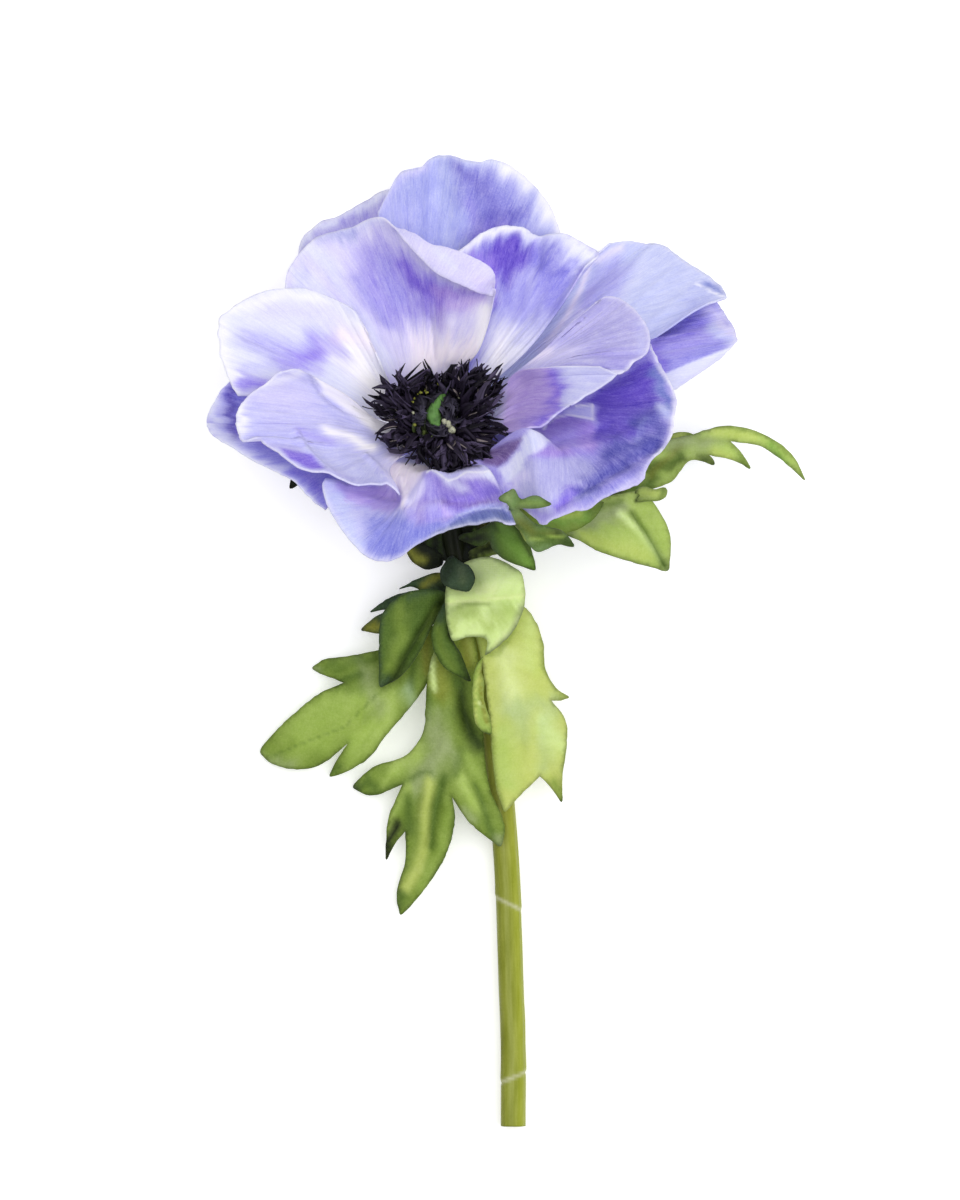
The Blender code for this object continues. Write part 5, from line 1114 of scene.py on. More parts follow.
# Each leaf: its edge, and its veins, which carry the height of the blade. The edge is made of
# strokes that are smooth inside and meet at tips and notches. Each starts where the one before
# it ended, and the last ends where the first starts.
LEAVES = {
    "leaf_left_broad": ([
        [(-2, -35), (-9, -38), (-15.5, -39.5), (-19.5, -40), (-22, -41.5)],
        [(-20, -42.5), (-16, -44)],
        [(-20.5, -46), (-25.5, -50), (-29, -53.5), (-31, -56)],
        [(-28.5, -58), (-24, -59), (-20, -58), (-15.5, -54.5)],
        [(-17.5, -57.5), (-19, -60.5)],
        [(-16, -59.5), (-12, -57), (-8, -52), (-4.5, -48), (-1.5, -43.5), (0.5, -38.5), (3.5, -33)],
        [(3, -30.5)],
    ], [
        [(3.5, -31.5, -13), (-2, -39, -13), (-11, -47, -14.5), (-20.5, -53, -16.5), (-30.5, -56.5, -19)],
        [(-2, -39, -13), (-11, -40.5, -15), (-21.5, -41.5, -17)],
        [(-7.5, -45, -14), (-13, -54, -16.5), (-18.5, -60, -18.5)],
    ]),
    "leaf_left_hanging": ([
        [(0.5, -36.5), (-1.5, -41.5), (-2, -47), (-2.5, -52.5), (-5.5, -56.5), (-11, -58.5), (-15, -62)],
        [(-11.5, -63.5), (-6, -61.5)],
        [(-8.5, -67.5), (-9, -75)],
        [(-7.5, -72), (-5.5, -69.5)],
        [(-5.5, -74.5), (-7, -80.5), (-6.5, -84.5)],
        [(-2.5, -80), (1.5, -73.5), (3, -67.5), (2.5, -63.5)],
        [(5.5, -68), (11, -72.5)],
        [(11.5, -68.5), (9, -62), (8, -54.5), (7.5, -45), (6.5, -36.5), (5.5, -32)],
        [(3.5, -32)],
    ], [
        [(4.5, -32, -11.5), (3, -42, -11), (2, -52, -12), (-1, -64, -14), (-4.5, -74.5, -17),
         (-6.5, -83.5, -19)],
        [(2, -52, -12), (-4, -58, -15), (-14.5, -62.5, -18.5)],
        [(0.5, -60, -13.5), (-5.5, -66, -16), (-8.5, -74.5, -18.5)],
        [(2, -52, -12), (5, -60.5, -13), (10.5, -72, -14)],
    ]),
    "leaf_folded_dark": ([
        [(0, -28), (-3.5, -28), (-7, -29.5), (-9.5, -32.5), (-10, -37.5), (-10, -45)],
        [(-6, -42.5), (-3, -38.5), (-0.5, -33.5), (3, -30)],
        [(3, -29)],
    ], [
        [(3, -29.5, -12.5), (1.5, -30, -10.5), (-2, -32, -7.5), (-6, -36, -7.5), (-9.5, -43.5, -11)],
    ]),
    "leaf_left_points": ([
        [(0, -25), (-3, -26), (-7, -28)],
        [(-4.5, -27.5), (-3, -28)],
        [(-7.5, -29), (-12, -32)],
        [(-9.5, -31.5), (-6.5, -31)],
        [(-10.5, -32.5), (-13.5, -35)],
        [(-9, -35.5), (-4, -33), (2.5, -27.5)],
        [(2, -25.5)],
    ], [
        [(2, -26.5, -12), (-1.5, -28.5, -11.5), (-6.5, -31.5, -12.5), (-13, -35, -15)],
        [(-1.5, -28.5, -11.5), (-7, -30, -12.5), (-11.5, -31.5, -14)],
        [(1.5, -26.5, -12), (-2.5, -26.5, -11.5), (-6.5, -28, -12.5)],
    ]),
    "leaf_narrow_dark": ([
        [(0, -32.5), (-1, -36.5), (1, -41), (6, -44)],
        [(4, -39), (2, -35), (3.5, -28.5)],
        [(3, -27.5)],
    ], [
        [(3.5, -28, -11.5), (2, -30, -8.5), (0.5, -33.5, -6), (0.5, -38.5, -6), (5, -43.5, -8.5)],
    ]),
    "leaf_front_pale": ([
        [(5.5, -23), (9.5, -22.5), (14.5, -25)],
        [(15, -30), (13, -35), (8, -39.5)],
        [(8.5, -36.5), (5.5, -36), (2.5, -37)],
        [(1.5, -32.5), (1.5, -27.5), (2.5, -25)],
        [(3, -24.5)],
    ], [
        [(3.5, -24.5, -11), (4.5, -26.5, -8), (6, -28.5, -4.5), (8.5, -30, -3), (15, -29.5, -4)],
        [(8.5, -30, -3), (8, -35, -4), (8, -39, -6)],
    ]),
    "leaf_right_hanging": ([
        [(10.5, -29), (15.5, -31.5), (18, -36.5), (18.5, -41.5), (20.5, -45), (23, -46.5)],
        [(21, -47), (19.5, -47)],
        [(22, -50.5), (22, -56.5), (21.5, -59.5), (21.5, -65)],
        [(19.5, -62), (17.5, -60)],
        [(14, -63.5), (11.5, -66.5)],
        [(10, -61.5), (9, -51), (8, -42.5), (6.5, -35.5), (5.5, -31)],
        [(6, -30)],
    ], [
        [(6, -30, -11), (8, -34, -9), (11, -38.5, -8), (13.5, -45, -8), (14.5, -53.5, -10),
         (12.5, -65, -12.5)],
        [(13.5, -45, -8), (18.5, -45, -10), (22.5, -46.5, -12)],
        [(14, -51, -9), (18.5, -57, -12), (21.5, -64, -16)],
    ]),
    "leaf_right_broad": ([
        [(10.5, -19), (16.5, -16), (23.5, -14), (30, -12), (35, -11.5), (37, -13.5)],
        [(39.5, -18.5), (39.5, -25)],
        [(34, -23.5), (27.5, -21.5), (22.5, -19), (17.5, -19), (11.5, -21.5), (5, -23)],
        [(5, -21.5)],
    ], [
        [(5, -22, -11), (10, -20, -7), (16, -18, -3), (24.5, -16.5, 2), (31.5, -17.5, 4),
         (38.5, -24.5, -2)],
    ]),
    "leaf_right_curled": ([
        [(14, -17), (22.5, -13.5), (31.5, -7.5), (37.5, -3), (43.5, -1.5), (49.5, 0), (56, -1.5), (61, -5),
         (63.5, -9.5)],
        [(60, -6.5), (55.5, -3.5), (50, -2.5)],
        [(52, -4.5), (54, -7.5)],
        [(51, -6), (46.5, -5)],
        [(47.5, -6), (47.5, -7)],
        [(45, -6), (43, -6), (40, -9.5), (34.5, -11.5), (28, -14.5), (21, -16.5), (14, -19), (5.5, -21)],
        [(5.5, -19.5)],
    ], [
        [(5, -20.5, -13), (16, -17.5, -12), (28, -12, -10), (38, -6, -7), (47.5, -2.5, -6), (56, -2.5, -8),
         (63, -9, -14)],
        [(47.5, -2.5, -6), (51, -4.5, -8), (53.5, -7.5, -10)],
    ]),
    "leaf_under_bloom": ([
        [(6.5, -18), (8.5, -17), (10, -16)],
        [(12.5, -16.5), (14.5, -18.5), (16, -21), (17, -25)],
        [(13, -23.5), (11, -22.5), (9.5, -21), (9, -19.5)],
        [(7.5, -20.5), (3.5, -19.5)],
        [(3.5, -18.5)],
    ], [
        [(3.5, -19, -10.5), (6.5, -19, -5.5), (9.5, -19, -1), (12, -20.5, 0.5), (16.5, -24.5, -1)],
    ]),
    "leaf_small_blue": ([
        [(1.5, -23), (0.5, -25), (1, -27), (3, -28), (5.5, -28.5)],
        [(6.5, -26), (5.5, -24), (3.5, -23), (3, -22)],
        [(2, -22)],
    ], [
        [(2.5, -22, -11), (3, -24, -7.5), (3.5, -26, -3.5), (5.5, -28, -1)],
    ]),
    "leaf_front_star": ([
        [(6.5, -15.5), (10, -15), (12, -15), (12, -14), (10, -13)],
        [(11.5, -12), (13, -11)],
        [(14, -13), (16.5, -12.5), (19.5, -14)],
        [(17, -14.5), (13.5, -14.5)],
        [(16.5, -17), (21, -18)],
        [(22.5, -19.5), (23.5, -21)],
        [(20.5, -20.5), (17, -22)],
        [(15, -20), (13, -16.5)],
        [(10, -16.5), (3, -17.5)],
        [(2.5, -16)],
    ], [
        [(2.5, -16.5, -10), (6, -16.5, -3), (9.5, -16, 9), (12.5, -15.5, 20), (13, -14, 26.5),
         (13, -11.5, 28.5)],
        [(13, -14, 26.5), (15.5, -13.5, 30.5), (19, -14, 33)],
        [(13, -14, 26.5), (10.5, -13.5, 28.5)],
        [(10.5, -16, 13), (16.5, -18, 18), (23, -20.5, 14)],
    ]),
    "leaf_left_tip": ([
        [(-6.5, -15), (-15, -9), (-20.5, -7), (-23.5, -7.5), (-25, -9), (-25.5, -11)],
        [(-24.5, -10.5), (-23, -9.5), (-18.5, -10), (-6.5, -18.5), (0.5, -22)],
        [(0.5, -20.5)],
    ], [
        [(0.5, -21, -12.5), (-6.5, -16.5, -11), (-15, -10.5, -9), (-21, -8, -9), (-25.5, -10.5, -10)],
    ]),
    "leaf_brown": ([
        [(-0.5, -21), (-3, -20), (-5.5, -21)],
        [(-4.5, -23), (-2, -24.5), (1, -24)],
        [(1, -22)],
    ], [
        [(1, -23, -11.5), (-1.5, -22.5, -9.5), (-5, -21, -9)],
    ]),
    "scrap_stem_curl": ([
        [(6.5, -41.5), (6, -44.5), (6, -47.5), (6.5, -51)],
        [(7.5, -52), (9.5, -53)],
        [(9, -50), (8, -47), (8, -43.5), (7.5, -41.5), (8, -39)],
    ], [
        [(8, -39.5, -7), (7, -44.5, -6.5), (7.5, -48.5, -6.5), (8.5, -52, -7)],
    ]),
    # Two dark sheets that stand for the shadow under the bloom.
    "scrap_shade_left": ([
        [(-1, -17), (-3.5, -19), (-4.5, -21)],
        [(-2.5, -22), (0.5, -23), (3, -23)],
        [(3, -16)],
    ], [
        [(3, -20, -12.5), (-1, -20, -11.5), (-4, -20.5, -11)],
    ]),
    "scrap_shade_right": ([
        [(7.5, -16), (9.5, -16.5)],
        [(10.5, -19.5), (9.5, -22), (7, -23), (4, -23)],
        [(4, -16)],
    ], [
        [(4.5, -19.5, -12), (7, -19.5, -10.5), (9.5, -19.5, -9)],
    ]),
    "scrap_broad_curl": ([
        [(35, -10.5), (37, -11), (39, -10.5)],
        [(39, -12), (37.5, -13), (35, -13), (34, -13.5)],
        [(33.5, -12.5), (33.5, -11)],
    ], [
        [(34, -12, 3.5), (36.5, -12, 5.5), (39, -11.5, 5)],
    ]),
    "scrap_curled_edge": ([
        [(41, -1), (43, -1)],
        [(44.5, -2), (43, -3.5), (40.5, -4), (39, -4)],
        [(39.5, -1.5)],
    ], [
        [(39.5, -3, -8.5), (41.5, -2.5, -7.5), (43.5, -2, -7.5)],
    ]),
    "scrap_star_back": ([
        [(15.5, -14.5), (19.5, -14.5), (24, -13.5), (28.5, -13)],
        [(27, -15.5), (24.5, -17.5), (22, -18.5)],
        [(20, -19), (17, -19), (14.5, -18.5), (13, -17)],
        [(12, -15.5), (12.5, -14)],
    ], [
        [(12.5, -16, 10), (15.5, -16.5, 11), (19.5, -16.5, 11.5), (24, -15.5, 11), (27.5, -13.5, 10)],
    ]),
}

# Bunches of stamens: their tips' place in plan, lift, spread and count.
STAMEN_BUNCHES = {
    "stamens_outer": [
        (-12, 3.8, 0.5, 0.3, 3), (-11, 4.8, 1, 0.5, 4), (-10.6, 3.3, 0.5, 0.3, 3),
        (-9.1, 6.3, 1.5, 0.5, 4), (-9.4, 2.2, 0, 0.5, 4), (-7.8, 1.2, 0, 0.5, 3), (-6.1, 8, 1.5, 0.5, 4),
        (-1.5, 10.9, 1, 0.5, 4), (0.5, 8.7, 1, 0.5, 4), (2.1, 9.2, 1, 0.5, 4), (4.3, 11, 1, 0.3, 4),
        (5.6, 10.7, 1, 0.5, 4), (8, 10.2, 1, 0.5, 5), (10.4, 9.2, 1, 0.5, 5), (11.7, 7.8, 0.5, 0.5, 5),
        (11.4, 5.5, 0, 0.5, 5), (10.4, 3.4, 0, 0.5, 4), (9.2, 0.9, 0, 0.5, 4), (10.5, -0.5, 0, 0.5, 4),
        (11.2, -2, 0.5, 0.3, 4), (14.3, -2.2, 1.5, 0.2, 3), (10.5, -3.7, 1, 0.5, 4), (9, -4.9, 1, 0.7, 5),
        (8.7, -6.2, 1, 0.7, 5), (10.2, -7.2, 3, 0.3, 4), (8.5, -7.6, 3, 0.5, 5), (6.8, -7.9, 3, 0.5, 5),
        (5.1, -8.1, 4, 0.5, 5), (3.4, -8.4, 4, 0.5, 5), (1.7, -8.9, 5, 0.3, 5), (0.2, -8.1, 4, 0.5, 5),
        (-1.3, -7.4, 3, 0.5, 4), (-2.7, -6, 2, 0.5, 4), (-10.6, -1.8, 1.5, 0.3, 4),
        (-9.3, -2.8, 1, 0.3, 4), (-7.9, -3.8, 1, 0.5, 4), (-6.1, -5, 1, 0.5, 5), (-4.4, -5.5, 1, 0.5, 4),
        (-6.1, -2.5, 2, 0.3, 3),
    ],
    "stamens_middle": [
        (-10, 5.5, 2.5, 0.5, 4), (-8.3, 7.3, 2.5, 0.5, 5), (-6.9, 7.8, 2.5, 0.5, 4), (-5.6, 9, 3, 0.5, 5),
        (-4.5, 10, 2, 0.5, 5), (-3, 9.9, 2, 0.7, 4), (-2, 9.5, 3, 0.7, 5), (-0.6, 8.5, 3, 0.5, 4),
        (1, 8.2, 3, 0.7, 4), (3.1, 9.4, 2, 0.5, 5), (4.6, 10.2, 2.5, 0.5, 5), (6.3, 9.5, 2, 0.7, 5),
        (7.8, 9.2, 2, 0.5, 5), (9.2, 9, 2, 0.5, 5), (10.7, 7.8, 2, 0.5, 5), (11.2, 6.6, 1.5, 0.5, 4),
        (10.5, 5, 1.5, 0.7, 5), (9.5, 2.4, 1, 0.7, 5), (8.5, -0.1, 1, 0.7, 5), (9.8, -2, 1, 0.5, 4),
        (8, -3.8, 2, 0.7, 5), (6.3, -5.4, 3, 0.7, 5), (4.6, -6.4, 4, 0.7, 6), (2.6, -6.7, 4, 0.7, 6),
        (0.5, -6.4, 4, 0.7, 6), (-1.2, -5.7, 3, 0.7, 5), (-2.8, -4.7, 3, 0.7, 4), (-4.9, -4, 2, 0.5, 4),
        (-7.2, -3, 2, 0.5, 4), (-8.8, -2.3, 2, 0.3, 3), (-6.6, 2.4, 2, 0.7, 5), (-5.6, 0.4, 1.5, 0.7, 5),
        (-7.9, 4.1, 2, 0.7, 5),
    ],
    "stamens_inner": [
        (-7.6, 5.8, 4, 0.7, 5), (-6.2, 7, 4, 0.7, 5), (-4.9, 8.2, 4, 0.7, 5), (-3.2, 8.7, 3.5, 0.7, 5),
        (-1.5, 8.5, 4, 0.7, 5), (0, 7.8, 4, 0.7, 5), (1.6, 7.5, 4, 0.7, 5), (3.2, 8.2, 3.5, 0.7, 5),
        (4.9, 8.5, 3.5, 0.7, 6), (6.6, 8.2, 3, 0.7, 6), (8.3, 7.5, 3, 0.7, 6), (9.3, 6.1, 3, 0.7, 5),
        (9, 4.4, 2.5, 0.7, 5), (8.2, 2.8, 2, 0.7, 5), (7.3, 1.1, 2, 0.7, 5), (7.3, -1, 2, 0.7, 5),
        (6.3, -3, 3, 0.7, 5), (4.3, -4.4, 4, 0.7, 5), (2.2, -5, 4, 0.7, 5), (0.2, -4.9, 4, 0.7, 5),
        (-1.8, -4.4, 4, 0.7, 4), (-3.9, -3.7, 3, 0.7, 4), (-4.9, -1.6, 3, 0.7, 4), (-5.9, 1.1, 3, 0.7, 4),
        (-6.6, 3.4, 4, 0.7, 5),
    ],
}

# Grains on the pistil: place in plan, size and colour.
GRAINS = [
    (-3.2, 3.8, 0.44, "grain"), (-2.7, 4.3, 0.37, "grain"), (-2.3, 4.8, 0.44, "grain"),
    (-1.8, 5.1, 0.37, "grain"), (-1.5, 4.6, 0.37, "grain"), (-1.2, 5.6, 0.44, "grain"),
    (-0.6, 6, 0.37, "grain"), (0, 6.1, 0.41, "grain"), (-3.5, 3.3, 0.34, "grain"),
    (-3.5, 1.7, 0.41, "cream"), (-3.2, 0, 0.44, "grain"), (0.8, 0.6, 0.75, "cream"),
    (1.6, 0, 0.85, "cream"), (2.1, -0.5, 0.95, "cream"), (2.6, 5.3, 0.27, "cream"),
    (3.4, 4.8, 0.27, "cream"), (3.1, 3.9, 0.27, "cream"), (1, 6.6, 0.27, "grain"),
    (3.9, 2.8, 0.24, "cream"), (1.4, -2.7, 0.51, "olive"), (-2.2, -1.6, 0.58, "olive"),
    (-1.5, -2.3, 0.44, "olive"), (-2.7, -2.3, 0.41, "olive"), (-1.8, -1, 0.41, "olive"),
    (1.7, -3.3, 0.34, "olive"), (0.2, -3.3, 0.34, "olive"),
]

# The green tongue: its line in plan with its width, and its section as shares of half the width
# and heights above the dome. Curls near the olive place are greener.
TONGUE = [
    (1.6, 5.6, 0.68), (1, 4.8, 1.28), (0.4, 3.8, 1.28), (-0.2, 2.8, 1.62), (-0.6, 1.7, 2.38),
    (-0.3, 0.7, 2.12), (0.2, -0.1, 0.85),
]
TONGUE_SECTION = [(-1, 0.5), (-0.5, 0.9), (0, 1.0), (0.5, 0.9), (1, 0.5), (0, 0.0)]
OLIVE_PLACE = np.array([-2, -2])

STEM_ROUTE = [
    (13, -120.5, -18), (13, -107.5, -18), (12.5, -92, -17.5), (12, -78, -17.5), (11, -64, -17),
    (9.5, -51.5, -16), (7.5, -38.5, -15), (5.5, -30, -14), (3.5, -23, -13), (2.3, -16, -12.2),
]
# Grooves in the stem: degrees round it, depth as a share of its radius, and reach in radians.
STEM_GROOVES = [
    (98, 0.10, 0.26), (20, 0.05, 0.22), (175, 0.06, 0.22), (250, 0.06, 0.25), (310, 0.06, 0.25),
]
# Mould marks round the stem: how far along it they are, and their slant.
STEM_SCARS = [(8.5, 0.9), (38.5, -1.2)]
# Rings on each cut end: share of the stem's radius, and colour.
CUT_END_RINGS = [(0.86, "pith_edge"), (0.55, "pith"), (0.22, "pith_core")]


# --- shapes ---------------------------------------------------------------------------------

def smooth_line(points, count):
    """Points evenly spaced along a centripetal Catmull-Rom curve through the given points."""
    points = np.array(points, float)
    padded = np.vstack([2 * points[0] - points[1], points, 2 * points[-1] - points[-2]])
    fine = []
    for p0, p1, p2, p3 in zip(padded, padded[1:], padded[2:], padded[3:]):
        t1 = math.sqrt(np.linalg.norm(p1 - p0))
        t2 = t1 + math.sqrt(np.linalg.norm(p2 - p1))
        t3 = t2 + math.sqrt(np.linalg.norm(p3 - p2))
        t = np.linspace(t1, t2, CURVE_STEPS, endpoint=False)[:, None]
        a1 = p0 + (p1 - p0) * t / t1
        a2 = p1 + (p2 - p1) * (t - t1) / (t2 - t1)
        a3 = p2 + (p3 - p2) * (t - t2) / (t3 - t2)
        b1 = a1 + (a2 - a1) * t / t2
        b2 = a2 + (a3 - a2) * (t - t1) / (t3 - t1)
        fine.append(b1 + (b2 - b1) * (t - t1) / (t2 - t1))
    fine = np.vstack([*fine, points[-1:]])
    travelled = lengths_along(fine)
    wanted = np.linspace(0, travelled[-1], count)
    return np.column_stack([np.interp(wanted, travelled, values) for values in fine.T])


def lengths_along(line):
    """How far along a line each of its points is."""
    steps = np.linalg.norm(np.diff(line, axis=0), axis=1)
    return np.concatenate([[0], np.cumsum(steps)])


def directions_along(line):
    """Unit directions along a line at each of its points."""
    runs = np.gradient(line, axis=0)
    return runs / np.linalg.norm(runs, axis=1, keepdims=True)


def across_ribs(lines, count):
    """Lines evenly spaced in rib number on uniform Catmull-Rom curves through the ribs."""
    padded = np.concatenate([2 * lines[:1] - lines[1:2], lines, 2 * lines[-1:] - lines[-2:-1]])
    made = []
    for place in np.linspace(0, len(lines) - 1, count):
        start = min(int(place), len(lines) - 2)
        t = place - start
        p0, p1, p2, p3 = padded[start:start + 4]
        bend = 2 * p0 - 5 * p1 + 4 * p2 - p3 + t * (3 * (p1 - p2) + p3 - p0)
        made.append(p1 + 0.5 * t * (p2 - p0 + t * bend))
    return np.array(made)


def on_bloom(angle, radius, height):
    """A point at an angle round the bloom's axis, a radius from it and a height along it."""
    turned = BLOOM_RIGHT * math.cos(angle) + BLOOM_UP * math.sin(angle)
    return np.array(turned * radius + BLOOM_NORMAL * height)


def bloom_angle(point, near):
    """The angle of a point round the bloom's axis, within half a turn of another angle."""
    point = Vector(point)
    angle = math.atan2(point.dot(BLOOM_UP), point.dot(BLOOM_RIGHT))
    return angle + math.tau * round((near - angle) / math.tau)


def ripple(x, y, seed):
    """Smooth noise from -1 to 1 with bumps about one unit across."""
    size = 64
    table = np.random.RandomState(seed).uniform(-1, 1, (size, size))
    x, y = np.broadcast_arrays(np.asarray(x, float), np.asarray(y, float))
    x0, y0 = np.floor(x).astype(int), np.floor(y).astype(int)
    u, v = x - x0, y - y0
    u, v = u * u * (3 - 2 * u), v * v * (3 - 2 * v)
    a, b = table[y0 % size, x0 % size], table[y0 % size, (x0 + 1) % size]
    c, d = table[(y0 + 1) % size, x0 % size], table[(y0 + 1) % size, (x0 + 1) % size]
    return (a * (1 - u) + b * u) * (1 - v) + (c * (1 - u) + d * u) * v


def blend_in(value, low, high):
    """0 below low, 1 above high and smooth between them."""
    t = np.clip((value - low) / (high - low), 0, 1)
    return t * t * (3 - 2 * t)


def distance_to_line(places, line):
    """Distances in plan to a line, and how far along it the nearest points are."""
    best = np.full(len(places), np.inf)
    along = np.zeros(len(places))
    travelled = 0.0
    line = np.array(line, float)[:, :2]
    for a, b in zip(line, line[1:]):
        run = b - a
        length = math.sqrt(run @ run)
        share = np.clip((places - a) @ run / (run @ run), 0, 1)
        away = np.linalg.norm(a + share[:, None] * run - places, axis=1)
        nearer = away < best
        best = np.where(nearer, away, best)
        along = np.where(nearer, travelled + share * length, along)
        travelled += length
    return best, along


def distance_to_points(places, points):
    """Distance from each place to the nearest of some points."""
    return np.array([np.linalg.norm(points - place, axis=1).min() for place in places])


def inside(places, outline):
    """Whether each place lies inside a closed outline."""
    x, y = places[:, :1], places[:, 1:]
    x0, y0 = outline.T
    x1, y1 = np.roll(outline, -1, axis=0).T
    with np.errstate(divide="ignore", invalid="ignore"):
        crossed = ((y0 > y) != (y1 > y)) & (x < x0 + (y - y0) * (x1 - x0) / (y1 - y0))
    return crossed.sum(axis=1) % 2 == 1


def fold_lift(name, places):
    """How far the folds pressed into a petal or leaf lift it at places in plan."""
    lift = np.zeros(len(places))
    for line, reach, height in FOLDS.get(name, []):
        away = distance_to_line(places, line)[0]
        lift += height * np.exp(-(away / reach) ** 2)
    return lift


# --- dye ------------------------------------------------------------------------------------

def colour_of(name):
    """A colour as an array, to be worked out with."""
    return np.array(COLOURS[name])


def tinted(dye, share, name):
    """Colours moved towards another colour, by a share for each of their points."""
    return dye + np.reshape(share, (-1, 1)) * (colour_of(name) - dye)


def dye_wander(places):
    """How the outlines of the strokes wander in plan, most of all along the threads out of the heart."""
    x, y = places.T / WANDER_WIDTH
    wander = np.column_stack([ripple(x, y, 5), ripple(x, y, 6)])
    out = np.linalg.norm(places, axis=1)
    turn = np.arctan2(y, x)
    feather = ripple(turn * COARSE_THREADS, out / 9, 8)
    feather += 0.7 * ripple(turn * FINE_THREADS, out / 5, 9)
    feather *= FEATHER_DEPTH * blend_in(out, FEATHER_START, FEATHER_END)
    return WANDER_SHARE * wander + (feather / (out + 1e-6))[:, None] * places


def paint(name, places):
    """Colours at places in plan: the ground, then strokes of dye and painted shade laid over it."""
    ground, strokes = DYES_AND_SHADING[name]
    dye = np.tile(COLOURS[ground], (len(places), 1))
    wander = dye_wander(places)
    for line, reach, tint, strength in strokes:
        moved = places + min(WANDER_MOST, 1.2 * reach - 0.3, reach) * wander
        away = distance_to_line(moved, line)[0]
        if line[0] == line[-1]:
            within = inside(moved, np.array(line[:-1]))
            share = blend_in(np.where(within, away, -away), -reach, reach)
        else:
            share = np.exp(-(away / reach) ** 2)
        dye = tinted(dye, strength * share, tint)
    return dye


# --- meshes and materials -------------------------------------------------------------------

def make_piece(name, points, faces, dye, cloth, materials, node, slot):
    """A piece that rides on the root body, and stands for a CAD node if one is given."""
    mesh = bpy.data.meshes.new(name)
    mesh.from_pydata((np.asarray(points) + HEART) * MM, [], [list(face) for face in faces])
    mesh.update()
    for face in mesh.polygons:
        face.use_smooth = True
    # The colours carry dye and painted shade, shadow and highlight.
    dye = np.column_stack([np.clip(dye, 0, 1), np.ones(len(dye))])
    layer = mesh.attributes.new("dye", "FLOAT_COLOR", "POINT")
    layer.data.foreach_set("color", dye.astype(np.float32).ravel())
    layer = mesh.attributes.new("cloth", "FLOAT_VECTOR", "POINT")
    layer.data.foreach_set("vector", np.asarray(cloth, np.float32).ravel())
    for material in materials:
        mesh.materials.append(material)
    piece = bpy.data.objects.new(name, mesh)
    bpy.context.scene.collection.objects.link(piece)
    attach(piece, "root")
    if node:
        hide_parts(node)
    return piece


def thicken(piece, thickness, back=0):
    """Gives a sheet its thickness, with another of its materials on the back if asked."""
    shell = piece.modifiers.new("thickness", "SOLIDIFY")
    shell.thickness = thickness * MM
    shell.offset = 0.0
    shell.material_offset = back


def grid_faces(rows, columns, first=0, closed=False):
    """Quads over a grid of rows and columns of points, closed across if it is a tube."""
    faces = []
    last = columns if closed else columns - 1
    for i in range(rows - 1):
        for j in range(last):
            k = (j + 1) % columns
            a, b = first + i * columns, first + (i + 1) * columns
            faces.append((a + j, a + k, b + k, b + j))
    return faces


def flipped(faces):
    """The faces turned to look the other way."""
    return [face[::-1] for face in faces]


def faced(faces, points, normal):
    """The faces, flipped if the first of them looks away from the normal."""
    a, b, c = (points[corner] for corner in faces[0][:3])
    return flipped(faces) if np.dot(np.cross(b - a, c - b), normal) < 0 else faces


def normals_of(grid):
    """Unit normals of a grid of points, on the side that faces out of the bloom."""
    normals = np.cross(np.gradient(grid, axis=0), np.gradient(grid, axis=1))
    normals /= np.linalg.norm(normals, axis=2, keepdims=True) + 1e-12
    return normals if (normals @ BLOOM_AXIS).mean() >= 0 else -normals


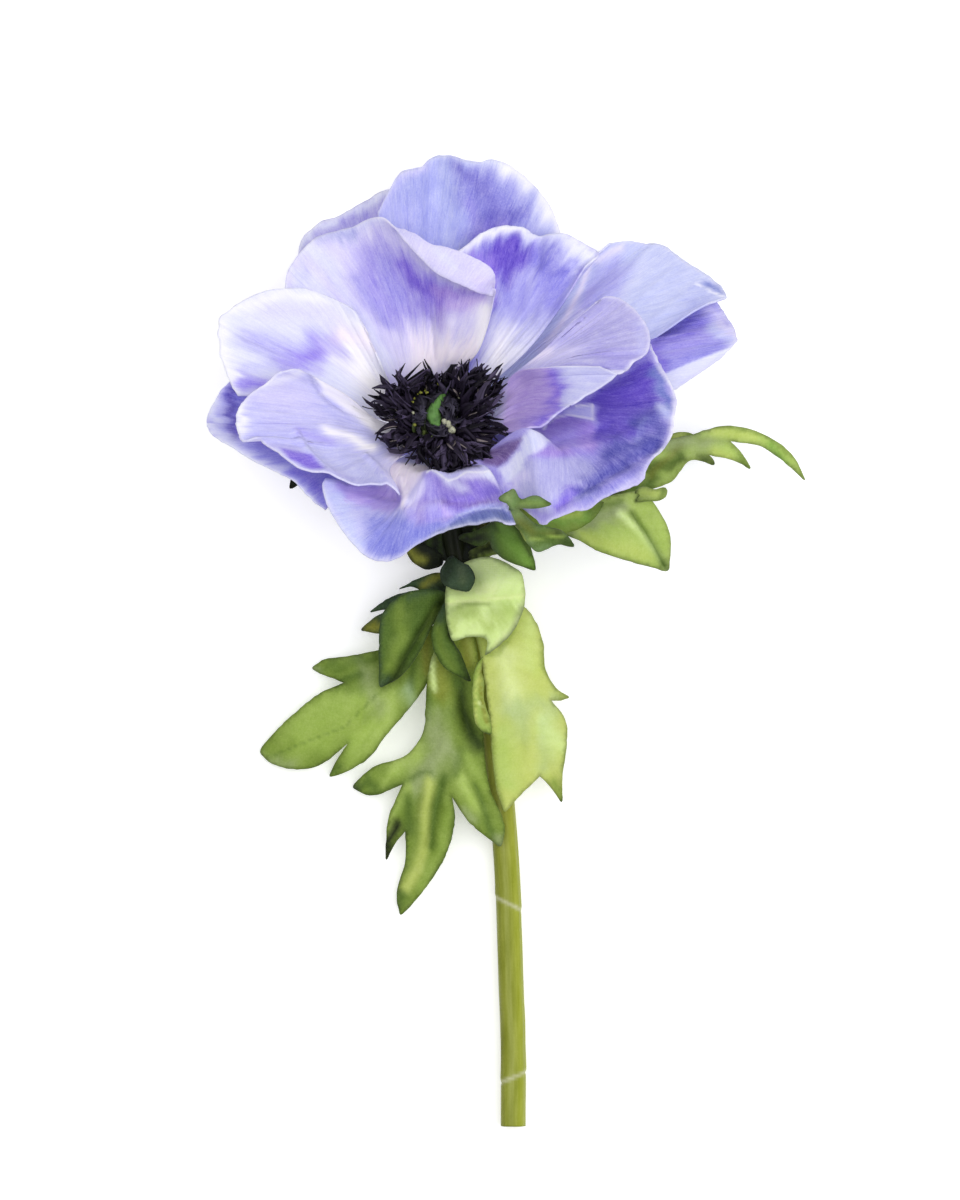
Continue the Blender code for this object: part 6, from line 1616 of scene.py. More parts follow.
class Shader:
    """A material's node tree, with short calls for the nodes that the materials share."""

    def __init__(self, name, roughness, **sockets):
        self.material = bpy.data.materials.new(name)
        self.material.use_nodes = True
        self.tree = self.material.node_tree
        self.surface = self.tree.nodes["Principled BSDF"]
        self.surface.inputs["Roughness"].default_value = roughness
        for socket, value in sockets.items():
            self.surface.inputs[socket.replace("_", " ")].default_value = value

    def join(self, value, socket):
        """Links an output to a socket, or sets the socket to a plain value."""
        if isinstance(value, bpy.types.NodeSocket):
            self.tree.links.new(value, socket)
        else:
            socket.default_value = value

    def node(self, kind, settings=None, **links):
        """A new node, with its settings made and its inputs joined."""
        made = self.tree.nodes.new("ShaderNode" + kind)
        for key, value in (settings or {}).items():
            setattr(made, key, value)
        for socket, value in links.items():
            self.join(value, made.inputs[socket.replace("_", " ")])
        return made

    def attribute(self, name, output="Vector"):
        """What the mesh carries under a name."""
        return self.node("Attribute", {"attribute_name": name}).outputs[output]

    def noise(self, place, scale, detail=3.0, roughness=0.55):
        """Noise over a place stretched by a scale for each of its directions."""
        stretched = self.node("VectorMath", {"operation": "MULTIPLY"})
        self.join(place, stretched.inputs[0])
        self.join(scale, stretched.inputs[1])
        made = self.node("TexNoise", Scale=1.0, Detail=detail, Roughness=roughness,
                         Vector=stretched.outputs[0])
        return made.outputs["Fac"]

    def weave(self, place):
        """Two sets of threads that cross, added up."""
        threads = []
        for direction in ("X", "Y"):
            wave = self.node("TexWave", {"bands_direction": direction}, Vector=place,
                             Scale=WAVE_SCALE / WEAVE_PITCH, Distortion=0.6, Detail=1.0)
            threads.append(wave.outputs["Fac"])
        return self.math("ADD", *threads)

    def math(self, operation, a, b=0.0):
        """A sum or other operation on two values."""
        made = self.node("Math", {"operation": operation})
        self.join(a, made.inputs[0])
        self.join(b, made.inputs[1])
        return made.outputs[0]

    def spread(self, value, low, high, start=0.3, end=0.7):
        """A value's range from start to end laid out from low to high."""
        made = self.node("MapRange", Value=value, From_Min=start, From_Max=end, To_Min=low,
                         To_Max=high)
        return made.outputs[0]

    def lines(self, noise, width):
        """Thin lines where the noise passes its middle value, from 0 to 1."""
        away = self.math("ABSOLUTE", self.math("SUBTRACT", noise, 0.5))
        return self.spread(away, 1.0, 0.0, 0.0, width)

    def deepen(self, colour, *amounts):
        """The colour with more or less dye: the amounts add up to an exponent."""
        total = amounts[0]
        for amount in amounts[1:]:
            total = self.math("ADD", total, amount)
        return self.node("Gamma", Color=colour, Gamma=total).outputs[0]

    def mix(self, share, a, b):
        """A colour a share of the way from one to another."""
        made = self.node("Mix", {"data_type": "RGBA"})
        for place, value in ((0, share), (6, a), (7, b)):
            self.join(value, made.inputs[place])
        return made.outputs[2]

    def bump(self, height, distance, strength=1.0):
        """Gives the surface fine relief, its depth in millimetres."""
        made = self.node("Bump", Height=height, Distance=distance * MM, Strength=strength)
        self.join(made.outputs[0], self.surface.inputs["Normal"])

    def finish(self, colour):
        """Gives the surface its colour and returns the material."""
        self.join(colour, self.surface.inputs["Base Color"])
        return self.material


def petal_material(name, back):
    """Dyed cloth with streaks along the petal; the back takes less of the dye."""
    shader = Shader(name, 0.75, Sheen_Weight=0.08, Sheen_Roughness=0.4, Specular_IOR_Level=0.2)
    cloth = shader.attribute("cloth")
    colour = shader.attribute("dye", "Color")
    if back:
        colour = shader.mix(0.35, colour, (*COLOURS["pale_lilac"], 1.0))
    streaks = shader.noise(cloth, (2.4, 0.14, 1.0), 4.0, 0.65)
    mottle = shader.noise(cloth, (1.0, 0.45, 1.0), 4.0, 0.6)
    grain = shader.noise(cloth, (4.5, 3.0, 1.0), 2.0, 0.7)
    veins = shader.lines(shader.noise(cloth, (0.85, 0.05, 1.0), 3.0, 0.6), 0.022)
    patches = shader.noise(cloth, (0.5, 0.2, 1.0), 2.0)
    veins = shader.math("MULTIPLY", veins, shader.spread(patches, 0.0, 0.34))
    colour = shader.deepen(
        colour, shader.spread(streaks, 0.88, 1.12), shader.spread(mottle, -0.14, 0.14),
        shader.spread(grain, -0.15, 0.15), veins,
    )
    height = shader.math("ADD", streaks, grain)
    height = shader.math("SUBTRACT", height, shader.math("MULTIPLY", veins, 1.2))
    height = shader.math("ADD", height, shader.math("MULTIPLY", shader.weave(cloth), 0.12))
    shader.bump(height, 0.10, 0.6)
    return shader.finish(colour)


def leaf_material(name):
    """Dyed cloth with a soft grain and blotches of more and less dye."""
    shader = Shader(name, 0.68, Sheen_Weight=0.04, Sheen_Roughness=0.4, Specular_IOR_Level=0.2)
    cloth = shader.attribute("cloth")
    colour = shader.attribute("dye", "Color")
    blotches = shader.noise(cloth, (0.28, 0.28, 1.0), 3.0, 0.5)
    grain = shader.noise(cloth, (2.6, 2.6, 1.0), 4.0, 0.6)
    specks = shader.noise(cloth, (7.0, 7.0, 1.0), 2.0)
    colour = shader.deepen(
        colour, shader.spread(blotches, 0.92, 1.06), shader.spread(grain, -0.07, 0.07),
        shader.spread(specks, -0.05, 0.05),
    )
    height = shader.math("ADD", grain, shader.math("MULTIPLY", shader.weave(cloth), 0.2))
    shader.bump(height, 0.12, 0.5)
    return shader.finish(colour)


def stem_material(name):
    """Moulded stem: fine lengthwise streaks over its painted ribs."""
    shader = Shader(name, 0.42, Specular_IOR_Level=0.10)
    cloth = shader.attribute("cloth")
    colour = shader.attribute("dye", "Color")
    streaks = shader.noise(cloth, (2.2, 0.12, 1.0), 4.0)
    blotches = shader.noise(cloth, (0.4, 0.10, 1.0), 3.0)
    grain = shader.noise(cloth, (4.0, 2.5, 1.0), 3.0)
    colour = shader.deepen(
        colour, shader.spread(streaks, 0.40, 0.60), shader.spread(blotches, 0.38, 0.62),
        shader.spread(grain, -0.04, 0.04),
    )
    shader.bump(shader.math("ADD", streaks, grain), 0.08, 0.5)
    return shader.finish(colour)


def stamen_material(name):
    """Blue-black cloth with a faint gloss, each strip its own shade."""
    shader = Shader(name, 0.55, Specular_IOR_Level=0.2)
    cloth = shader.attribute("cloth")
    colour = shader.attribute("dye", "Color")
    streaks = shader.noise(cloth, (3.0, 0.8, 1.0), 3.0)
    colour = shader.deepen(colour, shader.spread(streaks, 0.90, 1.12))
    shader.bump(streaks, 0.10, 0.6)
    return shader.finish(colour)


# --- petals ---------------------------------------------------------------------------------

# Shares along and across a petal for its rows and columns, with its length and greatest width.
Span = namedtuple("Span", "along across length width")


def petal_grid(layer, base_angles, ribs):
    """Points along and across a petal, from its base on the receptacle to its rim."""
    lines = []
    starts = np.radians(np.linspace(*base_angles, len(ribs)))
    drop = PETAL_LAYER_DROP * layer
    for start, rib in zip(starts, ribs):
        base = on_bloom(start, PETAL_RING_RADIUS, -drop)
        turn = 0.5 * (start + bloom_angle(rib[0], start))
        floor = on_bloom(turn, BOWL_FLOOR_RADIUS, BOWL_FLOOR_RISE - drop)
        lines.append(smooth_line([base, floor, *rib], PETAL_ALONG))
    return across_ribs(np.array(lines), PETAL_ACROSS).transpose(1, 0, 2)


def fit_rim(grid, rim):
    """Carries the rim onto its ruffled line, and lets the move die away towards the base."""
    wanted = smooth_line(rim, 6 * len(rim))
    edge = grid[-1]
    gaps = np.linalg.norm(edge[None, :, :2] - wanted[:, None, :2], axis=2)
    nearest = gaps.argmin(axis=1)
    offset = np.column_stack([wanted[:, :2] - edge[nearest, :2], wanted[:, 2]])
    kept = np.unique(nearest)
    means = np.array([offset[nearest == column].mean(axis=0) for column in kept])
    columns = np.arange(len(edge))
    move = np.column_stack([np.interp(columns, kept, values) for values in means.T])
    fade = blend_in(columns, kept[0] - RIM_FADE_COLUMNS, kept[0])
    fade = fade * blend_in(-columns, -kept[-1] - RIM_FADE_COLUMNS, -kept[-1])
    share = blend_in(np.linspace(0, 1, len(grid)), RIM_MOVE_START, 1)
    return grid + share[:, None, None] * (move * fade[:, None])


def span_of(grid):
    """The span of a petal from the points of its grid."""
    rows, columns = grid.shape[:2]
    length = np.linalg.norm(np.diff(grid, axis=0), axis=2).sum(axis=0).mean()
    width = np.linalg.norm(np.diff(grid, axis=1), axis=2).sum(axis=1).max()
    return Span(np.linspace(0, 1, rows)[:, None], np.linspace(0, 1, columns), length, width)


def petal_waves(span, seed):
    """Pleats that fan out from the base, slow waves, and ripples along the rim."""
    along, across, length, width = span
    clear = blend_in(along, 0.12, 0.35)
    pleats = ripple(across * width / PLEAT_WIDTH, along * PLEATS_ALONG, seed)
    pleats *= 1 - 0.75 * along
    creases = ripple(across * width / CREASE_WIDTH, along * CREASES_ALONG, seed + 40)
    waves = ripple(across * width / WAVE_WIDTH, along * length / WAVE_LENGTH, seed + 80)
    rim_waves = ripple(across * width / RIM_WAVE_WIDTH, along * RIM_WAVES_ALONG, seed + 120)
    lift = clear * (PLEAT_HEIGHT * pleats + CREASE_HEIGHT * creases + WAVE_HEIGHT * waves)
    return lift + RIM_WAVE_HEIGHT * blend_in(along, 0.6, 1.0) * rim_waves


def fray_rim(grid, span, seed):
    """Makes the cut edge of a petal a little uneven."""
    outward = grid[-1] - grid[-3]
    outward /= np.linalg.norm(outward, axis=1, keepdims=True)
    fray = FRAY_DEPTH * ripple(span.across * span.width / FRAY_WIDTH, 0.5, seed + 160)
    grid[-1] += outward * fray[:, None]


def petal_dye(name, places, span, seed):
    """A petal's dye and painted shade: less dye at the edge, threads of more out of the white base."""
    along, across, length, width = span
    to_rim = (1 - along) * length
    narrowing = BASE_WIDTH_SHARE + (1 - BASE_WIDTH_SHARE) * along
    to_side = np.minimum(across, 1 - across) * width * narrowing
    to_side = to_side + SIDE_PALE_OFF * (1 - blend_in(along, SIDE_PALE_START, SIDE_PALE_END))
    edge = np.minimum(to_rim, to_side)
    pale = RIM_PALENESS * np.exp(-(edge / PALE_REACH) ** 1.5)
    pale = pale * np.where(to_side < to_rim, SIDE_PALENESS, 1.0)
    dye = tinted(paint(name, places), pale, "white")
    threads = ripple(across * width / THREAD_WIDTH, along * THREADS_ALONG, seed + 200)
    threads = blend_in(threads, 0.15, 0.9)
    reach = blend_in(along, 0.05, 0.2) * (1 - blend_in(along, 0.35, 0.75))
    return tinted(dye, THREAD_STRENGTH * threads * reach, "lilac")


def petal_cloth(span, seed):
    """Places in a petal's cloth: across it, along it, and a number of its own."""
    across = (span.across - 0.5) * span.width
    places = np.broadcast_arrays(across, span.along * span.length, 7.3 * seed)
    return np.column_stack([values.ravel() for values in places])


def make_petal(name, seed, materials):
    """A petal; points and normals of its lower half are returned for the stamens to clear."""
    layer, base_angles, ribs = PETALS[name]
    grid = petal_grid(layer, base_angles, ribs)
    if name in RIMS:
        grid = fit_rim(grid, RIMS[name])
    span = span_of(grid)
    normals = normals_of(grid)
    folds = fold_lift(name, grid[..., :2].reshape(-1, 2)).reshape(grid.shape[:2])
    grid = grid + normals * (folds + petal_waves(span, seed))[..., None]
    fray_rim(grid, span, seed)
    # The rims that touch the floor lie on it.
    grid[..., 2] = np.maximum(grid[..., 2], PETAL_THICKNESS - HEART[2])
    points = grid.reshape(-1, 3)
    faces = faced(grid_faces(*grid.shape[:2]), points, normals[0, 0])
    dye = petal_dye(name, points[:, :2], span, seed)
    slot = "petal_pale" if name in PALE_PETALS else "petal_violet"
    cloth = petal_cloth(span, seed)
    piece = make_piece(name + "_cloth", points, faces, dye, cloth, materials, name, slot)
    thicken(piece, PETAL_THICKNESS, back=1)
    lower = slice(2, PETAL_ALONG // 2, 2)
    return grid[lower, ::3].reshape(-1, 3), normals[lower, ::3].reshape(-1, 3)


# --- leaves ---------------------------------------------------------------------------------

def leaf_outline(edge, seed):
    """The edge of a leaf as close points, a little uneven as cut cloth is."""
    outline = []
    corners = []
    corner = edge[-1][-1]
    for stroke in edge:
        stroke = [corner, *stroke]
        corner = stroke[-1]
        corners.append(len(outline))
        length = sum(math.dist(a, b) for a, b in zip(stroke, stroke[1:]))
        count = max(3, round(length / LEAF_STEP) + 1)
        line = smooth_line(stroke, count)
        slack = np.sin(np.pi * np.linspace(0, 1, count)) ** 0.3
        sway = LEAF_SWAY * slack * ripple(np.arange(count) * LEAF_SWAY_PACE, 0.5, seed)
        line += sway[:, None] * directions_along(line)[:, ::-1] * (1, -1)
        outline.extend(line[:-1])
        seed += 1
    return round_tips(np.array(outline), corners)


def round_tips(outline, corners):
    """The outline with its pointed tips rounded, and its notches left sharp."""
    total = len(outline)
    x, y = outline.T
    area = np.sum(x * np.roll(y, -1) - y * np.roll(x, -1))
    for corner in corners:
        before = outline[corner] - outline[corner - 2]
        after = outline[(corner + 2) % total] - outline[corner]
        if (before[0] * after[1] - before[1] * after[0]) * area > 0:
            near = np.arange(corner - 2, corner + 3) % total
            for _ in range(TIP_ROUNDS):
                sides = outline[(near - 1) % total] + outline[(near + 1) % total]
                outline[near] = 0.5 * outline[near] + 0.25 * sides
    return outline


def leaf_mesh(outline):
    """Places in plan over a leaf, and the triangles between them."""
    low, high = outline.min(axis=0), outline.max(axis=0)
    found = []
    for number, y in enumerate(np.arange(low[1], high[1], LEAF_STEP * math.sqrt(0.75))):
        x = np.arange(low[0] + 0.5 * LEAF_STEP * (number % 2), high[0], LEAF_STEP)
        found.append(np.stack([x, np.full(len(x), y)], axis=1))
    found = np.vstack(found)
    found = found[inside(found, outline)]
    found = found[distance_to_points(found, outline) > LEAF_EDGE_GAP]
    flat = [Vector(place) for place in np.vstack([outline, found])]
    face = list(range(len(outline)))
    places, _, triangles, *_ = delaunay_2d_cdt(flat, [], [face], 1, 1e-5)
    return np.array([tuple(place) for place in places]), [tuple(t) for t in triangles]


def blade(places, veins):
    """Height of a leaf's blade as in the CAD, with distances to the nearest vein."""
    total = np.zeros(len(places))
    weights = np.zeros(len(places))
    nearest = np.full(len(places), np.inf)
    for vein in veins:
        for a, b in zip(vein, vein[1:]):
            run = b[:2] - a[:2]
            along = np.clip((places - a[:2]) @ run / (run @ run), 0, 1)
            away = np.linalg.norm(a[:2] + along[:, None] * run - places, axis=1)
            weight = 1 / (away + VEIN_CORE) ** VEIN_SHARPNESS
            total += weight * (a[2] + along * (b[2] - a[2]))
            weights += weight
            nearest = np.minimum(nearest, away)
    return total / weights + LEAF_FOLD * nearest, nearest


def side_veins(places, veins, nearest):
    """Lines that leave the main veins at a slant, from 0 to 1."""
    side = np.zeros(len(places))
    for vein in veins:
        away, along = distance_to_line(places, vein)
        phase = (along - SIDE_VEIN_SLANT * away) / SIDE_VEIN_SPACING
        ridge = np.exp(-((phase - np.round(phase)) / SIDE_VEIN_REACH) ** 2)
        own = blend_in(away, SIDE_VEIN_START, SIDE_VEIN_FULL)
        side = np.maximum(side, ridge * own * (away < nearest + 0.01))
    return side


def make_leaf(name, node, seed, material):
    """A leaf, or a scrap of leaf or a dark sheet of painted shadow with no CAD node to stand for."""
    edge, veins = LEAVES[name]
    outline = leaf_outline(edge, 10 * seed)
    places, triangles = leaf_mesh(outline)
    x, y = places.T
    veins = [smooth_line(vein, 4 * len(vein)) for vein in veins]
    height, nearest = blade(places, veins)
    to_edge = distance_to_points(places, outline)
    side = side_veins(places, veins, nearest)
    height -= VEIN_DEPTH * np.exp(-(nearest / VEIN_REACH) ** 2) + SIDE_VEIN_DEPTH * side
    buckle = ripple(x / BUCKLE_SIZE, y / BUCKLE_SIZE, seed)
    buckle *= blend_in(nearest, BUCKLE_START, BUCKLE_FULL)
    grain = ripple(x / GRAIN_SIZE, y / GRAIN_SIZE, seed + 30)
    curl = ripple(x / EDGE_CURL_SIZE, y / EDGE_CURL_SIZE, seed + 60)
    curl *= np.exp(-to_edge / EDGE_CURL_REACH)
    height += BUCKLE_HEIGHT * buckle + GRAIN_HEIGHT * grain + EDGE_CURL_HEIGHT * curl
    height += fold_lift(name, places)
    shade = EDGE_SHADE * np.exp(-to_edge / EDGE_SHADE_REACH) + SIDE_VEIN_SHADE * side
    dye = paint(name, places) * (1 - shade)[:, None]
    points = np.column_stack([places, height])
    faces = faced(triangles, points, (0, 0, 1))
    cloth = np.column_stack([places, np.full(len(places), 9.7 * seed)])
    slot = "leaf_dark" if name in DARK_LEAVES else "leaf_light"
    piece = make_piece(name + "_cloth", points, faces, dye, cloth, [material], node, slot)
    thicken(piece, LEAF_THICKNESS)


# --- stem and receptacle --------------------------------------------------------------------

def tube_frames(route):
    """Two directions square to the route at each of its points, without twist."""
    runs = directions_along(route)
    side = np.cross(runs[0], (0, 0, 1.0))
    sides, ups = [], []
    for run in runs:
        side = side - run * (side @ run)
        side /= np.linalg.norm(side)
        sides.append(side)
        ups.append(np.cross(side, run))
    return np.array(sides)[:, None], np.array(ups)[:, None]


def stem_grooves(angles):
    """Depth of the moulded grooves at angles round the stem, as a share of its radius."""
    depths = np.zeros_like(angles)
    for turn, depth, reach in STEM_GROOVES:
        apart = (angles - math.radians(turn) + math.pi) % math.tau - math.pi
        depths += depth * np.exp(-(apart / reach) ** 2)
    return depths


def stem_scars(angles, travelled):
    """Marks round the stem from 0 to 1, and how much thicker it starts again past each."""
    scars = 0.0
    steps = 0.0
    for place, slant in STEM_SCARS:
        away = travelled - place - slant * np.cos(angles)
        scars = np.maximum(scars, np.exp(-(away / SCAR_REACH) ** 2))
        steps = steps + SCAR_STEP * np.exp(-np.maximum(away, 0) / SCAR_STEP_LENGTH) * (away > 0)
    return scars, steps


def stem_dye(angles, travelled, grooves, scars):
    """Yellow-green; painted light on one side and in the grooves, painted shadow at the almost black neck.
    """
    dye = np.tile(colour_of("stem_shaded_side"), (scars.size, 1))
    # Painted light on one side and in the grooves, and painted shadow at the neck.
    for share, tint in (
        (0.5 + 0.5 * np.cos(angles), "stem_lit_side"),
        (0.75 * np.clip(grooves / 0.10, 0, 1), "stem_groove_highlight"),
        (0.6 * scars, "stem_scar"),
        (0.99 * blend_in(travelled, NECK_SHADE_START, NECK_SHADE_END), "stem_neck_shadow"),
        (0.45 * np.exp(-((travelled - BROWN_PLACE) / BROWN_REACH) ** 2), "stem_brown"),
    ):
        dye = tinted(dye, np.broadcast_to(share, scars.shape), tint)
    return dye


def make_stem(material):
    """The stem, from its cut end to the bend under the bloom."""
    neck = [BLOOM_AXIS * -depth for depth in (NECK_DEPTH, RECEPTACLE_DEPTH)]
    route = smooth_line([*STEM_ROUTE, *neck], STEM_RINGS)
    sides, ups = tube_frames(route)
    angles = np.linspace(0, math.tau, STEM_SEGMENTS, endpoint=False)
    travelled = lengths_along(route)[:, None]
    grooves = stem_grooves(angles)
    scars, steps = stem_scars(angles, travelled)
    bumps = ripple(angles * STEM_BUMPS_ROUND, travelled / STEM_BUMP_LENGTH, 3)
    radius = STEM_RADIUS * (1 - grooves) + STEM_BUMP_HEIGHT * bumps
    radius = (radius + steps - SCAR_DEPTH * scars)[..., None]
    around = np.cos(angles)[:, None] * sides + np.sin(angles)[:, None] * ups
    points = (route[:, None] + radius * around).reshape(-1, 3)
    faces = grid_faces(STEM_RINGS, STEM_SEGMENTS, closed=True)
    dye = stem_dye(angles, travelled, grooves, scars)
    places = np.broadcast_arrays(angles * STEM_RADIUS, travelled, 0.0)
    cloth = np.column_stack([values.ravel() for values in places])
    parts = close_ends(points, faces, dye, cloth)
    make_piece("stem_ribbed", *parts, [material], "stem", "stem")


def close_ends(points, faces, dye, cloth):
    """Closes a tube: rings shrink to a middle point, with a pale pith and a dark centre."""
    points, dye, cloth = list(points), list(dye), list(cloth)
    for start, flip in ((0, False), ((STEM_RINGS - 1) * STEM_SEGMENTS, True)):
        rim = range(start, start + STEM_SEGMENTS)
        middle = np.mean([points[i] for i in rim], axis=0)
        outer = start
        added = []
        for share, tint in CUT_END_RINGS:
            inner = len(points)
            for i in rim:
                points.append(middle + share * (points[i] - middle))
                dye.append(colour_of(tint))
                cloth.append(cloth[i] * (share, 1, 1))
            for j in range(STEM_SEGMENTS):
                k = (j + 1) % STEM_SEGMENTS
                added.append((outer + j, inner + j, inner + k, outer + k))
            outer = inner
        centre = len(points)
        points.append(middle)
        dye.append(colour_of("pith_centre"))
        cloth.append(cloth[start] * (0, 1, 1))
        for j in range(STEM_SEGMENTS):
            added.append((outer + j, centre, outer + (j + 1) % STEM_SEGMENTS))
        faces = faces + (flipped(added) if flip else added)
    return np.array(points), faces, np.array(dye), np.array(cloth)


def turned(profile, segments, swell):
    """Points and faces turned about the bloom's axis from (radius, height) points."""
    points = []
    for radius, height in profile[1:-1]:
        for j in range(segments):
            angle = math.tau * j / segments
            points.append(on_bloom(angle, radius * (1 + swell(angle, height)), height))
    rows = len(profile) - 2
    faces = grid_faces(rows, segments, closed=True)
    top, bottom = len(points), len(points) + 1
    points.append(on_bloom(0, 0, profile[0][1]))
    points.append(on_bloom(0, 0, profile[-1][1]))
    last = (rows - 1) * segments
    for j in range(segments):
        k = (j + 1) % segments
        faces.append((top, k, j))
        faces.append((bottom, last + j, last + k))
    return np.array(points), flipped(faces)


def receptacle_ribs(angle, height):
    """How much the receptacle swells into ribs round its side."""
    return RECEPTACLE_RIB_HEIGHT * math.cos(RECEPTACLE_RIBS * angle) * (height < 0)


def make_receptacle(material):
    """The ribbed knob behind the bloom."""
    r, d = RECEPTACLE_RADIUS, RECEPTACLE_DEPTH
    profile = smooth_line([
        (0, 0.7), (0.6 * r, 0.6), (0.93 * r, 0.2), (r, -0.8), (r, -4.0), (0.95 * r, 1.9 - d),
        (0.75 * r, 0.7 - d), (0.55 * r, -d), (0, -d),
    ], RECEPTACLE_RINGS)
    points, faces = turned(profile, RECEPTACLE_SEGMENTS, receptacle_ribs)
    shade = 1 + 0.25 * ripple(points[:, 0], points[:, 1], 4)
    dye = shade[:, None] * colour_of("receptacle")
    make_piece("receptacle_ribbed", points, faces, dye, points, [material], "receptacle", "stem")


# --- pistil and stamens ---------------------------------------------------------------------

class Heap:
    """Points, faces and colours of many small closed shapes gathered into one mesh."""

    def __init__(self):
        self.points, self.faces, self.dye, self.cloth = [], [], [], []

    def add(self, points, faces, colours, cloth):
        """Adds one shape to the heap."""
        start = len(self.points)
        self.points.extend(points)
        self.faces.extend(tuple(start + corner for corner in face) for face in faces)
        self.dye.extend(colours)
        self.cloth.extend(cloth)

    def bead(self, middle, radius, colour, random):
        """A small uneven round grain."""
        squash = random.uniform(*BEAD_SQUASHES, 3)
        points = [middle + (0, 0, radius * squash[2])]
        for ring in range(1, BEAD_RINGS + 1):
            slope = math.pi * ring / (BEAD_RINGS + 1)
            for j in range(BEAD_SEGMENTS):
                turn = math.tau * j / BEAD_SEGMENTS
                offset = np.array([math.sin(slope) * math.cos(turn),
                                   math.sin(slope) * math.sin(turn), math.cos(slope)])
                offset *= squash * radius * random.uniform(*BEAD_BUMPS)
                points.append(middle + offset)
        bottom = len(points)
        last = bottom - BEAD_SEGMENTS
        points.append(middle - (0, 0, radius * squash[2]))
        faces = flipped(grid_faces(BEAD_RINGS, BEAD_SEGMENTS, first=1, closed=True))
        for j in range(BEAD_SEGMENTS):
            k = (j + 1) % BEAD_SEGMENTS
            faces.append((0, 1 + j, 1 + k))
            faces.append((bottom, last + k, last + j))
        shades = [colour * random.uniform(*BEAD_SHADES) for _ in points]
        self.add(points, faces, shades, [middle] * len(points))

    def strip(self, path, width, fold, tilt, colour, number):
        """A pointed lance of cloth, folded along its middle."""
        runs = np.gradient(path, axis=0)
        runs /= np.linalg.norm(runs, axis=1, keepdims=True) + 1e-9
        points, shades, cloth = [], [], []
        count = len(path)
        for i, (place, run) in enumerate(zip(path, runs)):
            side = np.cross(run, BLOOM_AXIS)
            side /= np.linalg.norm(side) + 1e-9
            up = np.cross(side, run)
            wing = math.cos(tilt) * side + math.sin(tilt) * up
            crest = math.cos(tilt) * up - math.sin(tilt) * side
            share = i / (count - 1)
            ragged = 0.72 + 0.14 * ((7 * i + 3 * number) % 5)
            half = 0.5 * width * ragged * min(1.0, 0.5 + 1.1 * share) * (1 - share ** 5) + 0.03
            points += [place - wing * half + crest * fold * half, place + crest * STRIP_CREST,
                       place + wing * half + crest * fold * half, place - crest * STRIP_KEEL]
            # Painted highlight on the edges, painted shade along the middle and underside.
            shades += [colour * edge for edge in STRIP_CORNER_LIGHT_AND_SHADE]
            cloth += [(corner, 0.6 * i, number) for corner in range(4)]
        faces = grid_faces(count, 4, closed=True)
        faces.append((3, 2, 1, 0))
        faces.append(tuple(4 * (count - 1) + corner for corner in range(4)))
        self.add(points, faces, shades, cloth)

    def make(self, name, material, node, slot):
        """Turns the heap into a piece."""
        make_piece(name, self.points, self.faces, self.dye, self.cloth, [material], node, slot)


def on_dome(x, y, lift=0.0):
    """The point of the pistil's dome under a place in plan, lifted off it."""
    centre = BLOOM_AXIS * DOME_MIDDLE + DOME_SHIFT
    away = np.array([x, y]) - centre[:2]
    rise = math.sqrt(max(0.3, DOME_RADIUS ** 2 - away @ away))
    point = centre + (*away, rise)
    return point + (point - centre) / np.linalg.norm(point - centre) * lift


def add_dome(heap):
    """The dark bumpy body of the pistil."""
    points, shades = [], []
    for i in range(DOME_RINGS):
        slope = 0.5 * math.pi * i / (DOME_RINGS - 1) + 0.02
        for j in range(DOME_SEGMENTS):
            turn = math.tau * j / DOME_SEGMENTS
            pace = DOME_BUMP_PACE * slope
            bump = ripple(pace * math.cos(turn), pace * math.sin(turn), 9)
            bump = DOME_BUMP_HEIGHT * float(bump)
            radius = DOME_CORE_RADIUS + bump
            height = DOME_MIDDLE + radius * math.cos(slope)
            points.append(on_bloom(turn, radius * math.sin(slope), height) + DOME_SHIFT)
            # Painted highlight: the tops of the bumps are lighter.
            shades.append(colour_of("dome") * (1 + DOME_BUMP_HIGHLIGHT * max(0, bump)))
    faces = flipped(grid_faces(DOME_RINGS, DOME_SEGMENTS, closed=True))
    foot, crown = len(points), len(points) + 1
    points.append(on_bloom(0, 0, PISTIL_FOOT))
    points.append(on_bloom(0, 0, DOME_MIDDLE + DOME_CORE_RADIUS) + DOME_SHIFT)
    # The crown point is painted lighter as a highlight.
    shades += [colour_of("dome"), DOME_TOP_HIGHLIGHT * colour_of("dome")]
    last = (DOME_RINGS - 1) * DOME_SEGMENTS
    for j in range(DOME_SEGMENTS):
        k = (j + 1) % DOME_SEGMENTS
        faces.append((last + j, last + k, foot))
        faces.append((j, crown, k))
    heap.add(points, faces, shades, points)


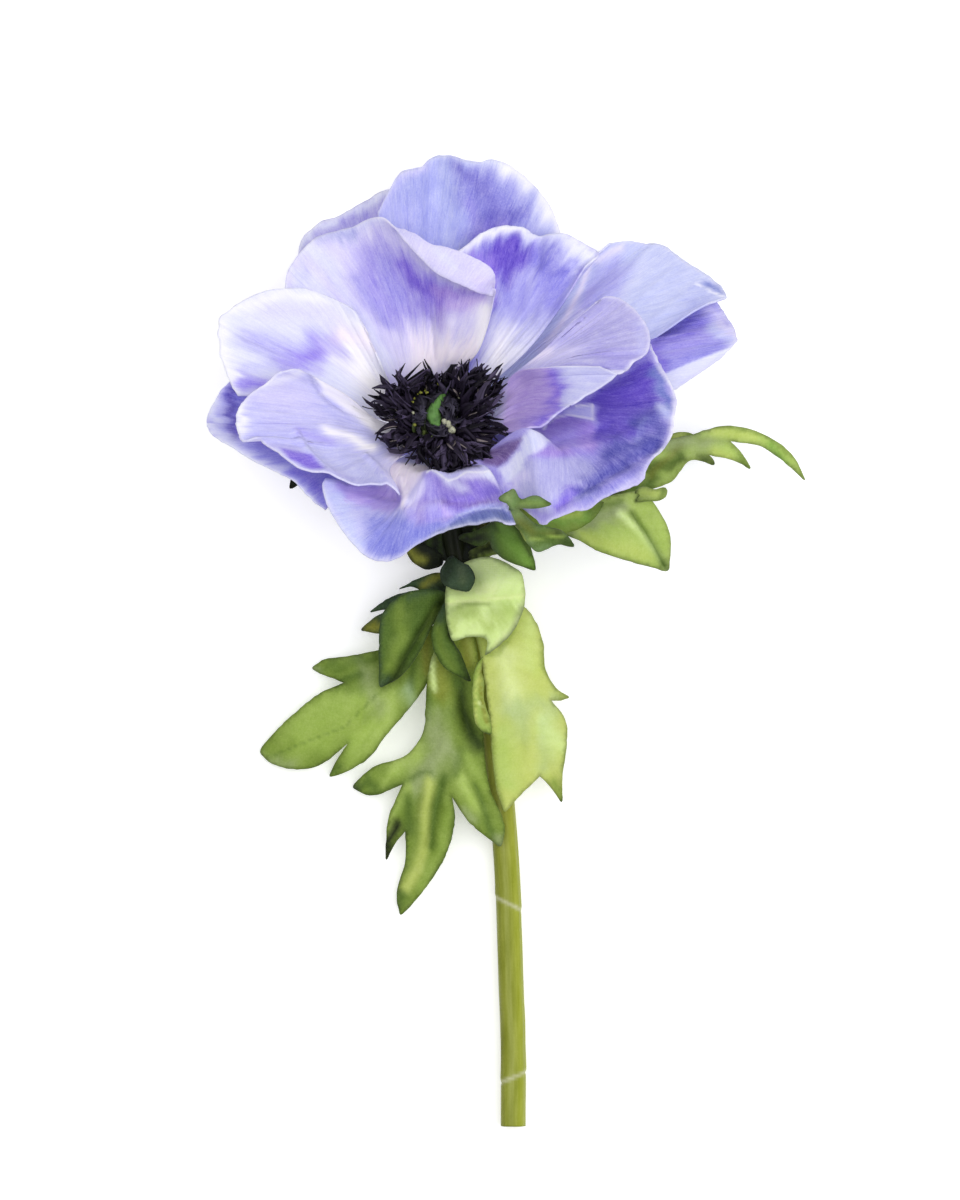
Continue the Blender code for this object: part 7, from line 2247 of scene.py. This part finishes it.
def add_curls(heap, random):
    """Curled scraps of cloth that lie round the dome in short arcs."""
    centre = BLOOM_AXIS[:2] * DOME_MIDDLE + DOME_SHIFT[:2]
    for number in range(CURL_COUNT):
        turn = random.uniform(0, math.tau)
        away = DOME_RADIUS * math.sqrt(random.uniform(*CURL_PLACES))
        heading = turn + random.choice([-1, 1]) * random.uniform(*CURL_HEADINGS)
        bend = random.uniform(*CURL_BENDS)
        place = centre + away * np.array([math.cos(turn), math.sin(turn) * CURL_SQUASH])
        path = []
        for step in range(CURL_STEPS):
            place = place + CURL_STEP * np.array([math.cos(heading), math.sin(heading)])
            heading += bend
            gap = np.linalg.norm(place - centre)
            if gap > DOME_RADIUS:
                place = centre + (place - centre) / gap * DOME_RADIUS
            arch = math.sin(math.pi * step / (CURL_STEPS - 1))
            path.append(on_dome(*place, CURL_LIFT + CURL_ARCH * arch))
        shade = random.uniform(*CURL_SHADES)
        tint = "curl"
        olive = np.linalg.norm(place - OLIVE_PLACE) < OLIVE_REACH
        if olive and random.uniform() < OLIVE_CHANCE:
            tint = "olive_curl"
        heap.strip(np.array(path), random.uniform(*CURL_WIDTHS), random.uniform(*CURL_FOLDS),
                   random.uniform(*CURL_TILTS), shade * colour_of(tint), number)


def add_tongue(heap, random):
    """The green tongue that crosses the dome."""
    spine = smooth_line(TONGUE, TONGUE_RINGS)
    points, shades = [], []
    for (x, y, width), run in zip(spine, directions_along(spine[:, :2])):
        side = np.array([-run[1], run[0]]) * 0.5 * width * random.uniform(*TONGUE_WIDTHS)
        for across, lift in TONGUE_SECTION:
            points.append(on_dome(*((x, y) + side * across), lift))
            # Painted light: the raised middle of the tongue is lighter than its sides and underside.
            painted_light = 0.5 + 0.65 * lift + random.uniform(-0.12, 0.12)
            shades.append(colour_of("tongue") * painted_light * random.uniform(*TONGUE_SHADES))
    sides = len(TONGUE_SECTION)
    faces = grid_faces(TONGUE_RINGS, sides, closed=True)
    faces.append(tuple(reversed(range(sides))))
    faces.append(tuple(range(len(points) - sides, len(points))))
    heap.add(points, faces, shades, points)


def add_grains(heap, random):
    """Pairs of yellow and cream grains among the curls."""
    for x, y, size, tint in GRAINS:
        for _ in range(2):
            shift = random.uniform(*GRAIN_SHIFTS, 2) * size
            colour = colour_of(tint) * random.uniform(*GRAIN_SHADES)
            place = on_dome(x + shift[0], y + shift[1], GRAIN_LIFT)
            heap.bead(place, GRAIN_RADIUS_SHARE * size, colour, random)


def make_pistil(material):
    """A dark dome wrapped in curled scraps, with a green tongue and pale grains."""
    random = np.random.RandomState(PISTIL_SEED)
    heap = Heap()
    add_dome(heap)
    add_curls(heap, random)
    add_tongue(heap, random)
    add_grains(heap, random)
    heap.make("pistil_curls", material, "pistil", "pistil")


def clear_of_petals(path, bowl):
    """Lifts a path off the petals where it would sink into them."""
    points, normals = bowl
    for _ in range(CLEARING_ROUNDS):
        gaps = np.linalg.norm(path[:, None] - points[None], axis=2)
        nearest = gaps.argmin(axis=1)
        height = ((path - points[nearest]) * normals[nearest]).sum(axis=1)
        push = np.clip(STRIP_CLEARANCE - height, 0, CLEARING_MOST)
        path = path + normals[nearest] * push[:, None]
    return path


def strip_path(x, y, lift, spread, crown, first, random):
    """A strip's line from its foot to its curled tip; the first of a bunch ends on its mark."""
    foot_height, root_radius, _ = crown
    loose = not first
    x, y = np.array([x, y]) + random.normal(0, 1, 2) * spread * loose
    # The strips climb with the bowl of the petals, more steeply on the near side.
    height = TIP_HEIGHT + TIP_CLIMB * math.hypot(x, y) ** TIP_CLIMB_POWER
    tip = np.array([x, y, height - TIP_SLANT * y + TIP_LIFT * lift])
    turn = bloom_angle(tip - BLOOM_AXIS * (tip @ BLOOM_AXIS), 0) + random.uniform(*FOOT_TURNS)
    foot_radius = root_radius * random.uniform(*FOOT_SHARES)
    foot = on_bloom(turn, foot_radius, foot_height - FOOT_SINK)
    share = random.uniform(*MIDDLE_SHARES)
    bulge = random.uniform(*MIDDLE_BULGES) * (1.0 if y > 1 else NEAR_SIDE_BULGE)
    middle = foot + share * (tip - foot) + BLOOM_AXIS * bulge
    middle += random.normal(0, MIDDLE_SPREAD, 3)
    reach = random.uniform(*LENGTH_SHARES) if loose else 1.0
    end = foot + reach * (tip - foot) + random.normal(0, END_SPREAD, 3)
    curl = end + END_CURL * (end - middle) + random.normal(0, TIP_SPREAD, 3) * loose
    return smooth_line([foot, middle, end, curl], STRIP_POINTS)


def make_stamens(name, crown, bowl, material):
    """A crown of pointed strips of cloth in untidy bunches round the pistil."""
    random = np.random.RandomState(crown[-1])
    heap = Heap()
    for x, y, lift, spread, count in STAMEN_BUNCHES[name]:
        for number in range(max(2, round(BUNCH_SHARE * count))):
            path = strip_path(x, y, lift, spread, crown, number == 0, random)
            path = clear_of_petals(path, bowl)
            colour = random.uniform(*STRIP_SHADES) * colour_of("strip")
            chance = random.uniform()
            # Some strips are painted lighter as highlights.
            if chance < HIGHLIGHT_BELOW:
                colour = random.uniform(*HIGHLIGHT_SHADES) * colour_of("strip_highlight")
            heap.strip(path, random.uniform(*STRIP_WIDTHS), random.uniform(*STRIP_FOLDS),
                       random.uniform(*STRIP_TILTS), colour, number)
            # Some carry a pale line of painted sheen along their middle.
            if chance > SHEEN_ABOVE:
                sheen_line = smooth_line(path[SHEEN_PART] + BLOOM_AXIS * SHEEN_LIFT, 5)
                colour = random.uniform(*SHEEN_SHADES) * colour_of("sheen_line")
                heap.strip(sheen_line, random.uniform(*SHEEN_WIDTHS), 0.1, 0.0, colour, number)
    heap.make(name + "_strips", material, name, "stamens")


# --- camera, light and floor ----------------------------------------------------------------

def make_floor():
    """A plain white floor that glows a little."""
    bpy.ops.mesh.primitive_plane_add(size=FLOOR_SIDE, location=(0, 0, 0))
    floor = bpy.context.object
    floor.name = "floor"
    shader = Shader("floor_white", 0.9, Specular_IOR_Level=0.0)
    place = shader.node("TexCoord").outputs["Object"]
    paper = shader.noise(place, (40.0, 40.0, 40.0), 3.0)
    colour = shader.mix(paper, (0.93, 0.93, 0.93, 1.0), (0.96, 0.96, 0.96, 1.0))
    shader.surface.inputs["Emission Color"].default_value = (1.0, 1.0, 1.0, 1.0)
    shader.surface.inputs["Emission Strength"].default_value = FLOOR_GLOW
    floor.data.materials.append(shader.finish(colour))


def make_light():
    """Soft white light from all round, and three lamps that point at the flower."""
    world = bpy.data.worlds.new("studio")
    world.use_nodes = True
    background = world.node_tree.nodes["Background"]
    background.inputs["Color"].default_value = (1.0, 1.0, 1.0, 1.0)
    background.inputs["Strength"].default_value = WORLD_STRENGTH
    bpy.context.scene.world = world
    for name, (place, size, power) in LAMPS.items():
        data = bpy.data.lights.new(name, "AREA")
        data.shape = "DISK"
        data.size = size
        data.energy = power
        lamp = bpy.data.objects.new(name, data)
        lamp.location = place
        lamp.rotation_euler = (-Vector(place)).to_track_quat("-Z", "Y").to_euler()
        bpy.context.scene.collection.objects.link(lamp)


def make_camera():
    """A camera high over the flower that looks straight down on it."""
    data = bpy.data.cameras.new("camera")
    data.sensor_width = SENSOR
    data.lens = SENSOR * CAMERA_DISTANCE / FRAME_HEIGHT
    camera = bpy.data.objects.new("camera", data)
    camera.location = (HEART + np.array([*CAMERA_OVER, CAMERA_DISTANCE])) * MM
    bpy.context.scene.collection.objects.link(camera)
    bpy.context.scene.camera = camera


def main():
    """Builds everything."""
    make_camera()
    make_light()
    make_floor()
    sides = [petal_material("petal_front_side", False), petal_material("petal_back_side", True)]
    lower = [make_petal(name, seed, sides) for seed, name in enumerate(PETALS, 1)]
    points, normals = (np.concatenate(part) for part in zip(*lower))
    near = np.linalg.norm(points, axis=1) < BOWL_REACH
    leaf = leaf_material("leaf_cloth")
    for seed, name in enumerate(LEAVES, 1):
        make_leaf(name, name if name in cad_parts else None, seed, leaf)
    stem = stem_material("stem_skin")
    make_stem(stem)
    make_receptacle(stem)
    make_pistil(stamen_material("pistil_cloth"))
    strips = stamen_material("stamen_cloth")
    for name, crown in STAMEN_CROWNS.items():
        make_stamens(name, crown, (points[near], normals[near]), strips)
    bpy.context.scene.view_settings.view_transform = "Standard"


main()
